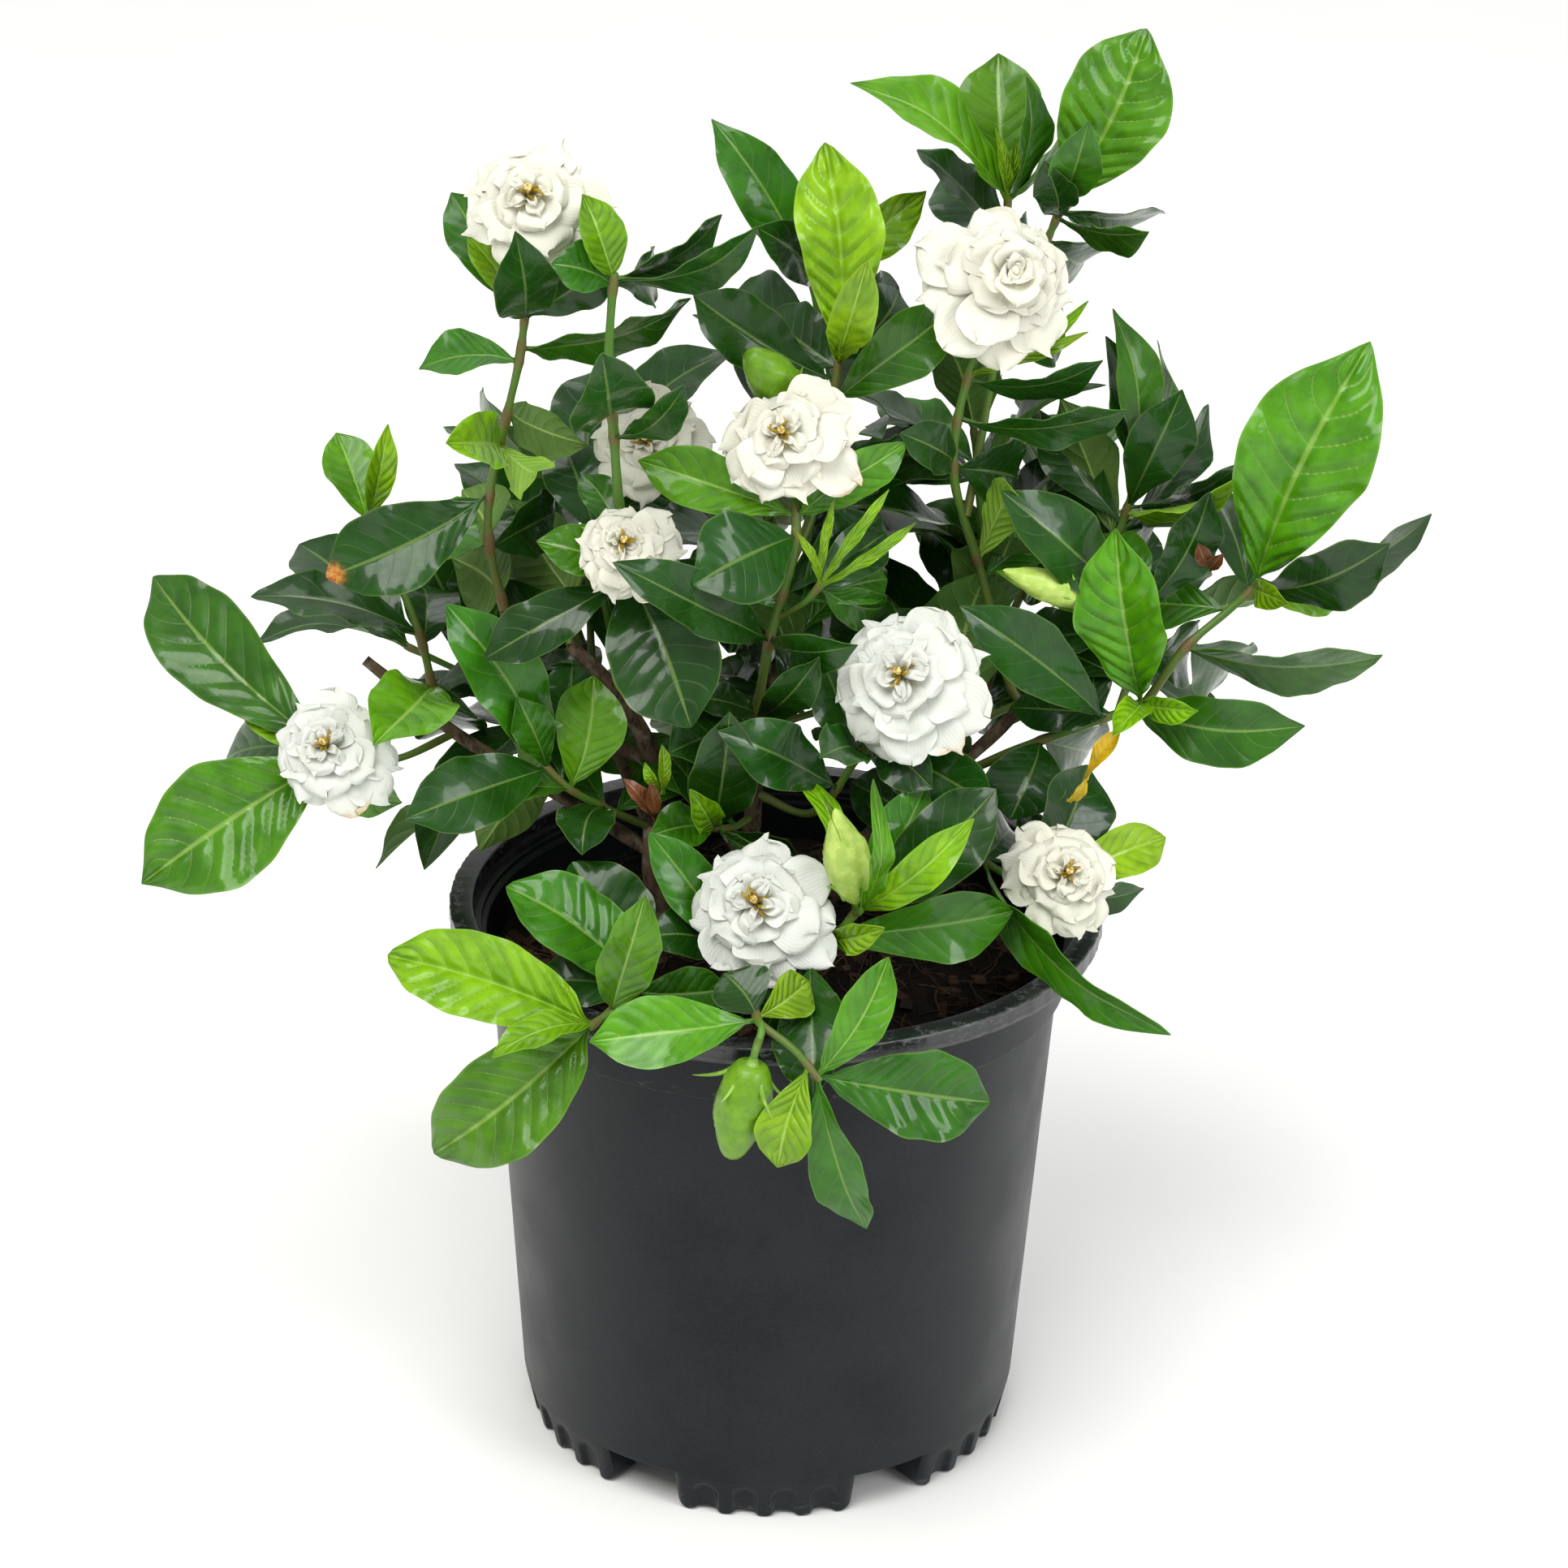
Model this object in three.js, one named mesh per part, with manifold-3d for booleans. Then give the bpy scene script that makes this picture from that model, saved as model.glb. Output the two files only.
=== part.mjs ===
// Potted gardenia: a double white gardenia bush in a black nursery pot.
// Millimetres, +Z up. The origin is on the pot's axis, at the ground the six feet stand on;
// the front of the plant looks along -Y. Nothing moves, so every mesh belongs to one body.
import * as THREE from 'three';
import { mergeVertices } from 'three/addons/utils/BufferGeometryUtils.js';
import Module from 'manifold-3d';

const wasm = await Module();
wasm.setup();

// ---------------------------------------------------------------- driving dimensions
const POT = {
  height: 245,         // ground to the top of the rim
  rimRadius: 139.5,
  lipHeight: 8,
  flangeWidth: 10,     // flat top of the rim
  shoulderRadius: 125,  // band under the lip
  shoulderFoot: 212,   // height of the band's lower edge
  shoulderStep: 1.8,
  wallTop: 121.5,      // wall radius at the band, outside
  wallFoot: 109,       // wall radius above the feet
  footRadius: 104.6,
  footHeight: 20,
  footRing: 15,        // radial depth of a foot
  wall: 2.2,
  sides: 30,
};
const FEET = { count: 6, notchAngle: 18, flutes: 4, flutePitch: 9.2 };    // angles in degrees
// A flute is cut by a tapered post that stands this far out of the foot's face.
const FLUTE = { out: 8.2, low: 9.4, high: 7.4, height: 17, sides: 6 };
const SOIL = {
  top: 216, bottom: 30, clear: 0.8, mound: 5, edgeDrop: 4, rough: 4, rings: 2, sides: 18,
  rooted: 206,         // a stem that starts below this height stands in the soil
};
const HOLES = { count: 6, radius: 9, ring: 62, sides: 8 };    // drain holes in the floor
const LEAF_THICK = 0.8;
const GAP = 0.35;       // clear space between one node and the next
const HOLE_CLEAR = 1;    // clear space round a stem where it stands in the soil
const CLEAR = 0.75;    // half thickness of a leaf while it looks for room

// The plant is laid out on a drawing plane through the pot's axis. It leans back, and is seen
// from one eye point. A place is [across, up, depth]: across and up are read on the plane, in
// millimetres, and depth is the place's own y (negative is to the front).
const DRAWING = { eye: [2.6, -1695, 1068], distance: 1810, tilt: 24.43, roll: 1.07, centre: [3, 48] };

// ---------------------------------------------------------------- small helpers
const RAD = Math.PI / 180;
const vec = (x, y, z) => new THREE.Vector3(x, y, z);
const UP = vec(0, 0, 1);
const EYE = vec(...DRAWING.eye);
const AHEAD = vec(0, Math.cos(DRAWING.tilt * RAD), -Math.sin(DRAWING.tilt * RAD));
const LEVEL = vec(1, 0, 0);
const RISE = vec(0, -AHEAD.z, AHEAD.y);
const ROLL = DRAWING.roll * RAD;
const ACROSS = LEVEL.clone().multiplyScalar(Math.cos(ROLL)).addScaledVector(RISE, Math.sin(ROLL));
const TALL = RISE.clone().multiplyScalar(Math.cos(ROLL)).addScaledVector(LEVEL, -Math.sin(ROLL));

function place([across, up, depth]) {
  const ray = AHEAD.clone().multiplyScalar(DRAWING.distance)
    .addScaledVector(ACROSS, across - DRAWING.centre[0])
    .addScaledVector(TALL, up - DRAWING.centre[1]);
  return ray.multiplyScalar((depth - EYE.y) / ray.y).add(EYE);
}

// One repeatable stream of numbers from 0 to 1.
function draws(seed) {
  let state = seed;
  return () => {
    state = (state * 48271) % 2147483647;
    return state / 2147483647;
  };
}

// A plain closed surface: points, and triangles that name them.
function solidOf({ points, faces }) {
  const vertProperties = new Float32Array(points.flatMap((p) => [p.x, p.y, p.z]));
  const triVerts = new Uint32Array(faces.flat());
  return new wasm.Manifold(new wasm.Mesh({ numProp: 3, vertProperties, triVerts }));
}

function solidFromGeometry(geometry) {
  geometry.deleteAttribute('normal');
  geometry.deleteAttribute('uv');
  const merged = mergeVertices(geometry, 1e-4);
  const vertProperties = new Float32Array(merged.attributes.position.array);
  const triVerts = new Uint32Array(merged.index.array);
  return new wasm.Manifold(new wasm.Mesh({ numProp: 3, vertProperties, triVerts }));
}

function geometryOf(solid) {
  const mesh = solid.getMesh();
  const geometry = new THREE.BufferGeometry();
  geometry.setAttribute('position', new THREE.BufferAttribute(new Float32Array(mesh.vertProperties), 3));
  geometry.setIndex([...mesh.triVerts]);
  geometry.computeVertexNormals();
  return geometry;
}

const joined = (solids) => solids.reduce((whole, next) => whole.add(next));

const part = new THREE.Group();
part.name = 'potted_gardenia';
function node(name, solid, color, roughness) {
  const material = new THREE.MeshStandardMaterial({ color, roughness, metalness: 0 });
  const mesh = new THREE.Mesh(geometryOf(solid), material);
  mesh.name = name;
  part.add(mesh);
}

// ---------------------------------------------------------------- tubes: stems and branches
function tubeSurface(path, radiusStart, radiusEnd, sides) {
  const points = [];
  const faces = [];
  let side = null;
  path.forEach((point, i) => {
    const before = path[Math.max(i - 1, 0)];
    const after = path[Math.min(i + 1, path.length - 1)];
    const along = after.clone().sub(before).normalize();
    const reference = side ?? (Math.abs(along.z) > 0.9 ? vec(0, 1, 0) : UP);
    const across = reference.clone().cross(along).cross(along).negate().normalize();
    side = across.clone();
    const other = along.clone().cross(across);
    const radius = radiusStart + (radiusEnd - radiusStart) * (i / (path.length - 1));
    for (let k = 0; k < sides; k += 1) {
      const angle = (k / sides) * 2 * Math.PI;
      points.push(point.clone().addScaledVector(across, radius * Math.cos(angle))
        .addScaledVector(other, radius * Math.sin(angle)));
    }
  });
  for (let i = 0; i + 1 < path.length; i += 1) {
    for (let k = 0; k < sides; k += 1) {
      const a = i * sides + k;
      const b = i * sides + ((k + 1) % sides);
      faces.push([a, b, b + sides], [a, b + sides, a + sides]);
    }
  }
  const last = (path.length - 1) * sides;
  for (let k = 1; k + 1 < sides; k += 1) {
    faces.push([0, k + 1, k], [last, last + k, last + k + 1]);
  }
  return { points, faces };
}

// ---------------------------------------------------------------- leaves
// Half width along the blade, 1 at the widest place: a wedge at the foot, a short point.
const blade = (u) => (u ** 0.8 * (1 - u) ** 0.62) / 0.378;

// A blade runs from its foot to its tip, folded a little along the midrib, arched, with a waved
// margin. turn swings it about its midrib, away from facing the light (the way `facing` points).
function leafFrame(leaf) {
  const along = leaf.tip.clone().sub(leaf.foot);
  const length = along.length();
  along.normalize();
  let face = leaf.facing.clone().addScaledVector(along, -leaf.facing.dot(along));
  if (face.length() < 0.2) face = UP.clone().addScaledVector(along, -along.z);
  face.normalize();
  const side = along.clone().cross(face);
  const turn = leaf.turn * RAD;
  const normal = face.clone().multiplyScalar(Math.cos(turn)).addScaledVector(side, Math.sin(turn));
  return { along, length, normal, side: along.clone().cross(normal) };
}

// A thin closed sheet along a rib. It starts in a point (sunk in what it grows from), opens into a
// pair of points, then rows of left, middle and right; `tip` closes it, or the last row ends it.
function sheet(root, rows, tip, normal, thick) {
  const lift = normal.clone().multiplyScalar(thick / 2);
  const middle = [...rows.flat(), ...(tip ? [tip] : [])];
  const count = middle.length;
  const points = [...middle.map((p) => p.clone().add(lift)), ...middle.map((p) => p.clone().sub(lift)), root];
  const top = [[0, 1, 3], [0, 3, 2], [1, 4, 3]];
  const left = [0];
  const right = [1];
  for (let i = 1; i < rows.length; i += 1) {
    const a = 2 + 3 * (i - 1);
    left.push(a);
    right.push(a + 2);
    if (i + 1 < rows.length) {
      top.push([a, a + 1, a + 4], [a, a + 4, a + 3], [a + 1, a + 2, a + 5], [a + 1, a + 5, a + 4]);
    }
  }
  const last = left.at(-1);
  if (tip) top.push([last, last + 1, count - 1], [last + 1, last + 2, count - 1]);
  const rim = [...right, tip ? count - 1 : last + 1, ...left.reverse()];
  const base = 2 * count;
  const faces = [...top, ...top.map(([a, b, c]) => [a + count, c + count, b + count]),
    [base, 1, 0], [base, count, count + 1], [base, 0, count], [base, count + 1, 1]];
  for (let i = 0; i + 1 < rim.length; i += 1) {
    const [a, b] = [rim[i], rim[i + 1]];
    faces.push([a, a + count, b + count], [a, b + count, b]);
  }
  return { points, faces };
}

function leafSurface(leaf, thick) {
  const { along, length, normal, side } = leafFrame(leaf);
  const stations = leaf.large ? [0.18, 0.5, 0.82] : [0.26, 0.7];
  const fold = leaf.fold * RAD;
  const spine = (u) => leaf.foot.clone().addScaledVector(along, length * u)
    .addScaledVector(normal, leaf.arch * length * 4 * u * (1 - u));
  const rows = stations.map((u, i) => {
    const half = (leaf.width / 2) * blade(u);
    const wave = leaf.wave * leaf.width * (i % 2 ? 1 : -1);
    const rim = (sign) => spine(u).addScaledVector(side, sign * half * Math.cos(fold))
      .addScaledVector(normal, half * Math.sin(fold) + sign * wave);
    return i === 0 ? [rim(-1), rim(1)] : [rim(-1), spine(u), rim(1)];
  });
  return sheet(spine(0), rows, spine(1), normal, thick);
}

// ---------------------------------------------------------------- the plant, by hand
// Woody branches. A point is a place on the drawing plane, or a ground place { at: [x, y, z] }.
// Branches of one side are fused into one piece.
const WOOD = [
  { name: 'trunk_left', side: 'left', radius: [5.6, 2.6],
    path: [{ at: [-47, -10, 186] }, { at: [-50, -9, 240] }, [-51, 17, -10], [-51, 57, -10], [-66, 86, -6], [-85, 105, -4]] },
  { name: 'trunk_middle', side: 'middle', radius: [5.2, 2.7],
    path: [{ at: [-12, 2, 186] }, { at: [-13, -4, 245] }, [-10, 35, -18], [-9, 61, -24]] },
  { name: 'trunk_right', side: 'right', radius: [5, 2.5],
    path: [{ at: [14, 8, 186] }, { at: [18, 10, 240] }, [44, 32, 8], [75, 52, 6]] },
  { name: 'branch_left', side: 'left', radius: [3, 2.1],
    path: [[-51, 20, -10], [-90, 44, -4], [-132, 69, -2], [-158, 90, 0], [-169, 99, 2]] },
  { name: 'branch_top_left', side: 'left', radius: [2.6, 2],
    path: [[-51, 57, -10], [-70, 66, 2], [-90, 79, 4], [-106, 98, 4], [-112, 120, 2]] },
  { name: 'branch_back_left', side: 'left', radius: [3, 2.2],
    path: [[-51, 30, -10], { at: [-70, 32, 300] }, { at: [-85, 58, 335] }] },
  { name: 'branch_back', side: 'middle', radius: [3.2, 2.2],
    path: [[-10, 30, -18], { at: [-8, 36, 300] }, { at: [0, 66, 345] }] },
  { name: 'branch_back_right', side: 'right', radius: [3, 2.2],
    path: [[44, 32, 8], { at: [80, 36, 310] }, { at: [98, 60, 350] }] },
  { name: 'branch_side_right', side: 'right', radius: [2.8, 2.2],
    path: [[60, 43, 7], { at: [105, 32, 325] }, { at: [118, 34, 360] }] },
  { name: 'cut_stub', side: 'left', radius: [2.9, 2.8], path: [{ at: [-47, -10, 196] }, [-43, -29, -20]] },
];

// Leafy shoots: `from` names the piece a stem grows from and starts on that piece's axis.
// A leaf is [foot, tip, width, turn, age]; ages run d dark, m middle, b bright, l lime and
// o for an olive underside. `bloom` says what a stem ends in.
const SHOOTS = [
  { name: 'shoot_left_low', from: 'branch_left', radius: [2, 1.7], bloom: 'bloom_7',
    stem: [[-132, 69, -2], [-158, 58, -22], [-176, 60, -30]],
    leaves: [
      [[-199, 82, -34], [-257, 134, -28], 38, 0, 'm'],
      [[-200, 64, -37], [-222, 84, -62], 18, 10, 'l'],
      [[-199, 58, -38], [-261, 7, -58], 50, 5, 'b'],
      [[-197, 60, -34], [-225, 58, 14], 30, 20, 'm'],
      [[-190, 56, -38], [-155, 39, -72], 26, 45, 'b'],
    ] },
  { name: 'shoot_left_middle', from: 'branch_left', radius: [2.1, 1.6],
    stem: [[-139, 74, -1], [-142, 90, -2], [-146, 107, 0], [-156, 133, 4], [-169, 157, 6]],
    leaves: [
      [[-147, 110, 0], [-216, 125, -8], 29, 48, 'd'],
      [[-141, 88, -2], [-166, 63, -84], 34, 20, 'b'],
      [[-145, 105, 0], [-146, 132, 44], 27, 20, 'd'],
      [[-142, 92, -2], [-128, 70, 46], 30, 30, 'd'],
      [[-169, 157, 6], [-181, 192, 30], 23, 10, 'b'],
      [[-167, 156, 5], [-159, 194, -6], 13, 20, 'l'],
    ] },
  { name: 'shoot_top_left', from: 'branch_top_left', radius: [2.3, 1.7], bloom: 'bloom_1',
    stem: [[-112, 120, 2], [-118, 145, 0], [-118, 167, -4], [-110, 203, -8], [-105, 227, -10]],
    leaves: [
      [[-118, 166, -4], [-185, 133, -26], 36, 0, 'd'],
      [[-112, 186, -7], [-136, 188, -56], 25, 15, 'l'],
      [[-113, 186, -6], [-98, 176, -52], 22, 160, 'l'],
      [[-110, 200, -8], [-79, 187, 34], 22, 150, 'o'],
      [[-111, 197, -8], [-120, 196, 44], 26, 10, 'm'],
      [[-114, 120, 2], [-133, 141, 42], 34, 160, 'o'],
      [[-119, 150, 0], [-128, 168, 40], 28, 150, 'o'],
      [[-118, 146, 0], [-92, 160, 44], 28, 30, 'd'],
      [[-106, 222, -10], [-147, 219, -14], 26, 48, 'm'],
      [[-104, 228, -10], [-35, 247, 26], 28, 62, 'm'],
      [[-102, 238, -12], [-106, 272, -62], 26, 20, 'd'],
      [[-101, 240, -12], [-66, 268, -26], 22, 25, 'd'],
      [[-104, 240, -11], [-134, 292, 18], 24, 5, 'm'],
      [[-104, 238, -11], [-127, 273, -2], 15, 10, 'l'],
    ] },
  { name: 'shoot_upright', from: 'trunk_left', radius: [2.6, 2],
    stem: [[-66, 86, -6], [-60, 104, -18], [-59, 122, -24], [-62, 140, -28], [-65, 165, -32], [-67, 193, -34],
      [-69, 220, -32], [-67, 258, -30]],
    leaves: [
      [[-67, 256, -30], [-7, 273, -38], 27, 68, 'd'],
      [[-68, 258, -30], [-22, 281, -18], 26, 66, 'd'],
      [[-67, 257, -30], [-79, 290, -24], 20, 20, 'l'],
      [[-67, 254, -30], [-92, 262, 10], 22, 20, 'm'],
      [[-67, 252, -30], [-52, 258, 26], 24, 20, 'd'],
      [[-67, 200, -34], [-70, 221, -90], 34, 15, 'd'],
      [[-63, 144, -29], [-80, 176, -40], 16, 10, 'm'],
      [[-66, 190, -34], [-38, 212, -68], 18, 40, 'd'],
    ] },
  { name: 'shoot_centre_left', from: 'shoot_upright', radius: [2, 1.7], bloom: 'bloom_4',
    stem: [[-60, 128, -25], [-61, 138, -40]],
    leaves: [
      [[-60, 130, -30], [-121, 100, -52], 24, 15, 'd'],
      [[-61, 136, -38], [-98, 148, -78], 21, 10, 'b'],
      [[-60, 130, -30], [-35, 71, -72], 45, 5, 'd'],
    ] },
  { name: 'shoot_behind_upright', from: 'trunk_left', radius: [2, 1.7], bloom: 'bloom_5',
    stem: [[-85, 105, -4], [-84, 122, 10], [-76, 145, 16], [-66, 165, 16]],
    leaves: [
      [[-84, 124, 10], [-109, 164, 26], 30, 150, 'o'],
      [[-80, 138, 14], [-54, 143, 62], 30, 20, 'd'],
      [[-74, 150, 16], [-88, 190, 56], 28, 10, 'd'],
      [[-70, 158, 16], [-40, 180, 52], 28, 10, 'm'],
      [[-84, 122, 10], [-115, 116, 44], 30, 20, 'd'],
    ] },
  { name: 'shoot_centre', from: 'trunk_middle', radius: [2.5, 1.9], bloom: 'bloom_3',
    stem: [[-9, 61, -24], [-9, 73, -27], [-6, 90, -31], [-3, 107, -34], [2, 124, -35], [8, 150, -36]],
    leaves: [
      [[7, 150, -36], [-33, 131, -72], 38, 10, 'd'],
      [[8, 160, -36], [-57, 181, -30], 25, 5, 'b'],
      [[9, 160, -36], [54, 187, -46], 19, 20, 'b'],
      [[-4, 108, -34], [-67, 139, -84], 24, 20, 'd'],
      [[-3, 106, -34], [31, 103, -66], 21, 40, 'd'],
      [[-8, 76, -28], [-37, 84, -54], 14, 30, 'd'],
      [[-8, 75, -28], [17, 99, -62], 18, 20, 'd'],
      [[2, 126, -35], [28, 148, 10], 30, 20, 'd'],
      [[-9, 66, -26], [-45, 60, -64], 28, 20, 'd'],
    ] },
  { name: 'shoot_low_centre', from: 'trunk_middle', radius: [2, 1.6],
    stem: [[-10, 35, -18], [-18, 30, -34], [-28, 30, -44]],
    leaves: [
      [[-26, 30, -43], [-45, 60, -30], 14, 20, 'd'],
      [[-28, 30, -44], [-19, 76, -56], 28, 15, 'd'],
      [[-27, 30, -43], [-52, 27, -72], 20, 20, 'm'],
      [[-24, 30, -40], [10, 16, -76], 12, 50, 'm'],
      [[-28, 30, -44], [-34, 44, -62], 13, 10, 'l'],
      [[-20, 30, -36], [8, 18, -40], 22, 40, 'd'],
    ] },
  { name: 'shoot_centre_right', from: 'trunk_middle', radius: [2.1, 1.8], bloom: 'bloom_6',
    stem: [[-10, 45, -20], [14, 36, -34], [34, 60, -42], [44, 72, -48]],
    leaves: [
      [[36, 62, -43], [20, 96, -70], 24, 10, 'd'],
      [[34, 60, -42], [17, 58, -88], 22, 10, 'd'],
      [[40, 67, -45], [64, 46, -84], 22, 10, 'd'],
      [[40, 67, -45], [90, 38, -64], 27, 10, 'd'],
      [[24, 46, -38], [-21, 69, -66], 27, 10, 'd'],
      [[36, 62, -43], [62, 62, 6], 30, 20, 'd'],
    ] },
  { name: 'shoot_star', from: 'shoot_centre', radius: [1.6, 1.5],
    stem: [[0, 116, -34.5], [12, 123, -42], [19, 131, -44]],
    leaves: [
      [[18, 130, -44], [24, 166, -40], 4, 10, 'l'],
      [[19, 131, -44], [46, 168, -44], 5, 10, 'l'],
      [[19, 130, -44], [57, 155, -50], 5, 20, 'l'],
      [[19, 130, -44], [8, 152, -58], 4, 20, 'l'],
      [[17, 128, -43], [46, 120, -20], 18, 20, 'm'],
    ] },
  { name: 'shoot_high_middle', from: 'shoot_centre', radius: [2.3, 1.8],
    stem: [[4, 134, -35], [14, 158, -14], [20, 183, -4], [24, 210, 4], [26, 224, 8]],
    leaves: [
      [[26, 224, 8], [20, 311, 8], 38, 5, 'l'],
      [[26, 223, 8], [37, 259, -34], 20, 10, 'l'],
      [[24, 212, 4], [-34, 249, -24], 28, 10, 'd'],
      [[23, 206, 3], [74, 243, 14], 27, 5, 'm'],
      [[25, 220, 7], [52, 252, 46], 24, 10, 'd'],
      [[25, 218, 6], [-6, 240, 40], 28, 10, 'd'],
      [[20, 184, -4], [50, 184, 40], 32, 30, 'd'],
      [[19, 180, -5], [-16, 196, 32], 30, 30, 'd'],
      [[26, 222, 8], [30, 240, -20], 10, 30, 'l'],
    ] },
  { name: 'shoot_high_back', from: 'shoot_high_middle', radius: [1.9, 1.6],
    stem: [[24, 206, 3], [20, 226, 30], [14, 256, 40]],
    leaves: [
      [[15, 254, 40], [-26, 321, 46], 26, 10, 'm'],
      [[15, 255, 40], [62, 291, 52], 22, 20, 'l'],
      [[14, 256, 40], [-6, 276, -6], 22, 30, 'd'],
      [[14, 254, 40], [8, 282, 84], 28, 10, 'm'],
      [[18, 236, 34], [-20, 248, 70], 30, 20, 'd'],
      [[18, 236, 34], [50, 250, 74], 28, 20, 'd'],
    ] },
  { name: 'shoot_high_right', from: 'branch_side_right', radius: [2.3, 1.9], bloom: 'bloom_2',
    stem: [{ at: [105, 32, 325] }, [98, 84, 24], [84, 135, 16], [73, 173, 6], [74, 196, 0], [80, 219, -4]],
    leaves: [
      [[79, 214, -3], [134, 221, -18], 22, 66, 'd'],
      [[75, 198, 0], [144, 203, -20], 24, 60, 'd'],
      [[74, 180, 4], [52, 192, -26], 20, 20, 'd'],
      [[73, 178, 5], [98, 174, 46], 30, 20, 'd'],
      [[80, 216, -3], [128, 246, -30], 7, 20, 'l'],
      [[80, 216, -3], [127, 232, -32], 6, 20, 'l'],
      [[82, 140, 14], [98, 172, -10], 22, 165, 'l'],
    ] },
  { name: 'shoot_top_right', from: 'shoot_high_right', radius: [2.1, 1.7],
    stem: [[78, 158, 10], [84, 190, 26], [90, 225, 34], [94, 262, 34], [95, 290, 32]],
    leaves: [
      [[95, 290, 32], [91, 348, 60], 34, 5, 'b'],
      [[95, 286, 32], [35, 339, 22], 33, 58, 'b'],
      [[96, 288, 32], [124, 333, 52], 27, 72, 'b'],
      [[95, 288, 32], [104, 338, 36], 22, 60, 'm'],
      [[94, 268, 34], [57, 308, 46], 25, 55, 'd'],
      [[94, 272, 34], [68, 298, 82], 27, 10, 'd'],
      [[93, 262, 34], [104, 270, 86], 30, 10, 'd'],
      [[95, 290, 32], [91, 316, 16], 5, 20, 'l'],
      [[95, 290, 32], [98, 313, 22], 4, 20, 'l'],
      [[91, 232, 34], [72, 240, 76], 30, 20, 'd'],
      [[91, 232, 34], [118, 240, 74], 30, 20, 'd'],
    ] },
  { name: 'shoot_top_far_right', from: 'shoot_top_right', radius: [1.9, 1.6],
    stem: [[92, 244, 34], [106, 262, 30], [114, 278, 28], [119, 291, 28]],
    leaves: [
      [[119, 291, 28], [152, 358, 34], 44, 0, 'b'],
      [[118, 289, 28], [128, 318, -14], 21, 10, 'm'],
      [[117, 284, 28], [158, 284, 64], 24, 62, 'd'],
      [[116, 281, 28], [153, 275, 6], 24, 66, 'o'],
      [[115, 280, 28], [110, 304, -18], 17, 30, 'd'],
      [[112, 272, 29], [128, 262, 72], 26, 20, 'd'],
    ] },
  { name: 'shoot_right', from: 'trunk_right', radius: [2.4, 1.9],
    stem: [[75, 52, 6], [106, 65, 2], [132, 74, -4], [152, 82, -8]],
    leaves: [
      [[150, 84, -8], [138, 151, -18], 38, 5, 'b'],
      [[134, 76, -5], [75, 121, -28], 29, 10, 'd'],
      [[146, 80, -7], [216, 71, -34], 30, 15, 'm'],
      [[151, 82, -8], [173, 78, -28], 13, 20, 'l'],
      [[150, 82, -8], [139, 70, -50], 14, 20, 'l'],
      [[110, 66, 1], [96, 34, -26], 33, 5, 'd'],
      [[110, 66, 1], [128, 62, 50], 30, 20, 'd'],
    ] },
  { name: 'shoot_right_middle', from: 'shoot_right', radius: [2, 1.6],
    stem: [[140, 77, -5], [146, 96, 4], [150, 122, 10]],
    leaves: [
      [[149, 120, 10], [95, 168, -14], 31, 5, 'd'],
      [[148, 112, 8], [91, 136, -40], 13, 20, 'l'],
      [[150, 121, 10], [178, 168, 14], 25, 30, 'd'],
      [[147, 100, 5], [170, 104, 56], 30, 20, 'd'],
      [[150, 121, 10], [132, 152, 52], 28, 20, 'm'],
    ] },
  { name: 'shoot_far_right', from: 'branch_side_right', radius: [2.4, 1.8],
    stem: [{ at: [118, 34, 360] }, [120, 124, 34], [138, 146, 38], [145, 164, 40]],
    leaves: [
      [[144, 162, 40], [167, 209, 34], 28, 20, 'd'],
      [[145, 164, 40], [141, 243, 44], 24, 45, 'm'],
      [[144, 163, 40], [136, 232, 30], 24, 50, 'd'],
      [[143, 160, 39], [158, 230, 62], 26, 55, 'm'],
      [[145, 163, 40], [190, 180, 28], 25, 66, 'd'],
      [[144, 160, 39], [190, 171, 14], 22, 68, 'l'],
      [[140, 150, 38], [179, 203, 58], 25, 60, 'd'],
      [[138, 148, 38], [116, 206, 52], 26, 150, 'o'],
      [[130, 138, 37], [108, 166, 72], 32, 20, 'd'],
      [[130, 138, 37], [152, 140, 84], 32, 20, 'd'],
    ] },
  { name: 'shoot_side_right', from: 'shoot_right', radius: [2.4, 1.8],
    stem: [[152, 82, -8], [168, 104, 0], [184, 118, 6], [198, 130, 8]],
    leaves: [
      [[198, 130, 8], [243, 228, 2], 54, 0, 'b'],
      [[199, 129, 8], [269, 159, 6], 30, 60, 'd'],
      [[197, 128, 8], [252, 147, -30], 30, 35, 'd'],
      [[168, 104, 0], [249, 102, -18], 31, 58, 'm'],
      [[196, 128, 8], [236, 128, 34], 18, 30, 'l'],
      [[194, 126, 8], [178, 168, 40], 26, 20, 'd'],
      [[170, 106, 1], [188, 96, 48], 32, 20, 'd'],
      [[196, 128, 8], [210, 122, -34], 12, 20, 'l'],
    ] },
  { name: 'shoot_low_right', from: 'trunk_right', radius: [2.1, 1.7], bloom: 'bloom_9',
    stem: [[44, 32, 8], [72, 24, -14], [96, 10, -30], [112, 6, -40]],
    leaves: [
      [[86, 17, -22], [155, -58, -107], 24, 60, 'm'],
      [[112, 6, -40], [151, 4, -62], 17, 45, 'd'],
      [[112, 8, -38], [161, 26, -26], 22, 10, 'l'],
      [[108, 8, -37], [129, 56, -8], 34, 10, 'd'],
      [[106, 8, -36], [104, 40, -70], 17, 30, 'd'],
      [[86, 17, -22], [98, 30, 26], 30, 10, 'd'],
      [[80, 20, -18], [74, 14, -66], 26, 15, 'd'],
      [[108, 8, -36], [136, 8, 12], 30, 25, 'd'],
    ] },
  { name: 'shoot_front', ground: [-22, -26, 190], radius: [2.4, 1.8],
    stem: [{ at: [-22, -26, 190] }, { at: [-22, -32, 232] }, [-20, -26, -62], [10, -24, -84], [26, -12, -90], [34, -3, -90]],
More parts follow.
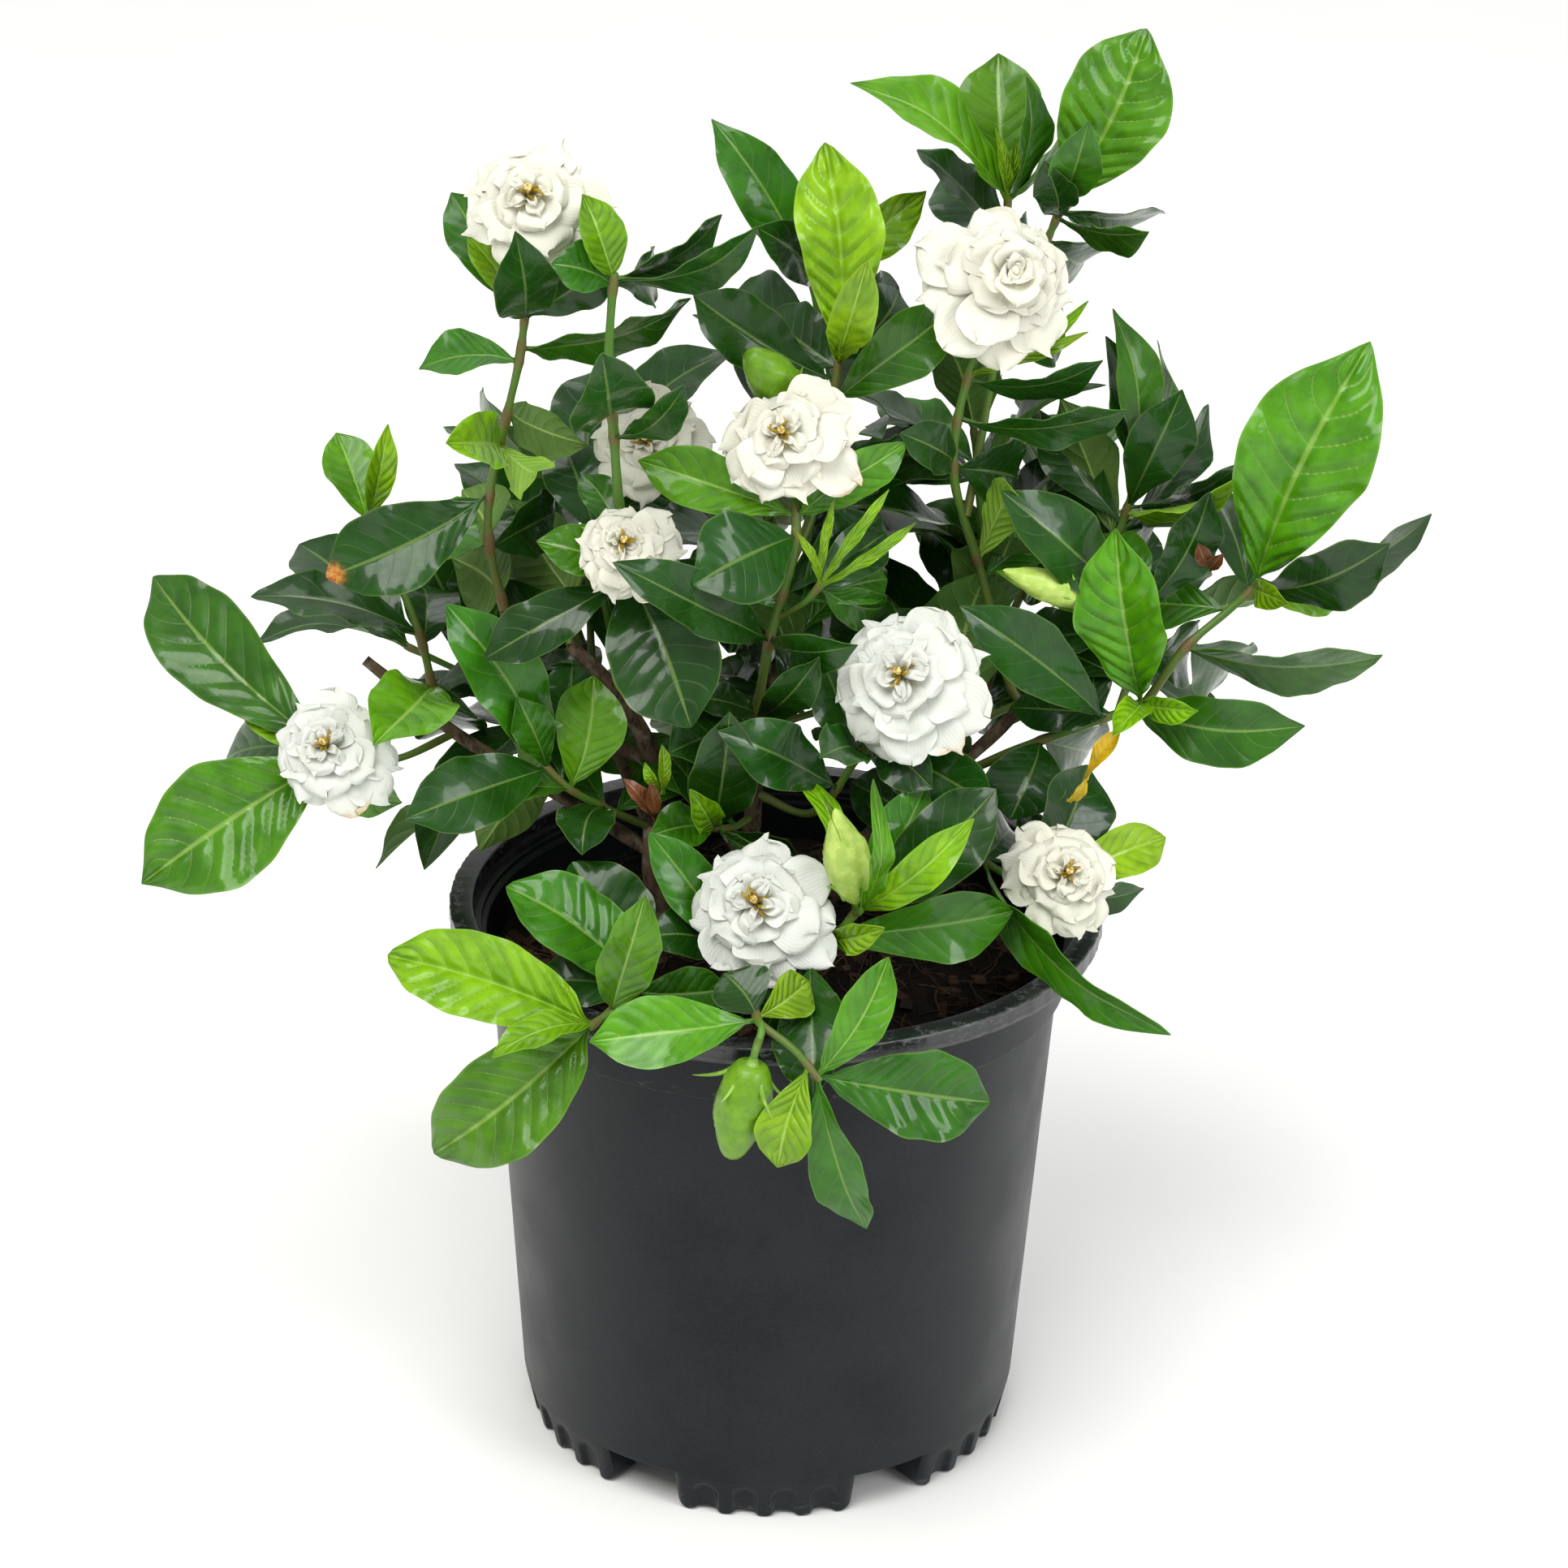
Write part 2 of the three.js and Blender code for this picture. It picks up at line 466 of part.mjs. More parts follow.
    leaves: [
      [[24, -14, -89], [97, -4, -72], 30, 20, 'm'],
      [[34, -4, -90], [61, 47, -84], 23, 10, 'm'],
      [[34, -4, -90], [80, 32, -104], 18, 10, 'l'],
      [[34, -5, -89], [90, 46, -60], 31, 5, 'd'],
      [[22, -16, -88], [43, -12, -116], 13, 20, 'l'],
      [[34, -3, -90], [13, 59, -92], 20, 10, 'l'],
      [[33, -4, -90], [22, 40, -112], 14, 20, 'l'],
      [[34, -3, -90], [45, 38, -106], 12, 20, 'l'],
      [[-14, -26, -66], [-30, -12, -30], 28, 20, 'd'],
    ] },
  { name: 'shoot_low_front', from: 'shoot_front', radius: [2, 1.7], bloom: 'bloom_8',
    stem: [[-20, -26, -62], [-18, -22, -76], [-14, -12, -86]],
    leaves: [
      [[-17, -20, -79], [-52, 28, -88], 23, 10, 'm'],
      [[-18, -22, -77], [-54, -14, -100], 24, 30, 'd'],
      [[-17, -19, -80], [12, -30, -108], 26, 30, 'd'],
    ] },
  { name: 'shoot_curled', from: 'shoot_front', radius: [1.8, 1.6],
    stem: [[6, -24, -81], [12, -25, -100], [14, -26, -110]],
    leaves: [
      [[14, -26, -110], [15, -81, -170], 29, 10, 'd'],
      [[13, -26, -106], [-5, -54, -124], 18, 10, 'd'],
    ] },
  { name: 'shoot_over_rim', ground: [-6, -44, 190], radius: [2.3, 1.8],
    stem: [{ at: [-6, -44, 190] }, { at: [-7, -70, 232] }, { at: [-7, -112, 258] }, [-8, -49, -142], [-6, -52, -149],
      [-8, -60, -154]],
    leaves: [
      [[-8, -50, -144], [-77, -58, -150], 29, 10, 'b'],
      [[-7, -48, -140], [13, -33, -110], 20, 10, 'l'],
      [[-7, -47, -138], [-22, -30, -100], 26, 20, 'd'],
    ] },
  { name: 'shoot_front_low', from: 'shoot_over_rim', radius: [1.9, 1.6],
    stem: [[-6, -51, -147], [8, -62, -155], [18, -74, -159]],
    leaves: [
      [[18, -74, -159], [88, -83, -148], 35, 10, 'm'],
      [[17, -73, -159], [36, -136, -156], 24, 30, 'm'],
      [[13, -68, -157], [0, -110, -170], 24, 5, 'l'],
      [[17, -72, -159], [46, -23, -150], 20, 10, 'b'],
    ] },
  { name: 'shoot_low_left', ground: [-52, -34, 190], radius: [2.4, 1.8],
    stem: [{ at: [-52, -34, 190] }, { at: [-54, -52, 232] }, [-56, -36, -100], [-77, -52, -126]],
    leaves: [
      [[-77, -52, -126], [-160, -22, -112], 37, 5, 'l'],
      [[-76, -52, -126], [-142, -105, -132], 42, 0, 'b'],
      [[-75, -51, -125], [-117, -64, -150], 15, 35, 'l'],
      [[-68, -46, -116], [-54, 2, -124], 24, 20, 'b'],
      [[-56, -36, -100], [-101, -33, -96], 24, 25, 'd'],
      [[-56, -32, -88], [-109, 7, -92], 35, 5, 'b'],
      [[-55, -28, -76], [-84, 16, -58], 40, 10, 'd'],
      [[-58, -37, -102], [-20, -36, -112], 24, 20, 'm'],
    ] },
  { name: 'shoot_low_middle_left', from: 'trunk_left', radius: [2, 1.7],
    stem: [[-51, 30, -10], [-70, 38, -26], [-85, 46, -34], [-96, 56, -36]],
    leaves: [
      [[-94, 54, -36], [-107, 84, -46], 18, 10, 'm'],
      [[-84, 45, -34], [-75, 92, -30], 29, 5, 'b'],
      [[-95, 55, -36], [-113, 92, -10], 16, 20, 'l'],
      [[-84, 45, -34], [-135, 45, -56], 20, 40, 'o'],
      [[-95, 55, -36], [-152, 34, -74], 30, 10, 'd'],
      [[-90, 50, -35], [-122, 22, -20], 28, 150, 'o'],
      [[-72, 39, -27], [-80, 20, -70], 24, 20, 'd'],
      [[-96, 56, -36], [-136, 122, -44], 30, 10, 'm'],
      [[-94, 54, -35], [-112, 82, 14], 22, 150, 'o'],
    ] },
];

// Flowers: the heart's place, how wide the flower is, and how far it looks right and up.
const BLOOMS = [
  { name: 'bloom_1', heart: [-102, 292, -26], width: 58, right: -0.05, up: 0.3 },
  { name: 'bloom_2', heart: [98, 259, -30], width: 68, right: 0.15, up: 0.15 },
  { name: 'bloom_3', heart: [2, 193, -44], width: 56, right: -0.05, up: 0.15 },
  { name: 'bloom_4', heart: [-63, 148, -60], width: 46, right: 0.1, up: 0.2 },
  { name: 'bloom_5', heart: [-54, 190, 14], width: 50, right: -0.1, up: 0.2 },
  { name: 'bloom_6', heart: [50, 94, -68], width: 66, right: -0.1, up: 0.15 },
  { name: 'bloom_7', heart: [-186, 65, -62], width: 52, right: -0.1, up: 0.2 },
  { name: 'bloom_8', heart: [-9, 0, -108], width: 62, right: -0.1, up: 0.15 },
  { name: 'bloom_9', heart: [120, 12, -62], width: 52, right: 0.15, up: 0.15 },
];

// Shoots on the far side, grown by rule: opposite pairs of leaves, each pair across the last.
const BACK = [
  { name: 'shoot_back_left', from: 'branch_back_left', pairs: 3,
    stem: [{ at: [-85, 58, 335] }, { at: [-98, 85, 360] }, { at: [-104, 105, 380] }] },
  { name: 'shoot_back', from: 'branch_back', pairs: 3, bloom: 'bloom_10',
    stem: [{ at: [0, 66, 345] }, { at: [-2, 89, 372] }, { at: [-6, 105, 380] }] },
  { name: 'shoot_back_right', from: 'branch_back_right', pairs: 3,
    stem: [{ at: [98, 60, 350] }, { at: [112, 85, 372] }, { at: [120, 105, 388] }] },
  { name: 'shoot_side_left', from: 'branch_back_left', pairs: 3,
    stem: [{ at: [-70, 32, 300] }, { at: [-120, 48, 318] }, { at: [-162, 58, 334] }] },
  { name: 'shoot_back_side', from: 'branch_back_right', pairs: 3,
    stem: [{ at: [80, 36, 310] }, { at: [128, 58, 326] }, { at: [158, 71, 340] }] },
  { name: 'shoot_back_low_left', from: 'branch_back', pairs: 3,
    stem: [{ at: [-8, 36, 300] }, { at: [-30, 75, 302] }, { at: [-46, 98, 300] }] },
  { name: 'shoot_back_low_right', from: 'branch_back', pairs: 3,
    stem: [{ at: [-7, 40, 306] }, { at: [36, 75, 306] }, { at: [58, 105, 302] }] },
  { name: 'shoot_back_tall', from: 'branch_back', pairs: 3,
    stem: [{ at: [-2, 58, 332] }, { at: [6, 55, 400] }, { at: [8, 50, 446] }] },
  { name: 'shoot_back_tall_left', from: 'branch_back_left', pairs: 3,
    stem: [{ at: [-81, 50, 326] }, { at: [-82, 45, 390] }, { at: [-80, 37, 426] }] },
  { name: 'shoot_back_tall_right', from: 'branch_back_right', pairs: 3,
    stem: [{ at: [93, 53, 340] }, { at: [84, 66, 400] }, { at: [80, 65, 436] }] },
  { name: 'shoot_inner_left', from: 'trunk_left', pairs: 4,
    stem: [[-58, 76, -8], [-66, 100, 36], [-74, 138, 44]] },
  { name: 'shoot_inner_middle', from: 'trunk_middle', pairs: 4,
    stem: [[-9, 57, -23], [6, 92, 22], [14, 146, 38]] },
  { name: 'shoot_inner_right', from: 'trunk_right', pairs: 4,
    stem: [[60, 42, 7], [74, 76, 36], [84, 118, 48]] },
  { name: 'shoot_inner_low', from: 'branch_left', pairs: 3,
    stem: [[-80, 38, -6], [-98, 62, 34], [-116, 84, 46]] },
];
const BACK_BLOOMS = [
  { name: 'bloom_10', at: [-10, 124, 394], width: 60, look: [-0.1, 1, 0.45] },
];

// Buds: the shoot that carries it, foot and tip on the drawing plane, and the widest radius.
const BUDS = [
  { name: 'bud_front', from: 'shoot_front', foot: [33, 1, -95], tip: [24, 38, -101], radius: 8.5 },
  { name: 'bud_hanging', from: 'shoot_over_rim', foot: [-10, -67, -158], tip: [-19, -106, -160], radius: 10 },
  { name: 'bud_behind', from: 'shoot_high_middle', foot: [8, 204, 0], tip: [-12, 226, -8], radius: 9 },
  { name: 'bud_twisted', from: 'shoot_right_middle', foot: [126, 124, -10], tip: [93, 136, -26], radius: 6 },
];

const spot = (p) => (Array.isArray(p) ? place(p) : vec(...p.at));

// ---------------------------------------------------------------- flowers
// A petal runs out from the heart: each ring is [how far out, how far forward, half width], in
// flower radii; the last ring is the petal's broad end.
const PETALS = [
  { count: 5, start: 0, twist: 12, rings: [[0.55, 0.16, 0.36], [1, 0.06, 0.5]] },
  { count: 4, start: 20, twist: 14, rings: [[0.42, 0.38, 0.32], [0.76, 0.46, 0.42]] },
  { count: 2, start: 50, twist: 16, rings: [[0.2, 0.5, 0.22], [0.36, 0.7, 0.26]] },
];
const HEART_DEPTH = 0.45;    // petals spring this far behind the heart, in flower radii
const HEART_BACK = 4;        // a flower's core starts this far behind the petals, in mm
const CORE = { foot: 5.2, head: 3, height: 0.5, sides: 5 };    // height in flower radii
const CUP = { sides: 0.09, lift: 0.03 };    // how far a petal's corners lie back and up, in flower radii

function flowerFrame(flower) {
  const radius = flower.width / 2;
  if (flower.at) {
    const look = vec(...flower.look).normalize();
    return { radius, look, root: vec(...flower.at).addScaledVector(look, -HEART_DEPTH * radius) };
  }
  const heart = place(flower.heart);
  const look = EYE.clone().sub(heart).normalize()
    .addScaledVector(ACROSS, flower.right).addScaledVector(TALL, flower.up).normalize();
  return { radius, look, root: heart.addScaledVector(look, -HEART_DEPTH * radius) };
}

function petalSurface(frame, layer, angle) {
  const { radius, look, root } = frame;
  const first = LEVEL.clone().addScaledVector(look, -look.x).normalize();
  const second = look.clone().cross(first);
  const out = first.clone().multiplyScalar(Math.cos(angle)).addScaledVector(second, Math.sin(angle));
  const [reach, lift] = layer.rings.at(-1);
  const slope = Math.atan2(lift, reach);
  const normal = look.clone().multiplyScalar(Math.cos(slope)).addScaledVector(out, -Math.sin(slope));
  const along = out.clone().multiplyScalar(Math.cos(slope)).addScaledVector(look, Math.sin(slope));
  const level = along.clone().cross(normal);
  const twist = layer.twist * RAD;
  const side = level.clone().multiplyScalar(Math.cos(twist)).addScaledVector(normal, Math.sin(twist));
  const rows = layer.rings.map(([far, forward, half], i) => {
    const spine = root.clone().addScaledVector(out, far * radius).addScaledVector(look, forward * radius);
    const corner = (sign) => spine.clone().addScaledVector(side, sign * half * radius)
      .addScaledVector(out, i ? -CUP.sides * radius : 0).addScaledVector(normal, CUP.lift * radius);
    return i === 0 ? [corner(-1), corner(1)] : [corner(-1), spine, corner(1)];
  });
  return sheet(root.clone().addScaledVector(out, 1), rows, null, normal, LEAF_THICK);
}

function flower(frame) {
  const { radius, look, root } = frame;
  const core = tubeSurface([root.clone().addScaledVector(look, -HEART_BACK),
    root.clone().addScaledVector(look, CORE.height * radius)], CORE.foot, CORE.head, CORE.sides);
  const petals = PETALS.flatMap((layer) => Array.from({ length: layer.count }, (_, i) => (
    petalSurface(frame, layer, ((i / layer.count) * 360 + layer.start) * RAD))));
  return joined([core, ...petals].map(solidOf));
}

// The room a flower takes up, for leaves to keep out of: [radius, height], in flower radii.
const FLOWER_ROOM = [[0.12, -0.2], [1.04, -0.1], [1, 0.2], [0.55, 0.7]];
function flowerRoom(frame) {
  const { radius, look, root } = frame;
  return ringSurface(root, look, FLOWER_ROOM.map(([r, h]) => [r * radius, h * radius]), 8);
}

// Rings of [radius, height] round an axis, closed by a flat at each end.
function ringSurface(origin, axis, outline, sides, twist = 0) {
  const reference = Math.abs(axis.x) > 0.9 ? UP : LEVEL;
  const first = reference.clone().addScaledVector(axis, -reference.dot(axis)).normalize();
  const second = axis.clone().cross(first);
  const points = [];
  const faces = [];
  outline.forEach(([radius, height], i) => {
    for (let k = 0; k < sides; k += 1) {
      const angle = (k / sides) * 2 * Math.PI + i * twist;
      points.push(origin.clone().addScaledVector(axis, height)
        .addScaledVector(first, radius * Math.cos(angle)).addScaledVector(second, radius * Math.sin(angle)));
    }
    if (i === 0) return;
    for (let k = 0; k < sides; k += 1) {
      const a = (i - 1) * sides + k;
      const b = (i - 1) * sides + ((k + 1) % sides);
      faces.push([a, b, b + sides], [a, b + sides, a + sides]);
    }
  });
  const last = (outline.length - 1) * sides;
  for (let k = 1; k + 1 < sides; k += 1) {
    faces.push([0, k + 1, k], [last, last + k, last + k + 1]);
  }
  return { points, faces };
}

// A scrolled bud: a spindle whose faces wind round it.
const BUD = { outline: [[0.22, 0], [0.8, 0.2], [1, 0.45], [0.78, 0.72], [0.16, 1]], sides: 7, twist: 0.22 };
function budSurface(bud, swell) {
  const foot = place(bud.foot);
  const axis = place(bud.tip).sub(foot);
  const length = axis.length();
  axis.normalize();
  const outline = BUD.outline.map(([r, h]) => [r * bud.radius + swell, h * length]);
  return ringSurface(foot, axis, outline, BUD.sides, BUD.twist);
}

// ---------------------------------------------------------------- finding room
function roomOf({ points, faces }, skip = -1) {
  const edges = new Map();
  const kept = faces.filter((face) => !face.includes(skip));
  kept.forEach((face) => face.forEach((a, i) => {
    const b = face[(i + 1) % 3];
    if (a < b) edges.set(`${a},${b}`, [a, b]);
  }));
  const box = new THREE.Box3().setFromPoints([...new Set(kept.flat())].map((k) => points[k]));
  return { points, faces: kept, edges: [...edges.values()], box };
}

// A leaf's room, with and without the narrow root that it shares with its neighbours on the stem.
function leafRoom(leaf) {
  const surface = leafSurface(leaf, 2 * CLEAR);
  return { whole: roomOf(surface), blade: roomOf(surface, surface.points.length - 1) };
}

const edgeBox = new THREE.Box3();
const hitPoint = vec(0, 0, 0);
const ray = new THREE.Ray();
function edgesHit(a, b) {
  for (const [i, j] of a.edges) {
    edgeBox.makeEmpty().expandByPoint(a.points[i]).expandByPoint(a.points[j]);
    if (!edgeBox.intersectsBox(b.box)) continue;
    const length = a.points[i].distanceTo(a.points[j]);
    ray.origin.copy(a.points[i]);
    ray.direction.copy(a.points[j]).sub(a.points[i]).divideScalar(length);
    for (const [p, q, r] of b.faces) {
      const hit = ray.intersectTriangle(b.points[p], b.points[q], b.points[r], false, hitPoint);
      if (hit && hitPoint.distanceTo(ray.origin) <= length) return true;
    }
  }
  return false;
}
const crossing = (a, b) => a.box.intersectsBox(b.box) && (edgesHit(a, b) || edgesHit(b, a));

// The pot and its soil as seen by a leaf: true where a point is inside their room.
const wallRadius = (z) => POT.wallFoot
  + ((POT.wallTop - POT.wallFoot) * (z - POT.footHeight)) / (POT.shoulderFoot - POT.footHeight);
const POT_CLEAR = 2.2;
function inPot({ x, y, z }) {
  if (z > POT.height + POT_CLEAR) return false;
  const r = Math.hypot(x, y);
  const lip = z > POT.height - POT.lipHeight - 2 * POT_CLEAR;
  const shoulder = z > POT.shoulderFoot - POT_CLEAR ? POT.shoulderRadius : 0;
  const outer = lip ? POT.rimRadius : Math.max(wallRadius(z), shoulder);
  const inner = wallRadius(z) - POT.wall;
  if (z < SOIL.top + SOIL.mound && r < inner) return true;
  return r < outer + POT_CLEAR && r > inner - POT_CLEAR;
}
const hitsPot = (room) => room.box.min.z < POT.height + POT_CLEAR && room.edges.some(([i, j]) => (
  [0, 0.25, 0.5, 0.75].some((t) => inPot(room.points[i].clone().lerp(room.points[j], t)))));

const taken = [];
function isFree(room, owner) {
  if (hitsPot(room.whole)) return false;
  return !taken.some((other) => {
    if (other.kind === 'leaf') {
      return other.owner === owner ? crossing(room.blade, other.blade) : crossing(room.whole, other.room);
    }
    return crossing(other.owner === owner ? room.blade : room.whole, other.room);
  });
}

// Every way to shift, turn or shrink a leaf, gentlest first.
const SHIFTS = [0, 6, -6, 12, -12, 18, -18, 26, -26, 36, -36, 48, -48, 62, -62];
const TURNS = [0, 14, -14, 28, -28];
const SCALES = [1, 0.87, 0.74, 0.6];
const TRIES = SCALES.flatMap((scale) => TURNS.flatMap((turn) => SHIFTS.map((shift) => ({
  scale, turn, shift, cost: Math.abs(shift) / 12 + Math.abs(turn) / 18 + (1 - scale) * 14,
})))).sort((a, b) => a.cost - b.cost);

// A leaf springs from the place on its stem's axis that lies nearest to a point, clear of the stem's
// two ends and of the stem it branches from.
const ROOTS = { step: 1, end: 2, apart: 3.2 };
function along(path, each) {
  for (let i = 0; i + 1 < path.length; i += 1) {
    const steps = Math.ceil(path[i].distanceTo(path[i + 1]) / ROOTS.step);
    for (let k = 0; k < steps; k += 1) each(path[i].clone().lerp(path[i + 1], k / steps));
  }
}
function rootOn(name, parent, point) {
  const { path } = stems.get(name);
  let best = null;
  along(path, (here) => {
    if (here.distanceTo(path[0]) < ROOTS.end || here.distanceTo(path.at(-1)) < ROOTS.end) return;
    if (best && here.distanceTo(point) >= best.distanceTo(point)) return;
    if (parent) {
      const { path: other, radius } = stems.get(parent);
      let gap = Infinity;
      along(other, (there) => {
        gap = Math.min(gap, there.distanceTo(here));
      });
      if (gap < radius[0] + ROOTS.apart) return;
    }
    best = here;
  });
  return best ?? path[1].clone();
}

// How a blade is folded along its midrib at each age (degrees), arched and waved (of its size).
const FOLD = { d: 12, m: 14, b: 16, l: 22, o: 14 };
const ARCH = 0.09;
const WAVE = 0.03;
const WIDE = 34;         // a blade wider than this gets a third row of points
function drawnLeaf(start, [, tip, width, turn, age], choice) {
  const end = place([tip[0], tip[1], tip[2] + choice.shift]);
  const length = end.distanceTo(start) * choice.scale;
  return {
    foot: start.clone(),
    tip: start.clone().lerp(end, choice.scale),
    facing: EYE.clone().sub(start).normalize(),
    width: width * choice.scale,
    turn: turn + choice.turn,
    fold: FOLD[age],
    arch: ARCH,
    wave: WAVE,
    large: width > WIDE,
  };
}

// The first try that is free takes the room; a leaf that never finds room is left out.
function settle(owner, makeLeaf) {
  for (const choice of TRIES) {
    const leaf = makeLeaf(choice);
    const room = leafRoom(leaf);
    if (isFree(room, owner)) {
      taken.push({ kind: 'leaf', owner, room: room.whole, blade: room.blade });
      return leaf;
    }
  }
  return null;
}

// ---------------------------------------------------------------- building the plant
const stems = new Map();
const STALK = 14;        // a flower's stalk runs straight for this far behind it
const TWIG = [2.1, 1.6];
const STEM_ROOM = 0.6;
const BUD_ROOM = 0.8;
function stemPath(shoot) {
  const path = shoot.stem.map(spot);
  const ending = [...BLOOMS, ...BACK_BLOOMS].find((b) => b.name === shoot.bloom);
  if (ending) {
    const frame = flowerFrame(ending);
    for (const back of [STALK, GAP]) {
      path.push(frame.root.clone().addScaledVector(frame.look, -HEART_BACK - back));
    }
  }
  return path;
}
for (const branch of WOOD) {
  stems.set(branch.name, { path: branch.path.map(spot), radius: branch.radius, sides: 4 });
}
for (const shoot of [...SHOOTS, ...BACK]) {
  stems.set(shoot.name, { path: stemPath(shoot), radius: shoot.radius ?? TWIG, sides: shoot.pairs ? 3 : 4 });
}
const tube = ({ path, radius, sides }, swell = 0) => (
  tubeSurface(path, radius[0] + swell, radius[1] + swell, sides));

// A stem's tube made wider and longer by the same room.
function swollen(stem, room) {
  const { path } = stem;
  const start = path[0].clone().sub(path[1]).setLength(room).add(path[0]);
  const end = path.at(-1).clone().sub(path.at(-2)).setLength(room).add(path.at(-1));
  return solidOf(tube({ ...stem, path: [start, ...path.slice(1, -1), end] }, room));
}

// A bud hangs on a stalk of its own, from the stem it grows on to just short of its foot.
const STALK_END = 6;
const stalks = BUDS.map((bud) => {
  const foot = place(bud.foot);
  const axis = place(bud.tip).sub(foot).normalize();
  const shoot = SHOOTS.find((one) => one.name === bud.from);
  const path = [rootOn(bud.from, shoot.from, foot), foot.clone().addScaledVector(axis, -STALK_END),
    foot.clone().addScaledVector(axis, -GAP)];
  return { owner: bud.from, stem: { path, radius: TWIG, sides: 4 } };
});

for (const { owner, stem } of stalks) {
  taken.push({ kind: 'stem', owner, room: roomOf(tube(stem, STEM_ROOM)) });
}
for (const [name, stem] of stems) {
  taken.push({ kind: 'stem', owner: name, room: roomOf(tube(stem, STEM_ROOM)) });
}
const frames = new Map([...BLOOMS, ...BACK_BLOOMS].map((b) => [b.name, flowerFrame(b)]));
for (const [name, frame] of frames) {
  taken.push({ kind: 'bloom', owner: name, room: roomOf(flowerRoom(frame)) });
}
for (const bud of BUDS) taken.push({ kind: 'bud', owner: bud.name, room: roomOf(budSurface(bud, BUD_ROOM)) });

const foliage = new Map();
for (const shoot of SHOOTS) {
  foliage.set(shoot.name, shoot.leaves.map((row) => {
    const root = rootOn(shoot.name, shoot.from, place(row[0]));
    return settle(shoot.name, (choice) => drawnLeaf(root, row, choice));
  }).filter(Boolean));
}

// A pair of leaves stands out of its stem on both sides, and each pair crosses the one before.
const PAIR = {
  first: 0.3,          // the lowest pair's place along the stem; the others follow up to its end
  run: 0.68,
  turn: 40,            // how far a pair strays round the stem, in degrees
  start: 15,
  lift: 26,            // rise from the stem, in degrees, and how much each next pair adds
  liftMore: 14,
  liftStray: 16,
  tilt: 30,
  length: 90,
  spread: 0.32,
  ratio: 0.44,         // width to length
  shrink: 0.24,
  droop: 6,
  swing: 1.2,          // how strongly a try's shift and turn swing a leaf
  nod: 0.6,
};
const draw = draws(20261);
for (const shoot of BACK) {
  const { path } = stems.get(shoot.name);
  const curve = new THREE.CatmullRomCurve3(path.slice(0, 3));
  const leaves = [];
  for (let i = 0; i < shoot.pairs; i += 1) {
    const t = PAIR.first + (PAIR.run * i) / (shoot.pairs - 1);
    const foot = rootOn(shoot.name, shoot.from, curve.getPoint(t));
    const stemWay = curve.getTangent(t);
    const level = stemWay.clone().cross(UP).normalize();
    const tall = level.clone().cross(stemWay);
    for (const half of [0, 180]) {
      const angle = half + 90 * (i % 2) + (draw() - 0.5) * PAIR.turn + PAIR.start;
      const grown = 1 + (draw() - 0.5) * PAIR.spread;
      const length = PAIR.length * (1 - PAIR.shrink * (i / shoot.pairs)) * grown;
      const lift = PAIR.lift + PAIR.liftMore * i + (draw() - 0.5) * PAIR.liftStray;
      const tilt = (draw() - 0.5) * PAIR.tilt;
      const leaf = settle(shoot.name, (choice) => {
        const around = (angle + choice.shift * PAIR.swing) * RAD;
        const rise = (lift + choice.turn * PAIR.nod) * RAD;
        const out = level.clone().multiplyScalar(Math.cos(around)).addScaledVector(tall, Math.sin(around));
        const way = out.multiplyScalar(Math.cos(rise)).addScaledVector(stemWay, Math.sin(rise));
        return {
          foot: foot.clone(),
          tip: foot.clone().addScaledVector(way, length * choice.scale).addScaledVector(UP, -PAIR.droop),
          facing: UP.clone().addScaledVector(stemWay, 0.5),
          width: length * PAIR.ratio * choice.scale,
          turn: tilt,
          fold: FOLD.m,
          arch: ARCH,
          wave: WAVE,
          large: false,
        };
      });
      if (leaf) leaves.push(leaf);
    }
  }
  foliage.set(shoot.name, leaves);
}

// ---------------------------------------------------------------- nodes
const GREEN = { front: 0x3b7d22, back: 0x2c5f20 };
// The branches fused with the one a shoot grows from, or the one stem that carries it.
function kinOf(parent) {
  const branch = WOOD.find((wood) => wood.name === parent);
  return branch ? WOOD.filter((wood) => wood.side === branch.side).map((wood) => wood.name) : [parent];
}
const leafSolid = (leaf) => solidOf(leafSurface(leaf, LEAF_THICK));
for (const shoot of [...SHOOTS, ...BACK]) {
  const stem = stems.get(shoot.name);
  const tubes = [stem, ...stalks.filter((stalk) => stalk.owner === shoot.name).map((stalk) => stalk.stem)];
  let solid = joined([...tubes.map((one) => solidOf(tube(one))), ...foliage.get(shoot.name).map(leafSolid)]);
  if (shoot.from) {
    for (const name of kinOf(shoot.from)) solid = solid.subtract(swollen(stems.get(name), GAP));
    const bodies = solid.decompose();
    solid = bodies.reduce((most, body) => (body.volume() > most.volume() ? body : most));
  }
  const color = shoot.pairs ? GREEN.back : GREEN.front;
  node(shoot.name, solid, color, 0.4);
}
for (const side of ['left', 'middle', 'right']) {
  const branches = WOOD.filter((branch) => branch.side === side);
  node(`woody_${side}`, joined(branches.map((branch) => solidOf(tube(stems.get(branch.name))))), 0x5a4a38, 0.85);
}
for (const [name, frame] of frames) node(name, flower(frame), 0xf3f1e6, 0.6);
for (const bud of BUDS) node(bud.name, solidOf(budSurface(bud, 0)), 0xa9cc55, 0.5);

// ---------------------------------------------------------------- pot
function lathe(outline, sides) {
  const profile = [...outline, outline[0]].map(([r, z]) => new THREE.Vector2(r, z));
  const geometry = new THREE.LatheGeometry(profile, sides);
  geometry.rotateX(Math.PI / 2);
  return geometry;
}

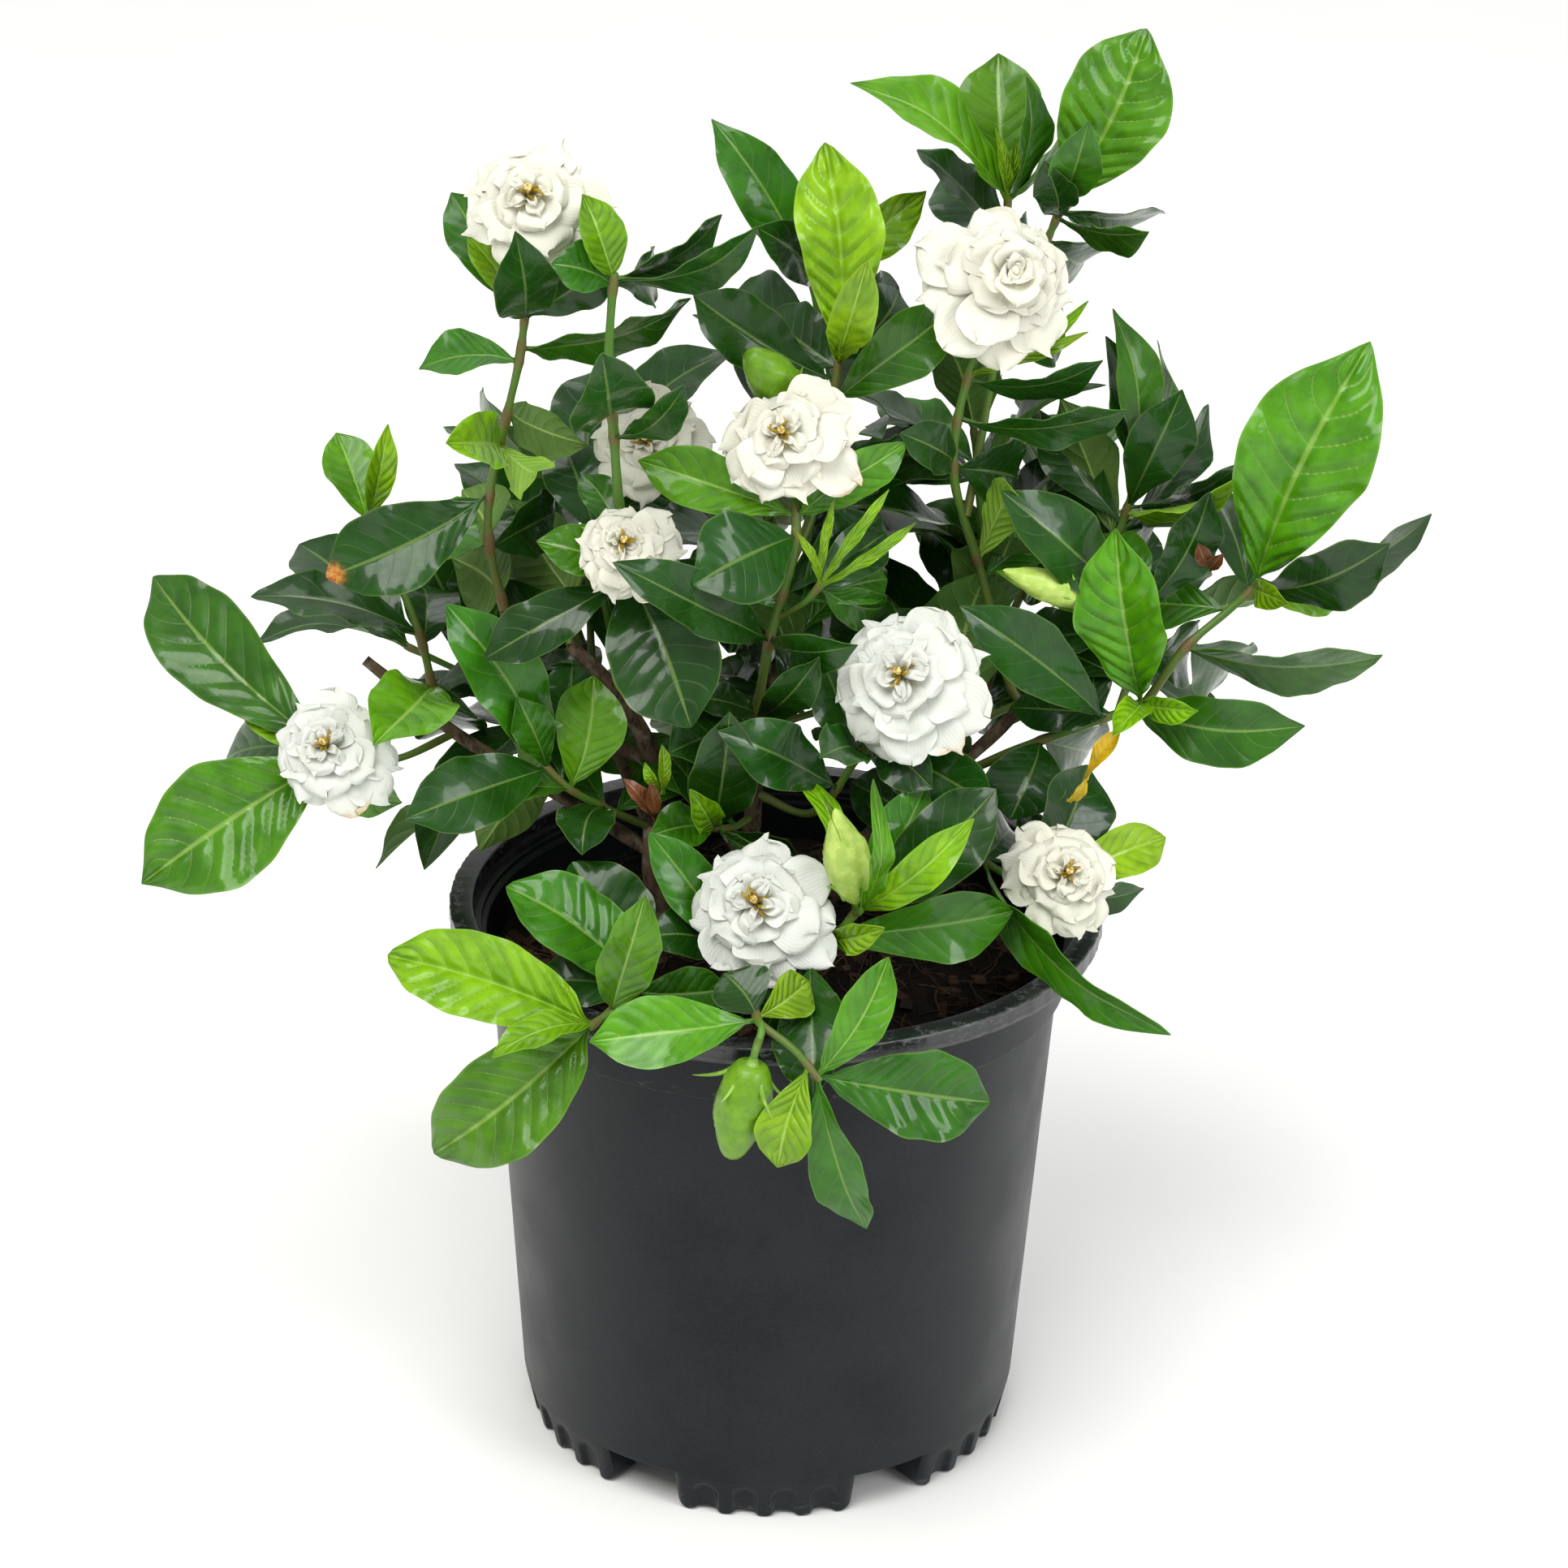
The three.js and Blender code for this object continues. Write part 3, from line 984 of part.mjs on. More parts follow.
function potSolid() {
  const lipFoot = POT.height - POT.lipHeight;
  const floorTop = POT.footHeight + POT.wall;
  const innerFoot = POT.footRadius - POT.footRing;
  const outline = [
    [0, POT.footHeight], [innerFoot, POT.footHeight], [innerFoot + 1.5, 0], [POT.footRadius - 3, 0],
    [POT.footRadius, 2.5], [POT.wallFoot, POT.footHeight + 1], [POT.wallTop, POT.shoulderFoot],
    [POT.wallTop + POT.shoulderStep, POT.shoulderFoot + 1], [POT.shoulderRadius, lipFoot],
    [POT.rimRadius - 1, lipFoot], [POT.rimRadius, lipFoot + 1], [POT.rimRadius, POT.height - 1.5],
    [POT.rimRadius - 1.5, POT.height], [POT.rimRadius - POT.flangeWidth, POT.height],
    [POT.shoulderRadius - POT.wall + 1, POT.height - 4], [POT.shoulderRadius - POT.wall, lipFoot - 2],
    [POT.wallTop - POT.wall, POT.shoulderFoot - 1], [POT.wallFoot - POT.wall, floorTop], [0, floorTop],
  ];
  let pot = solidFromGeometry(lathe(outline, POT.sides));
  const cuts = [];
  for (let i = 0; i < FEET.count; i += 1) {
    const middle = (i / FEET.count) * 360 - 90;
    const gap = (middle + 180 / FEET.count) * RAD;
    const width = 2 * POT.footRadius * Math.sin((FEET.notchAngle / 2) * RAD);
    const notch = new THREE.BoxGeometry(3 * POT.footRing, width, POT.footHeight);
    notch.translate(POT.footRadius, 0, POT.footHeight / 2 - GAP);
    notch.rotateZ(gap);
    cuts.push(solidFromGeometry(notch));
    for (let k = 0; k < FEET.flutes; k += 1) {
      const angle = (middle + (k - (FEET.flutes - 1) / 2) * FEET.flutePitch) * RAD;
      const far = POT.footRadius + FLUTE.out;
      const foot = vec(far * Math.cos(angle), far * Math.sin(angle), -1);
      cuts.push(solidOf(ringSurface(foot, UP, [[FLUTE.low, 0], [FLUTE.high, FLUTE.height]], FLUTE.sides)));
    }
  }
  for (let i = 0; i < HOLES.count; i += 1) {
    const angle = (i / HOLES.count) * 2 * Math.PI;
    const foot = vec(HOLES.ring * Math.cos(angle), HOLES.ring * Math.sin(angle), POT.footHeight - POT.wall);
    cuts.push(solidOf(ringSurface(foot, UP, [[HOLES.radius, 0], [HOLES.radius, 3 * POT.wall]], HOLES.sides)));
  }
  for (const cut of cuts) pot = pot.subtract(cut);
  return pot;
}

// ---------------------------------------------------------------- soil
function soilSolid() {
  const random = draws(977);
  const points = [];
  const faces = [];
  const outer = (z) => Math.min(wallRadius(z), POT.wallTop) - POT.wall - SOIL.clear;
  const ring = (radius, height) => {
    for (let k = 0; k < SOIL.sides; k += 1) {
      const angle = (k / SOIL.sides) * 2 * Math.PI;
      points.push(vec(radius * Math.cos(angle), radius * Math.sin(angle), height(k)));
    }
  };
  ring(outer(SOIL.bottom), () => SOIL.bottom);
  ring(outer(SOIL.top) - SOIL.clear, () => SOIL.top - SOIL.edgeDrop);
  for (let i = 1; i <= SOIL.rings; i += 1) {
    const share = 1 - i / (SOIL.rings + 1);
    ring(outer(SOIL.top) * share, () => SOIL.top + SOIL.mound * (1 - share) + (random() - 0.5) * SOIL.rough);
  }
  const n = SOIL.sides;
  const rings = points.length / n;
  for (let i = 0; i + 1 < rings; i += 1) {
    for (let k = 0; k < n; k += 1) {
      const a = i * n + k;
      const b = i * n + ((k + 1) % n);
      faces.push([a, b, b + n], [a, b + n, a + n]);
    }
  }
  points.push(vec(0, 0, SOIL.bottom), vec(0, 0, SOIL.top + SOIL.mound));
  for (let k = 0; k < n; k += 1) {
    const next = (k + 1) % n;
    faces.push([next, k, points.length - 2], [(rings - 1) * n + k, (rings - 1) * n + next, points.length - 1]);
  }
  let soil = solidOf({ points, faces });
  for (const stem of stems.values()) {
    if (stem.path[0].z > SOIL.rooted) continue;
    soil = soil.subtract(swollen(stem, HOLE_CLEAR));
  }
  return soil;
}

node('pot', potSolid(), 0x2f3136, 0.55);
node('soil', soilSolid(), 0x33231a, 1);

export default part;
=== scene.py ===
"""A potted gardenia: glossy quilted leaves, double white blooms and scrolled buds on woody
branches, in a black moulded nursery pot. It dresses the packed model, which is the frame."""

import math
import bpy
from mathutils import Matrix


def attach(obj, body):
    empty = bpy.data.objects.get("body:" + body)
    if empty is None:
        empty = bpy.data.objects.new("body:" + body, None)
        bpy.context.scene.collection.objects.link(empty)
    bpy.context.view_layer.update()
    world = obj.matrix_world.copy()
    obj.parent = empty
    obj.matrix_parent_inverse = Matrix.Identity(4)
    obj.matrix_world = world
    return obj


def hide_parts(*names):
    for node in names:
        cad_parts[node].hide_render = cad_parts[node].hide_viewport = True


bl_info = {
    "name": "Potted Gardenia",
    "version": (1, 0, 0),
    "blender": (4, 5, 0),
    "location": "View3D > Sidebar > Gardenia",
    "description": "Builds a gardenia's leaves, blooms, buds, branches, soil and pot over its packed model",
    "category": "Object",
}

from itertools import product

import bpy
import numpy as np
from bpy.props import FloatProperty, FloatVectorProperty, IntProperty, PointerProperty
from mathutils import Euler, Matrix, Vector

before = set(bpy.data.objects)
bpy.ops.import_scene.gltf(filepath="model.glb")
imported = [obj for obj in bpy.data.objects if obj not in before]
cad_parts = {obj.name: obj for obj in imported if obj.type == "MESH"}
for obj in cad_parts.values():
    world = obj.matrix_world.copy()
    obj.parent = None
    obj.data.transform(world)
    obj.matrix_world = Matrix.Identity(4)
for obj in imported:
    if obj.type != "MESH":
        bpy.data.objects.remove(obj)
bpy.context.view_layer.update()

MM = 0.001
RAD = math.pi / 180


def linear(code):
    """An sRGB hex value as linear red, green, blue and 1."""
    parts = [int(code[i:i + 2], 16) / 255 for i in (1, 3, 5)]
    return tuple(c / 12.92 if c <= 0.04045 else ((c + 0.055) / 1.055) ** 2.4 for c in parts) + (1.0,)


# ---------------- the plant's layout
# The plant is laid out as its packed model is: on a drawing plane through the pot's axis that
# leans back, seen from one eye point. A place is (across, up, depth) in millimetres; depth is
# the place's own y. at(x, y, z) is a place on the ground's own axes.
def vec(x, y, z):
    return np.array((x, y, z), float)


def unit(v):
    return v / np.linalg.norm(v)


def at(x, y, z):
    return ("at", x, y, z)


UP = vec(0, 0, 1)
LEVEL = vec(1, 0, 0)
EYE = vec(2.6, -1695, 1068)
TILT = 24.43 * RAD
ROLL = 1.07 * RAD
DISTANCE = 1810
CENTRE = (3, 48)
AHEAD = vec(0, math.cos(TILT), -math.sin(TILT))
RISE = vec(0, math.sin(TILT), math.cos(TILT))
ACROSS = LEVEL * math.cos(ROLL) + RISE * math.sin(ROLL)
TALL = RISE * math.cos(ROLL) - LEVEL * math.sin(ROLL)


def place(p):
    """Where the ray from the eye through (across, up) reaches the depth."""
    ray = AHEAD * DISTANCE + ACROSS * (p[0] - CENTRE[0]) + TALL * (p[1] - CENTRE[1])
    return EYE + ray * ((p[2] - EYE[1]) / ray[1])


def spot(p):
    """A place given either way, on the ground's own axes."""
    return vec(*p[1:]) if p[0] == "at" else place(p)


# Woody branches: name, side, radii at both ends, path.
WOOD = [
    ("trunk_left", "left", (5.6, 2.6),
     [at(-47, -10, 186), at(-50, -9, 240), (-51, 17, -10), (-51, 57, -10), (-66, 86, -6), (-85, 105, -4)]),
    ("trunk_middle", "middle", (5.2, 2.7),
     [at(-12, 2, 186), at(-13, -4, 245), (-10, 35, -18), (-9, 61, -24)]),
    ("trunk_right", "right", (5, 2.5),
     [at(14, 8, 186), at(18, 10, 240), (44, 32, 8), (75, 52, 6)]),
    ("branch_left", "left", (3, 2.1),
     [(-51, 20, -10), (-90, 44, -4), (-132, 69, -2), (-158, 90, 0), (-169, 99, 2)]),
    ("branch_top_left", "left", (2.6, 2),
     [(-51, 57, -10), (-70, 66, 2), (-90, 79, 4), (-106, 98, 4), (-112, 120, 2)]),
    ("branch_back_left", "left", (3, 2.2),
     [(-51, 30, -10), at(-70, 32, 300), at(-85, 58, 335)]),
    ("branch_back", "middle", (3.2, 2.2),
     [(-10, 30, -18), at(-8, 36, 300), at(0, 66, 345)]),
    ("branch_back_right", "right", (3, 2.2),
     [(44, 32, 8), at(80, 36, 310), at(98, 60, 350)]),
    ("branch_side_right", "right", (2.8, 2.2),
     [(60, 43, 7), at(105, 32, 325), at(118, 34, 360)]),
    ("cut_stub", "left", (2.9, 2.8),
     [at(-47, -10, 196), (-43, -29, -20)]),
]
# Leafy shoots: name, the stem it springs from, radii at both ends, its flower, path, and leaves as
# root (across, up, depth), tip (the same), width, turn and age.
SHOOTS = [
    ("shoot_left_low", "branch_left", (2, 1.7), "bloom_7",
     [(-132, 69, -2), (-158, 58, -22), (-176, 60, -30)],
     [(-199, 82, -34, -257, 134, -28, 38, 0, "m"), (-200, 64, -37, -222, 84, -62, 18, 10, "l"),
      (-199, 58, -38, -261, 7, -58, 50, 5, "b"), (-197, 60, -34, -225, 58, 14, 30, 20, "m"),
      (-190, 56, -38, -155, 39, -72, 26, 45, "b")]),
    ("shoot_left_middle", "branch_left", (2.1, 1.6), None,
     [(-139, 74, -1), (-142, 90, -2), (-146, 107, 0), (-156, 133, 4), (-169, 157, 6)],
     [(-147, 110, 0, -216, 125, -8, 29, 48, "d"), (-141, 88, -2, -166, 63, -84, 34, 20, "b"),
      (-145, 105, 0, -146, 132, 44, 27, 20, "d"), (-142, 92, -2, -128, 70, 46, 30, 30, "d"),
      (-169, 157, 6, -181, 192, 30, 23, 10, "b"), (-167, 156, 5, -159, 194, -6, 13, 20, "l")]),
    ("shoot_top_left", "branch_top_left", (2.3, 1.7), "bloom_1",
     [(-112, 120, 2), (-118, 145, 0), (-118, 167, -4), (-110, 203, -8), (-105, 227, -10)],
     [(-118, 166, -4, -185, 133, -26, 36, 0, "d"), (-112, 186, -7, -136, 188, -56, 25, 15, "l"),
      (-113, 186, -6, -98, 176, -52, 22, 160, "l"), (-110, 200, -8, -79, 187, 34, 22, 150, "o"),
      (-111, 197, -8, -120, 196, 44, 26, 10, "m"), (-114, 120, 2, -133, 141, 42, 34, 160, "o"),
      (-119, 150, 0, -128, 168, 40, 28, 150, "o"), (-118, 146, 0, -92, 160, 44, 28, 30, "d"),
      (-106, 222, -10, -147, 219, -14, 26, 48, "m"), (-104, 228, -10, -35, 247, 26, 28, 62, "m"),
      (-102, 238, -12, -106, 272, -62, 26, 20, "d"), (-101, 240, -12, -66, 268, -26, 22, 25, "d"),
      (-104, 240, -11, -134, 292, 18, 24, 5, "m"), (-104, 238, -11, -127, 273, -2, 15, 10, "l")]),
    ("shoot_upright", "trunk_left", (2.6, 2), None,
     [(-66, 86, -6), (-60, 104, -18), (-59, 122, -24), (-62, 140, -28), (-65, 165, -32), (-67, 193, -34),
      (-69, 220, -32), (-67, 258, -30)],
     [(-67, 256, -30, -7, 273, -38, 27, 68, "d"), (-68, 258, -30, -22, 281, -18, 26, 66, "d"),
      (-67, 257, -30, -79, 290, -24, 20, 20, "l"), (-67, 254, -30, -92, 262, 10, 22, 20, "m"),
      (-67, 252, -30, -52, 258, 26, 24, 20, "d"), (-67, 200, -34, -70, 221, -90, 34, 15, "d"),
      (-63, 144, -29, -80, 176, -40, 16, 10, "m"), (-66, 190, -34, -38, 212, -68, 18, 40, "d")]),
    ("shoot_centre_left", "shoot_upright", (2, 1.7), "bloom_4",
     [(-60, 128, -25), (-61, 138, -40)],
     [(-60, 130, -30, -121, 100, -52, 24, 15, "d"), (-61, 136, -38, -98, 148, -78, 21, 10, "b"),
      (-60, 130, -30, -35, 71, -72, 45, 5, "d")]),
    ("shoot_behind_upright", "trunk_left", (2, 1.7), "bloom_5",
     [(-85, 105, -4), (-84, 122, 10), (-76, 145, 16), (-66, 165, 16)],
     [(-84, 124, 10, -109, 164, 26, 30, 150, "o"), (-80, 138, 14, -54, 143, 62, 30, 20, "d"),
      (-74, 150, 16, -88, 190, 56, 28, 10, "d"), (-70, 158, 16, -40, 180, 52, 28, 10, "m"),
      (-84, 122, 10, -115, 116, 44, 30, 20, "d")]),
    ("shoot_centre", "trunk_middle", (2.5, 1.9), "bloom_3",
     [(-9, 61, -24), (-9, 73, -27), (-6, 90, -31), (-3, 107, -34), (2, 124, -35), (8, 150, -36)],
     [(7, 150, -36, -33, 131, -72, 38, 10, "d"), (8, 160, -36, -57, 181, -30, 25, 5, "b"),
      (9, 160, -36, 54, 187, -46, 19, 20, "b"), (-4, 108, -34, -67, 139, -84, 24, 20, "d"),
      (-3, 106, -34, 31, 103, -66, 21, 40, "d"), (-8, 76, -28, -37, 84, -54, 14, 30, "d"),
      (-8, 75, -28, 17, 99, -62, 18, 20, "d"), (2, 126, -35, 28, 148, 10, 30, 20, "d"),
      (-9, 66, -26, -45, 60, -64, 28, 20, "d")]),
    ("shoot_low_centre", "trunk_middle", (2, 1.6), None,
     [(-10, 35, -18), (-18, 30, -34), (-28, 30, -44)],
     [(-26, 30, -43, -45, 60, -30, 14, 20, "d"), (-28, 30, -44, -19, 76, -56, 28, 15, "d"),
      (-27, 30, -43, -52, 27, -72, 20, 20, "m"), (-24, 30, -40, 10, 16, -76, 12, 50, "m"),
      (-28, 30, -44, -34, 44, -62, 13, 10, "l"), (-20, 30, -36, 8, 18, -40, 22, 40, "d")]),
    ("shoot_centre_right", "trunk_middle", (2.1, 1.8), "bloom_6",
     [(-10, 45, -20), (14, 36, -34), (34, 60, -42), (44, 72, -48)],
     [(36, 62, -43, 20, 96, -70, 24, 10, "d"), (34, 60, -42, 17, 58, -88, 22, 10, "d"),
      (40, 67, -45, 64, 46, -84, 22, 10, "d"), (40, 67, -45, 90, 38, -64, 27, 10, "d"),
      (24, 46, -38, -21, 69, -66, 27, 10, "d"), (36, 62, -43, 62, 62, 6, 30, 20, "d")]),
    ("shoot_star", "shoot_centre", (1.6, 1.5), None,
     [(0, 116, -34.5), (12, 123, -42), (19, 131, -44)],
     [(18, 130, -44, 24, 166, -40, 4, 10, "l"), (19, 131, -44, 46, 168, -44, 5, 10, "l"),
      (19, 130, -44, 57, 155, -50, 5, 20, "l"), (19, 130, -44, 8, 152, -58, 4, 20, "l"),
      (17, 128, -43, 46, 120, -20, 18, 20, "m")]),
    ("shoot_high_middle", "shoot_centre", (2.3, 1.8), None,
     [(4, 134, -35), (14, 158, -14), (20, 183, -4), (24, 210, 4), (26, 224, 8)],
     [(26, 224, 8, 20, 311, 8, 38, 5, "l"), (26, 223, 8, 37, 259, -34, 20, 10, "l"),
      (24, 212, 4, -34, 249, -24, 28, 10, "d"), (23, 206, 3, 74, 243, 14, 27, 5, "m"),
      (25, 220, 7, 52, 252, 46, 24, 10, "d"), (25, 218, 6, -6, 240, 40, 28, 10, "d"),
      (20, 184, -4, 50, 184, 40, 32, 30, "d"), (19, 180, -5, -16, 196, 32, 30, 30, "d"),
      (26, 222, 8, 30, 240, -20, 10, 30, "l")]),
    ("shoot_high_back", "shoot_high_middle", (1.9, 1.6), None,
     [(24, 206, 3), (20, 226, 30), (14, 256, 40)],
     [(15, 254, 40, -26, 321, 46, 26, 10, "m"), (15, 255, 40, 62, 291, 52, 22, 20, "l"),
      (14, 256, 40, -6, 276, -6, 22, 30, "d"), (14, 254, 40, 8, 282, 84, 28, 10, "m"),
      (18, 236, 34, -20, 248, 70, 30, 20, "d"), (18, 236, 34, 50, 250, 74, 28, 20, "d")]),
    ("shoot_high_right", "branch_side_right", (2.3, 1.9), "bloom_2",
     [at(105, 32, 325), (98, 84, 24), (84, 135, 16), (73, 173, 6), (74, 196, 0), (80, 219, -4)],
     [(79, 214, -3, 134, 221, -18, 22, 66, "d"), (75, 198, 0, 144, 203, -20, 24, 60, "d"),
      (74, 180, 4, 52, 192, -26, 20, 20, "d"), (73, 178, 5, 98, 174, 46, 30, 20, "d"),
      (80, 216, -3, 128, 246, -30, 7, 20, "l"), (80, 216, -3, 127, 232, -32, 6, 20, "l"),
      (82, 140, 14, 98, 172, -10, 22, 165, "l")]),
    ("shoot_top_right", "shoot_high_right", (2.1, 1.7), None,
     [(78, 158, 10), (84, 190, 26), (90, 225, 34), (94, 262, 34), (95, 290, 32)],
     [(95, 290, 32, 91, 348, 60, 34, 5, "b"), (95, 286, 32, 35, 339, 22, 33, 58, "b"),
      (96, 288, 32, 124, 333, 52, 27, 72, "b"), (95, 288, 32, 104, 338, 36, 22, 60, "m"),
      (94, 268, 34, 57, 308, 46, 25, 55, "d"), (94, 272, 34, 68, 298, 82, 27, 10, "d"),
      (93, 262, 34, 104, 270, 86, 30, 10, "d"), (95, 290, 32, 91, 316, 16, 5, 20, "l"),
      (95, 290, 32, 98, 313, 22, 4, 20, "l"), (91, 232, 34, 72, 240, 76, 30, 20, "d"),
      (91, 232, 34, 118, 240, 74, 30, 20, "d")]),
    ("shoot_top_far_right", "shoot_top_right", (1.9, 1.6), None,
     [(92, 244, 34), (106, 262, 30), (114, 278, 28), (119, 291, 28)],
     [(119, 291, 28, 152, 358, 34, 44, 0, "b"), (118, 289, 28, 128, 318, -14, 21, 10, "m"),
      (117, 284, 28, 158, 284, 64, 24, 62, "d"), (116, 281, 28, 153, 275, 6, 24, 66, "o"),
      (115, 280, 28, 110, 304, -18, 17, 30, "d"), (112, 272, 29, 128, 262, 72, 26, 20, "d")]),
    ("shoot_right", "trunk_right", (2.4, 1.9), None,
     [(75, 52, 6), (106, 65, 2), (132, 74, -4), (152, 82, -8)],
     [(150, 84, -8, 138, 151, -18, 38, 5, "b"), (134, 76, -5, 75, 121, -28, 29, 10, "d"),
      (146, 80, -7, 216, 71, -34, 30, 15, "m"), (151, 82, -8, 173, 78, -28, 13, 20, "l"),
      (150, 82, -8, 139, 70, -50, 14, 20, "l"), (110, 66, 1, 96, 34, -26, 33, 5, "d"),
      (110, 66, 1, 128, 62, 50, 30, 20, "d")]),
    ("shoot_right_middle", "shoot_right", (2, 1.6), None,
     [(140, 77, -5), (146, 96, 4), (150, 122, 10)],
     [(149, 120, 10, 95, 168, -14, 31, 5, "d"), (148, 112, 8, 91, 136, -40, 13, 20, "l"),
      (150, 121, 10, 178, 168, 14, 25, 30, "d"), (147, 100, 5, 170, 104, 56, 30, 20, "d"),
      (150, 121, 10, 132, 152, 52, 28, 20, "m")]),
    ("shoot_far_right", "branch_side_right", (2.4, 1.8), None,
     [at(118, 34, 360), (120, 124, 34), (138, 146, 38), (145, 164, 40)],
     [(144, 162, 40, 167, 209, 34, 28, 20, "d"), (145, 164, 40, 141, 243, 44, 24, 45, "m"),
      (144, 163, 40, 136, 232, 30, 24, 50, "d"), (143, 160, 39, 158, 230, 62, 26, 55, "m"),
      (145, 163, 40, 190, 180, 28, 25, 66, "d"), (144, 160, 39, 190, 171, 14, 22, 68, "l"),
      (140, 150, 38, 179, 203, 58, 25, 60, "d"), (138, 148, 38, 116, 206, 52, 26, 150, "o"),
      (130, 138, 37, 108, 166, 72, 32, 20, "d"), (130, 138, 37, 152, 140, 84, 32, 20, "d")]),
    ("shoot_side_right", "shoot_right", (2.4, 1.8), None,
     [(152, 82, -8), (168, 104, 0), (184, 118, 6), (198, 130, 8)],
     [(198, 130, 8, 243, 228, 2, 54, 0, "b"), (199, 129, 8, 269, 159, 6, 30, 60, "d"),
      (197, 128, 8, 252, 147, -30, 30, 35, "d"), (168, 104, 0, 249, 102, -18, 31, 58, "m"),
      (196, 128, 8, 236, 128, 34, 18, 30, "l"), (194, 126, 8, 178, 168, 40, 26, 20, "d"),
      (170, 106, 1, 188, 96, 48, 32, 20, "d"), (196, 128, 8, 210, 122, -34, 12, 20, "l")]),
    ("shoot_low_right", "trunk_right", (2.1, 1.7), "bloom_9",
     [(44, 32, 8), (72, 24, -14), (96, 10, -30), (112, 6, -40)],
     [(86, 17, -22, 155, -58, -107, 24, 60, "m"), (112, 6, -40, 151, 4, -62, 17, 45, "d"),
      (112, 8, -38, 161, 26, -26, 22, 10, "l"), (108, 8, -37, 129, 56, -8, 34, 10, "d"),
      (106, 8, -36, 104, 40, -70, 17, 30, "d"), (86, 17, -22, 98, 30, 26, 30, 10, "d"),
      (80, 20, -18, 74, 14, -66, 26, 15, "d"), (108, 8, -36, 136, 8, 12, 30, 25, "d")]),
    ("shoot_front", None, (2.4, 1.8), None,
     [at(-22, -26, 190), at(-22, -32, 232), (-20, -26, -62), (10, -24, -84), (26, -12, -90), (34, -3, -90)],
     [(24, -14, -89, 97, -4, -72, 30, 20, "m"), (34, -4, -90, 61, 47, -84, 23, 10, "m"),
      (34, -4, -90, 80, 32, -104, 18, 10, "l"), (34, -5, -89, 90, 46, -60, 31, 5, "d"),
      (22, -16, -88, 43, -12, -116, 13, 20, "l"), (34, -3, -90, 13, 59, -92, 20, 10, "l"),
      (33, -4, -90, 22, 40, -112, 14, 20, "l"), (34, -3, -90, 45, 38, -106, 12, 20, "l"),
      (-14, -26, -66, -30, -12, -30, 28, 20, "d")]),
    ("shoot_low_front", "shoot_front", (2, 1.7), "bloom_8",
     [(-20, -26, -62), (-18, -22, -76), (-14, -12, -86)],
     [(-17, -20, -79, -52, 28, -88, 23, 10, "m"), (-18, -22, -77, -54, -14, -100, 24, 30, "d"),
      (-17, -19, -80, 12, -30, -108, 26, 30, "d")]),
    ("shoot_curled", "shoot_front", (1.8, 1.6), None,
     [(6, -24, -81), (12, -25, -100), (14, -26, -110)],
     [(14, -26, -110, 15, -81, -170, 29, 10, "d"), (13, -26, -106, -5, -54, -124, 18, 10, "d")]),
    ("shoot_over_rim", None, (2.3, 1.8), None,
     [at(-6, -44, 190), at(-7, -70, 232), at(-7, -112, 258), (-8, -49, -142), (-6, -52, -149),
      (-8, -60, -154)],
     [(-8, -50, -144, -77, -58, -150, 29, 10, "b"), (-7, -48, -140, 13, -33, -110, 20, 10, "l"),
      (-7, -47, -138, -22, -30, -100, 26, 20, "d")]),
    ("shoot_front_low", "shoot_over_rim", (1.9, 1.6), None,
     [(-6, -51, -147), (8, -62, -155), (18, -74, -159)],
     [(18, -74, -159, 88, -83, -148, 35, 10, "m"), (17, -73, -159, 36, -136, -156, 24, 30, "m"),
      (13, -68, -157, 0, -110, -170, 24, 5, "l"), (17, -72, -159, 46, -23, -150, 20, 10, "b")]),
    ("shoot_low_left", None, (2.4, 1.8), None,
     [at(-52, -34, 190), at(-54, -52, 232), (-56, -36, -100), (-77, -52, -126)],
     [(-77, -52, -126, -160, -22, -112, 37, 5, "l"), (-76, -52, -126, -142, -105, -132, 42, 0, "b"),
      (-75, -51, -125, -117, -64, -150, 15, 35, "l"), (-68, -46, -116, -54, 2, -124, 24, 20, "b"),
      (-56, -36, -100, -101, -33, -96, 24, 25, "d"), (-56, -32, -88, -109, 7, -92, 35, 5, "b"),
      (-55, -28, -76, -84, 16, -58, 40, 10, "d"), (-58, -37, -102, -20, -36, -112, 24, 20, "m")]),
    ("shoot_low_middle_left", "trunk_left", (2, 1.7), None,
     [(-51, 30, -10), (-70, 38, -26), (-85, 46, -34), (-96, 56, -36)],
     [(-94, 54, -36, -107, 84, -46, 18, 10, "m"), (-84, 45, -34, -75, 92, -30, 29, 5, "b"),
      (-95, 55, -36, -113, 92, -10, 16, 20, "l"), (-84, 45, -34, -135, 45, -56, 20, 40, "o"),
      (-95, 55, -36, -152, 34, -74, 30, 10, "d"), (-90, 50, -35, -122, 22, -20, 28, 150, "o"),
      (-72, 39, -27, -80, 20, -70, 24, 20, "d"), (-96, 56, -36, -136, 122, -44, 30, 10, "m"),
      (-94, 54, -35, -112, 82, 14, 22, 150, "o")]),
]
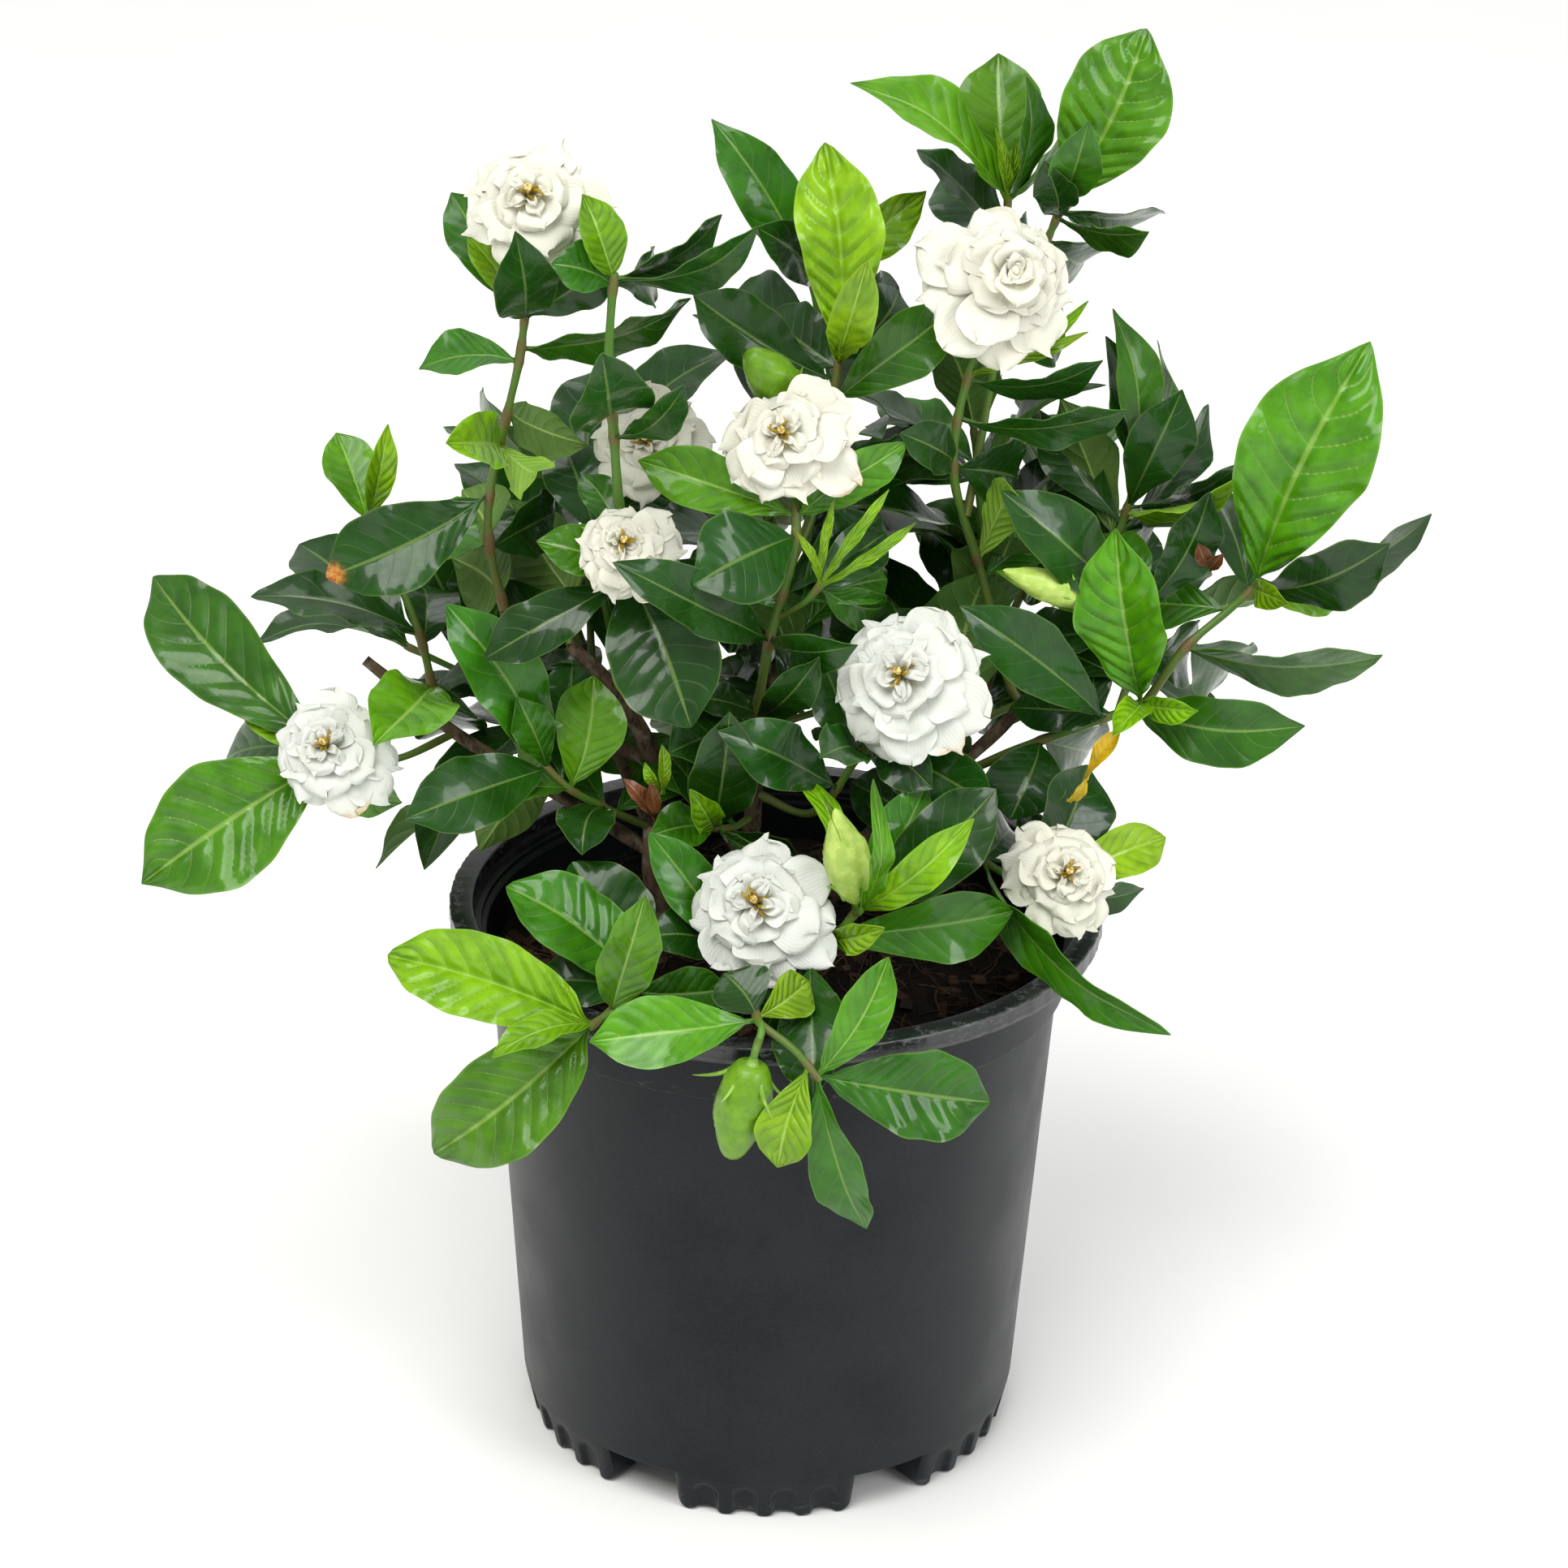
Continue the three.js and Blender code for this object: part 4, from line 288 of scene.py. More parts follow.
# Shoots at the back and inside, whose leaves grow by rule: name, the stem each springs from, its
# flower, how many pairs of leaves, and path.
BACK = [
    ("shoot_back_left", "branch_back_left", None, 3,
     [at(-85, 58, 335), at(-98, 85, 360), at(-104, 105, 380)]),
    ("shoot_back", "branch_back", "bloom_10", 3,
     [at(0, 66, 345), at(-2, 89, 372), at(-6, 105, 380)]),
    ("shoot_back_right", "branch_back_right", None, 3,
     [at(98, 60, 350), at(112, 85, 372), at(120, 105, 388)]),
    ("shoot_side_left", "branch_back_left", None, 3,
     [at(-70, 32, 300), at(-120, 48, 318), at(-162, 58, 334)]),
    ("shoot_back_side", "branch_back_right", None, 3,
     [at(80, 36, 310), at(128, 58, 326), at(158, 71, 340)]),
    ("shoot_back_low_left", "branch_back", None, 3,
     [at(-8, 36, 300), at(-30, 75, 302), at(-46, 98, 300)]),
    ("shoot_back_low_right", "branch_back", None, 3,
     [at(-7, 40, 306), at(36, 75, 306), at(58, 105, 302)]),
    ("shoot_back_tall", "branch_back", None, 3,
     [at(-2, 58, 332), at(6, 55, 400), at(8, 50, 446)]),
    ("shoot_back_tall_left", "branch_back_left", None, 3,
     [at(-81, 50, 326), at(-82, 45, 390), at(-80, 37, 426)]),
    ("shoot_back_tall_right", "branch_back_right", None, 3,
     [at(93, 53, 340), at(84, 66, 400), at(80, 65, 436)]),
    ("shoot_inner_left", "trunk_left", None, 4,
     [(-58, 76, -8), (-66, 100, 36), (-74, 138, 44)]),
    ("shoot_inner_middle", "trunk_middle", None, 4,
     [(-9, 57, -23), (6, 92, 22), (14, 146, 38)]),
    ("shoot_inner_right", "trunk_right", None, 4,
     [(60, 42, 7), (74, 76, 36), (84, 118, 48)]),
    ("shoot_inner_low", "branch_left", None, 3,
     [(-80, 38, -6), (-98, 62, 34), (-116, 84, 46)]),
]
# Flowers: name, heart, width, and how far each is turned to the right and up from the drawing's
# face. The last has a direction of its own.
BLOOMS = [
    ("bloom_1", (-102, 292, -26), 58, -0.05, 0.3),
    ("bloom_2", (98, 259, -30), 68, 0.15, 0.15),
    ("bloom_3", (2, 193, -44), 56, -0.05, 0.15),
    ("bloom_4", (-63, 148, -60), 46, 0.1, 0.2),
    ("bloom_5", (-54, 190, 14), 50, -0.1, 0.2),
    ("bloom_6", (50, 94, -68), 66, -0.1, 0.15),
    ("bloom_7", (-186, 65, -62), 52, -0.1, 0.2),
    ("bloom_8", (-9, 0, -108), 62, -0.1, 0.15),
    ("bloom_9", (120, 12, -62), 52, 0.15, 0.15),
    ("bloom_10", at(-10, 124, 394), 60, None, (-0.1, 1, 0.45)),
]
# Buds: name, the shoot each stands on, foot, tip and radius.
BUDS = [
    ("bud_front", "shoot_front", (33, 1, -95), (24, 38, -101), 8.5),
    ("bud_hanging", "shoot_over_rim", (-10, -67, -158), (-19, -106, -160), 10),
    ("bud_behind", "shoot_high_middle", (8, 204, 0), (-12, 226, -8), 9),
    ("bud_twisted", "shoot_right_middle", (126, 124, -10), (93, 136, -26), 6),
]

# Sizes in millimetres; a foot's notch and the pitch of its flutes are in degrees.
POT = dict(height=245, rim=139.5, lip=8, flange=10, shoulder=125, shoulder_foot=212, wall_top=121.5,
           wall_foot=109, foot=104.6, foot_height=20, foot_ring=15, wall=2.2)
FEET = dict(count=6, notch=18, flutes=4, pitch=9.2)
SOIL = dict(top=216, mound=5)
# How a stem ends under a flower or bud, and how a leaf's root keeps clear of a stem's ends.
GAP = 0.35
HEART_DEPTH = 0.45
HEART_BACK = 4
STALK = 14
STALK_END = 6
TWIG = (2.1, 1.6)
ROOTS = dict(step=1, end=2, apart=3.2)
# A leaf's fold in degrees by age: dark, middling, bright, lime or old; its arch and wave as shares
# of its length and width; and the shifts, turns and scales that the packed model may have given it.
FOLD = dict(d=12, m=14, b=16, l=22, o=14)
ARCH = 0.09
WAVE = 0.03
WIDE = 34
LEAF_THICK = 0.8
SHIFTS = (0, 6, -6, 12, -12, 18, -18, 26, -26, 36, -36, 48, -48, 62, -62)
TURNS = (0, 14, -14, 28, -28)
SCALES = (1, 0.87, 0.74, 0.6)
STATIONS = dict(large=(0.18, 0.5, 0.82), small=(0.26, 0.7))
FULLEST = 0.378
SAME_POINT = 0.05
ENOUGH = 0.4
# The rule for leaves in opposite pairs: lengths in millimetres and angles in degrees.
PAIR = dict(first=0.3, run=0.68, turn=40, start=15, lift=26, lift_more=14, lift_stray=16, tilt=30,
            length=90, spread=0.32, ratio=0.44, shrink=0.24, droop=6, swing=1.2, nod=0.6)


def draws(seed):
    """One repeatable stream of numbers from 0 to 1, the same as the packed model's."""
    state = seed
    while True:
        state = (state * 48271) % 2147483647
        yield state / 2147483647


def flower_frame(name, heart, width, right, up):
    """A flower's radius, the way it looks, and the root its petals spring from."""
    centre = spot(heart)
    if right is None:
        look = unit(vec(*up))
    else:
        look = unit(unit(EYE - centre) + ACROSS * right + TALL * up)
    return dict(name=name, radius=width / 2, look=look, root=centre - look * HEART_DEPTH * width / 2)


FLOWERS = {b[0]: flower_frame(*b) for b in BLOOMS}


def stem_path(points, bloom):
    """A stem's axis, led on to the back of its flower where it bears one."""
    path = [spot(p) for p in points]
    if bloom:
        flower = FLOWERS[bloom]
        for back in (STALK, GAP):
            path.append(flower["root"] - flower["look"] * (HEART_BACK + back))
    return path


STEMS = {name: dict(path=[spot(p) for p in path], radius=radius) for name, _, radius, path in WOOD}
STEMS.update({name: dict(path=stem_path(path, bloom), radius=radius)
              for name, _, radius, bloom, path, _ in SHOOTS})
STEMS.update({name: dict(path=stem_path(path, bloom), radius=TWIG) for name, _, bloom, _, path in BACK})


def walk(path):
    """Points one step apart along a path, as one array."""
    runs = []
    for a, b in zip(path, path[1:]):
        steps = math.ceil(np.linalg.norm(b - a) / ROOTS["step"])
        runs.append(a + (b - a) * (np.arange(steps) / steps)[:, None])
    return np.concatenate(runs)


WALKS = {name: walk(stem["path"]) for name, stem in STEMS.items()}


def root_on(name, parent, point):
    """The place on a stem's axis nearest to a point, clear of its ends and of the stem it is on."""
    path = STEMS[name]["path"]
    here = WALKS[name]
    good = (np.linalg.norm(here - path[0], axis=1) >= ROOTS["end"]) \
        & (np.linalg.norm(here - path[-1], axis=1) >= ROOTS["end"])
    if parent:
        apart = np.linalg.norm(here[:, None] - WALKS[parent][None], axis=2).min(axis=1)
        good &= apart >= STEMS[parent]["radius"][0] + ROOTS["apart"]
    if not good.any():
        return path[1].copy()
    far = np.where(good, np.linalg.norm(here - point, axis=1), np.inf)
    return here[int(np.argmin(far))].copy()


def leaf_frame(leaf):
    """The directions a blade is built on: along its rib, out of its face, and across."""
    along = leaf["tip"] - leaf["foot"]
    length = np.linalg.norm(along)
    along = along / length
    face = leaf["facing"] - along * leaf["facing"].dot(along)
    if np.linalg.norm(face) < 0.2:
        face = UP - along * along[2]
    face = unit(face)
    side = np.cross(along, face)
    turn = leaf["turn"] * RAD
    normal = face * math.cos(turn) + side * math.sin(turn)
    return along, length, normal, np.cross(along, normal)


def solid_points(leaf):
    """The corner points that the packed model gives this leaf, all but its root."""
    along, length, normal, side = leaf_frame(leaf)
    fold = leaf["fold"] * RAD
    points = []
    for i, u in enumerate(STATIONS["large" if leaf["large"] else "small"]):
        spine = leaf["foot"] + along * length * u + normal * ARCH * length * 4 * u * (1 - u)
        half = leaf["width"] / 2 * u ** 0.8 * (1 - u) ** 0.62 / FULLEST
        wave = WAVE * leaf["width"] * (1 if i % 2 else -1)
        for sign in (-1, 1):
            points.append(spine + side * sign * half * math.cos(fold)
                          + normal * (half * math.sin(fold) + sign * wave))
        if i:
            points.append(spine)
    points.append(leaf["tip"])
    middle = np.array(points)
    return np.concatenate([middle + normal * LEAF_THICK / 2, middle - normal * LEAF_THICK / 2])


def node_points(name):
    """A packed node's corner points in millimetres."""
    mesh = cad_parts[name].data
    flat = np.empty(len(mesh.vertices) * 3)
    mesh.vertices.foreach_get("co", flat)
    return flat.reshape(-1, 3) / MM


def fitted(make_leaf, corners):
    """Of a leaf's allowed shifts, turns and scales, the one that the packed model took, or None."""
    best, most = None, 0
    for scale, shift, turn in product(SCALES, SHIFTS, TURNS):
        leaf = make_leaf(scale, shift, turn)
        if np.linalg.norm(corners - leaf["tip"], axis=1).min() > LEAF_THICK:
            continue
        points = solid_points(leaf)
        near = np.linalg.norm(corners[None] - points[:, None], axis=2).min(axis=1) < SAME_POINT
        if near.mean() > most:
            best, most = leaf, near.mean()
    return best if most > ENOUGH else None


def drawn_leaf(root, row):
    """A leaf laid out by its tip, ready to be shifted in depth, turned or shrunk."""
    across, up, depth, width, turn, age = row[3:]

    def make(scale, shift, more):
        end = place((across, up, depth + shift))
        return dict(foot=root.copy(), tip=root + (end - root) * scale, facing=unit(EYE - root),
                    width=width * scale, turn=turn + more, fold=FOLD[age], large=width > WIDE, age=age)
    return make


def tangents(p0, p1, p2, p3):
    """The two tangents of a centripetal Catmull-Rom curve on its stretch from p1 to p2."""
    d0, d1, d2 = (np.linalg.norm(b - a) ** 0.5 for a, b in ((p0, p1), (p1, p2), (p2, p3)))
    return (((p1 - p0) / d0 - (p2 - p0) / (d0 + d1) + (p2 - p1) / d1) * d1,
            ((p2 - p1) / d1 - (p3 - p1) / (d1 + d2) + (p3 - p2) / d2) * d1)


def curve_through(points):
    """A centripetal Catmull-Rom curve through three points, as three.js draws it."""
    points = list(points)

    def get(t):
        last = len(points) - 1
        p = last * t
        i = min(int(math.floor(p)), last - 1)
        w = p - i
        p1, p2 = points[i], points[i + 1]
        p0 = points[i - 1] if i > 0 else points[0] * 2 - points[1]
        p3 = points[i + 2] if i + 2 <= last else points[last] * 2 - points[last - 1]
        t1, t2 = tangents(p0, p1, p2, p3)
        c2 = -3 * p1 + 3 * p2 - 2 * t1 - t2
        c3 = 2 * p1 - 2 * p2 + t1 + t2
        return p1 + t1 * w + c2 * w ** 2 + c3 * w ** 3
    return get


def grown_leaves(shoot, random):
    """Opposite pairs of leaves by rule, each pair across the last."""
    name, parent, _, pairs, _ = shoot
    curve = curve_through(STEMS[name]["path"][:3])
    for i in range(pairs):
        t = PAIR["first"] + PAIR["run"] * i / (pairs - 1)
        foot = root_on(name, parent, curve(t))
        way = unit(curve(min(t + 1e-4, 1)) - curve(max(t - 1e-4, 0)))
        level = unit(np.cross(way, UP))
        tall = np.cross(level, way)
        for half in (0, 180):
            angle = half + 90 * (i % 2) + (next(random) - 0.5) * PAIR["turn"] + PAIR["start"]
            grown = 1 + (next(random) - 0.5) * PAIR["spread"]
            length = PAIR["length"] * (1 - PAIR["shrink"] * (i / pairs)) * grown
            lift = PAIR["lift"] + PAIR["lift_more"] * i + (next(random) - 0.5) * PAIR["lift_stray"]
            tilt = (next(random) - 0.5) * PAIR["tilt"]

            def make(scale, shift, more, foot=foot, angle=angle, lift=lift, length=length, tilt=tilt,
                     level=level, tall=tall, way=way):
                around = (angle + shift * PAIR["swing"]) * RAD
                rise = (lift + more * PAIR["nod"]) * RAD
                out = (level * math.cos(around) + tall * math.sin(around)) * math.cos(rise)
                out = out + way * math.sin(rise)
                return dict(foot=foot.copy(), tip=foot + out * length * scale - UP * PAIR["droop"],
                            facing=UP + way * 0.5, width=length * PAIR["ratio"] * scale, turn=tilt,
                            fold=FOLD["m"], large=False, age="d")
            yield make


def all_leaves():
    """Every shoot's leaves, each where the packed model holds it."""
    leaves = {}
    for name, parent, _, _, _, rows in SHOOTS:
        corners = node_points(name)
        found = [fitted(drawn_leaf(root_on(name, parent, place(row[:3])), row), corners) for row in rows]
        leaves[name] = [leaf for leaf in found if leaf]
    random = draws(20261)
    for shoot in BACK:
        corners = node_points(shoot[0])
        found = [fitted(make, corners) for make in grown_leaves(shoot, random)]
        leaves[shoot[0]] = [leaf for leaf in found if leaf]
    return leaves
PARENTS = {name: parent for name, parent, *_ in SHOOTS + BACK}
HOLES = dict(count=6, radius=9, ring=62)
SHADED = ("bloom_6", "bloom_7", "bloom_8")
# The outer petals that have browned at the tip, by their angle.
BROWNED = dict(bloom_3=-31, bloom_6=-47, bloom_7=-69)
# Each flower's outer petals as angle: reach, in degrees from its right side and flower radii.
OUTLINES = dict(
    bloom_1={63: 0.93, 32: 0.85, 0: 1.08, -24: 1.13, -52: 1.12, -103: 1.08, -153: 0.98, 172: 0.88, 140: 0.8,
             100: 0.68},
    bloom_2={116: 0.86, 162: 1.16, -163: 1.14, -131: 1.1, -99: 1.18, -64: 0.98, -19: 0.8, 18: 0.72,
             60: 0.68},
    bloom_3={56: 1.0, 29: 1.08, 4: 1.16, -31: 1.22, -66: 1.0, -102: 0.94, -136: 1.02, -162: 0.92, 158: 0.76,
             112: 0.6},
    bloom_4={114: 0.72, 75: 0.7, 37: 1.02, 4: 1.06, -30: 1.1, -57: 1.2, -88: 1.02, -118: 0.9, -150: 0.76,
             178: 0.78},
    bloom_5={90: 1, 45: 1, 0: 1.05, -45: 1, -90: 1, -135: 1, 180: 0.9, 135: 0.95},
    bloom_6={122: 0.88, 92: 0.78, 52: 1.05, 10: 1.08, -20: 1.2, -47: 1.16, -77: 1.06, -103: 1.0, -130: 0.86,
             -164: 0.87, 168: 0.8},
    bloom_7={86: 0.95, 121: 0.86, 165: 0.85, -150: 0.76, -108: 1.0, -69: 1.15, -37: 1.22, -8: 1.1, 25: 1.12,
             55: 0.8},
    bloom_8={86: 0.9, 124: 0.85, 158: 0.86, -168: 0.84, -125: 1.02, -98: 1.08, -70: 1.12, -42: 1.2,
             -13: 1.06, 24: 0.98, 55: 0.76},
    bloom_9={136: 1.1, 161: 1.06, -169: 1.07, -132: 0.88, -106: 1.04, -81: 1.02, -52: 0.94, -18: 0.84,
             14: 0.86, 60: 0.84, 102: 0.8},
)
# Leaves that differ from the rest, by shoot and number: scorched spots as (along, across, size in
# mm), a tip set back in depth, or their own slimness, outline, curl, arch, quilt, crinkle or age.
MARKS = {
    ("shoot_front", 5): dict(slim=0.55, back=6, curl=0.3),
    ("shoot_front", 6): dict(slim=0.5, back=26, curl=0.1),
    ("shoot_front", 7): dict(slim=0.8, back=8, age="b", curl=0.2),
    ("shoot_top_left", 0): dict(marks=[(0.97, 0, 7)]),
    ("shoot_curled", 0): dict(crinkle=3, quilt=3),
    ("shoot_low_left", 0): dict(wide=1.25, blunt=0.5, quilt=1.2),
    ("shoot_side_right", 0): dict(quilt=1.3, crinkle=1.4, wide=1.35),
    ("shoot_top_far_right", 0): dict(quilt=1.4, wide=1.35),
    ("shoot_low_left", 5): dict(wide=1.3, blunt=0.5, age="m"),
    ("shoot_high_middle", 0): dict(wide=1.75, blunt=0.6, slim=0.92, quilt=1.4),
    ("shoot_high_middle", 1): dict(wide=1.75, blunt=0.6),
    ("shoot_high_middle", 2): dict(arch=-0.1, back=8),
    ("shoot_low_left", 6): dict(wide=1.2, blunt=0.6),
    ("shoot_low_left", 1): dict(wide=1.15, blunt=0.55),
}
# Small growth that is no leaf of its own in the model: sprouts, withered bits and yellow leaves,
# as shoot, foot, tip, width and age.
SMALL = (
    ("shoot_low_left", (-47, 44, -60), (-47, 64, -64), 6, "l"),
    ("shoot_low_left", (-48, 46, -60), (-54, 56, -66), 5, "l"),
    ("shoot_low_left", (-50, 34, -60), (-62, 50, -66), 7, "w"),
    ("shoot_low_left", (-48, 34, -60), (-52, 49, -68), 6, "w"),
    ("shoot_low_right", (127, 50, -36), (142, 71, -40), 8, "y"),
    ("shoot_low_right", (120, 41, -36), (127, 50, -44), 5, "y"),
    ("shoot_left_middle", (-103, 78, 6), (-98, 92, 2), 7, "l"),
    ("shoot_left_middle", (-104, 78, 6), (-110, 88, 2), 6, "l"),
    ("shoot_far_right", (178, 136, 10), (173, 147, 6), 7, "w"),
    ("shoot_far_right", (178, 136, 10), (183, 142, 4), 6, "w"),
)

# Leaves that only fill the middle of the bush: they grow away from the drawing's face, and their
# tips stay inside this oval of the drawing plane.
FILL = dict(centre=(22, 122), reach=(150, 92), length=(44, 66), ratio=0.42, each=4, depth=120)


def veils_bloom(foot, tip):
    """Whether a leaf would stand before a flower, seen from the drawing's face."""
    for flower in FLOWERS.values():
        for point in (tip, (foot + tip) / 2):
            if point[1] > flower["root"][1] + 8:
                continue
            sight = unit(flower["root"] - EYE)
            off = point - EYE
            if np.linalg.norm(off - sight * off.dot(sight)) < flower["radius"] * 1.25:
                return True
    return False


def filling(name, random):
    """A few dark leaves that spring from a shoot's stem and lean back, away from the ones laid out."""
    path = WALKS[name]
    leaves = []
    for k in range(FILL["each"]):
        foot = path[int(len(path) * random.uniform(0.25, 0.9))]
        angle = random.uniform(0, 2 * math.pi)
        rise = random.uniform(-0.35, 0.75)
        way = ACROSS * math.cos(angle) + TALL * (0.6 * math.sin(angle) + rise)
        way = unit(way + vec(0, 1, 0) * random.uniform(0.35, 1.1))
        length = random.uniform(*FILL["length"])
        tip = foot + way * length
        ray = tip - EYE
        seen = np.array((ray @ ACROSS, ray @ TALL)) / (ray @ AHEAD) * DISTANCE + CENTRE
        inside = np.linalg.norm((seen - FILL["centre"]) / FILL["reach"]) < 1
        if inside and tip[1] < FILL["depth"] and not veils_bloom(foot, tip):
            leaves.append(dict(foot=foot.copy(), tip=tip, facing=unit(EYE - foot) + UP * 0.6,
                               width=length * FILL["ratio"], turn=random.uniform(-25, 25), fold=FOLD["d"],
                               large=False, hidden=True, age="d" if k % 3 else "m"))
    return leaves


# ---------------- meshes from grids
WHITE = (1, 1, 1, 1)
NO_TRAITS = (0, 0, 0)


def fill(rows, key, values, kind):
    """Writes one value, or one row of values, to each of Blender's rows at once."""
    rows.foreach_set(key, np.ascontiguousarray(values, kind).ravel())


class Skin:
    """Gathers grids of points into one mesh: points, faces, a UV, a colour and traits per point."""

    def __init__(self):
        self.points, self.uvs, self.colours, self.traits = [], [], [], []
        self.quads, self.tris, self.quad_slots, self.tri_slots = [], [], [], []
        self.count = 0

    def add(self, points, quads, tris, uv, colour, traits, slot):
        """points (n, 3) in mm; quads and tris name them; slot is one number or one per quad."""
        n = len(points)
        self.points.append(np.asarray(points))
        self.uvs.append(np.broadcast_to(uv, (n, 2)))
        self.colours.append(np.broadcast_to(colour, (n, 4)))
        self.traits.append(np.broadcast_to(traits, (n, 3)))
        if len(quads):
            self.quads.append(np.asarray(quads) + self.count)
            self.quad_slots.append(np.broadcast_to(slot, len(quads)))
        if len(tris):
            self.tris.append(np.asarray(tris) + self.count)
            self.tri_slots.append(np.broadcast_to(np.max(slot), len(tris)))
        self.count += n

    def object(self, name, materials, crease=50):
        """Puts the gathered grids into a mesh object at the origin, in metres."""
        points = np.concatenate(self.points) * MM
        quads = np.concatenate(self.quads) if self.quads else np.zeros((0, 4), int)
        tris = np.concatenate(self.tris) if self.tris else np.zeros((0, 3), int)
        corners = np.concatenate([quads.ravel(), tris.ravel()])
        sizes = np.concatenate([np.full(len(quads), 4), np.full(len(tris), 3)])
        mesh = bpy.data.meshes.new(name)
        mesh.vertices.add(len(points))
        mesh.loops.add(len(corners))
        mesh.polygons.add(len(sizes))
        slots = np.concatenate(self.quad_slots + self.tri_slots)
        fill(mesh.vertices, "co", points, np.float32)
        fill(mesh.loops, "vertex_index", corners, np.int32)
        fill(mesh.polygons, "loop_start", np.cumsum(sizes) - sizes, np.int32)
        fill(mesh.polygons, "loop_total", sizes, np.int32)
        fill(mesh.polygons, "material_index", slots, np.int32)
        fill(mesh.polygons, "use_smooth", np.ones(len(sizes)), bool)
        mesh.update(calc_edges=True)
        fill(mesh.uv_layers.new(name="UVMap").data, "uv", np.concatenate(self.uvs)[corners], np.float32)
        tones = mesh.attributes.new("tone", "FLOAT_COLOR", "POINT").data
        fill(tones, "color", np.concatenate(self.colours), np.float32)
        traits = mesh.attributes.new("traits", "FLOAT_VECTOR", "POINT").data
        fill(traits, "vector", np.concatenate(self.traits), np.float32)
        mesh.set_sharp_from_angle(angle=crease * RAD)
        piece = bpy.data.objects.new(name, mesh)
        bpy.context.scene.collection.objects.link(piece)
        for material in materials:
            mesh.materials.append(material)
        return piece


def grid_quads(rows, columns, closed=False, looped=False):
    """Quads between neighbouring points of a grid; closed joins the last column to the first, and
    looped the last row to the first."""
    i = np.arange(rows if looped else rows - 1)[:, None]
    j = np.arange(columns if closed else columns - 1)[None, :]
    k, after = (j + 1) % columns, (i + 1) % rows
    quads = [i * columns + j, i * columns + k, after * columns + k, after * columns + j]
    return np.stack(quads, axis=-1).reshape(-1, 4)


def fan(hub, ring, turned=False):
    """Triangles from a hub to each side of a closed ring of points, turned over or not."""
    after = np.roll(ring, -1)
    return np.stack([np.full(len(ring), hub), *((after, ring) if turned else (ring, after))], axis=-1)


def sheet_faces(rows, columns):
    """A closed thin sheet: its upper grid, its lower grid turned over, and the rim between them."""
    top = grid_quads(rows, columns)
    count = rows * columns
    grid = np.arange(count).reshape(rows, columns)
    rim = np.concatenate([grid[0, :-1], grid[:-1, -1], grid[-1, :0:-1], grid[:0:-1, 0]])
    after = np.roll(rim, -1)
    side = np.stack([after, rim, rim + count, after + count], axis=-1)
    return top, top[:, ::-1] + count, side


def smooth_path(points, step=2.5):
    """A centripetal curve through the points, sampled about every step millimetres."""
    points = np.array(points)
    ends = np.concatenate([[2 * points[0] - points[1]], points, [2 * points[-1] - points[-2]]])
    runs = []
    for p0, p1, p2, p3 in zip(ends, ends[1:], ends[2:], ends[3:]):
        t1, t2 = tangents(p0, p1, p2, p3)
        n = max(2, int(np.linalg.norm(p2 - p1) / step))
        w = (np.arange(n) / n)[:, None]
        runs.append((2 * w ** 3 - 3 * w ** 2 + 1) * p1 + (w ** 3 - 2 * w ** 2 + w) * t1
                    + (3 * w ** 2 - 2 * w ** 3) * p2 + (w ** 3 - w ** 2) * t2)
    return np.concatenate(runs + [points[-1:]])


def frames_along(path):
    """Two directions across a path, carried from point to point with no twist."""
    way = np.gradient(path, axis=0)
    way /= np.linalg.norm(way, axis=1)[:, None]
    across = np.empty_like(way)
    side = np.cross(way[0], UP if abs(way[0][2]) < 0.9 else LEVEL)
    for i, d in enumerate(way):
        side = side - d * side.dot(d)
        side = side / np.linalg.norm(side)
        across[i] = side
    return across, np.cross(way, across)


def add_tube(skin, path, radii, sides, colour, slot=0, rough=None):
    """A tube: circles of the given radii carried along the path, closed by a point at each end.
    rough(round, along) gives a share to add to the radius, angle by angle."""
    across, other = frames_along(path)
    n = len(path)
    angle = np.arange(sides) / sides * 2 * math.pi
    reach = np.concatenate([[0], np.cumsum(np.linalg.norm(np.diff(path, axis=0), axis=1))])
    radius = np.broadcast_to(np.asarray(radii, float).reshape(-1, 1), (n, 1)) * np.ones((1, sides))
    if rough is not None:
        radius = radius * (1 + rough(angle[None, :], reach[:, None]))
    ring = path[:, None] + radius[..., None] * (np.cos(angle)[None, :, None] * across[:, None]
                                                + np.sin(angle)[None, :, None] * other[:, None])
    points = np.concatenate([ring.reshape(-1, 3), path[:1], path[-1:]])
    quads = grid_quads(n, sides, closed=True)
    j = np.arange(sides)
    caps = np.concatenate([fan(n * sides, j, turned=True), fan(n * sides + 1, (n - 1) * sides + j)])
    u = np.repeat(reach / 10, sides)
    uv = np.stack([np.concatenate([u, [0, reach[-1] / 10]]),
                   np.concatenate([np.tile(angle / (2 * math.pi), n), [0, 0]])], axis=-1)
    skin.add(points, quads, caps, uv, colour, NO_TRAITS, slot)


def smoothstep(a, b, x):
    """0 below a, 1 above b, and smooth between."""
    t = np.clip((x - a) / (b - a), 0, 1)
    return t * t * (3 - 2 * t)


# ---------------- leaves
# A blade's upper and lower colour by age: the fold's ages, and yellow or withered growth.
AGES = dict(d="#184508", m="#316A08", b="#4F8A08", l="#7DAE0C", o="#305C0A", y="#D8B21E", w="#6B3A22")
UNDER = dict(d="#4C7430", m="#527D2C", b="#619426", l="#83B032", o="#5A7C36", y="#CDB040", w="#5A3420")
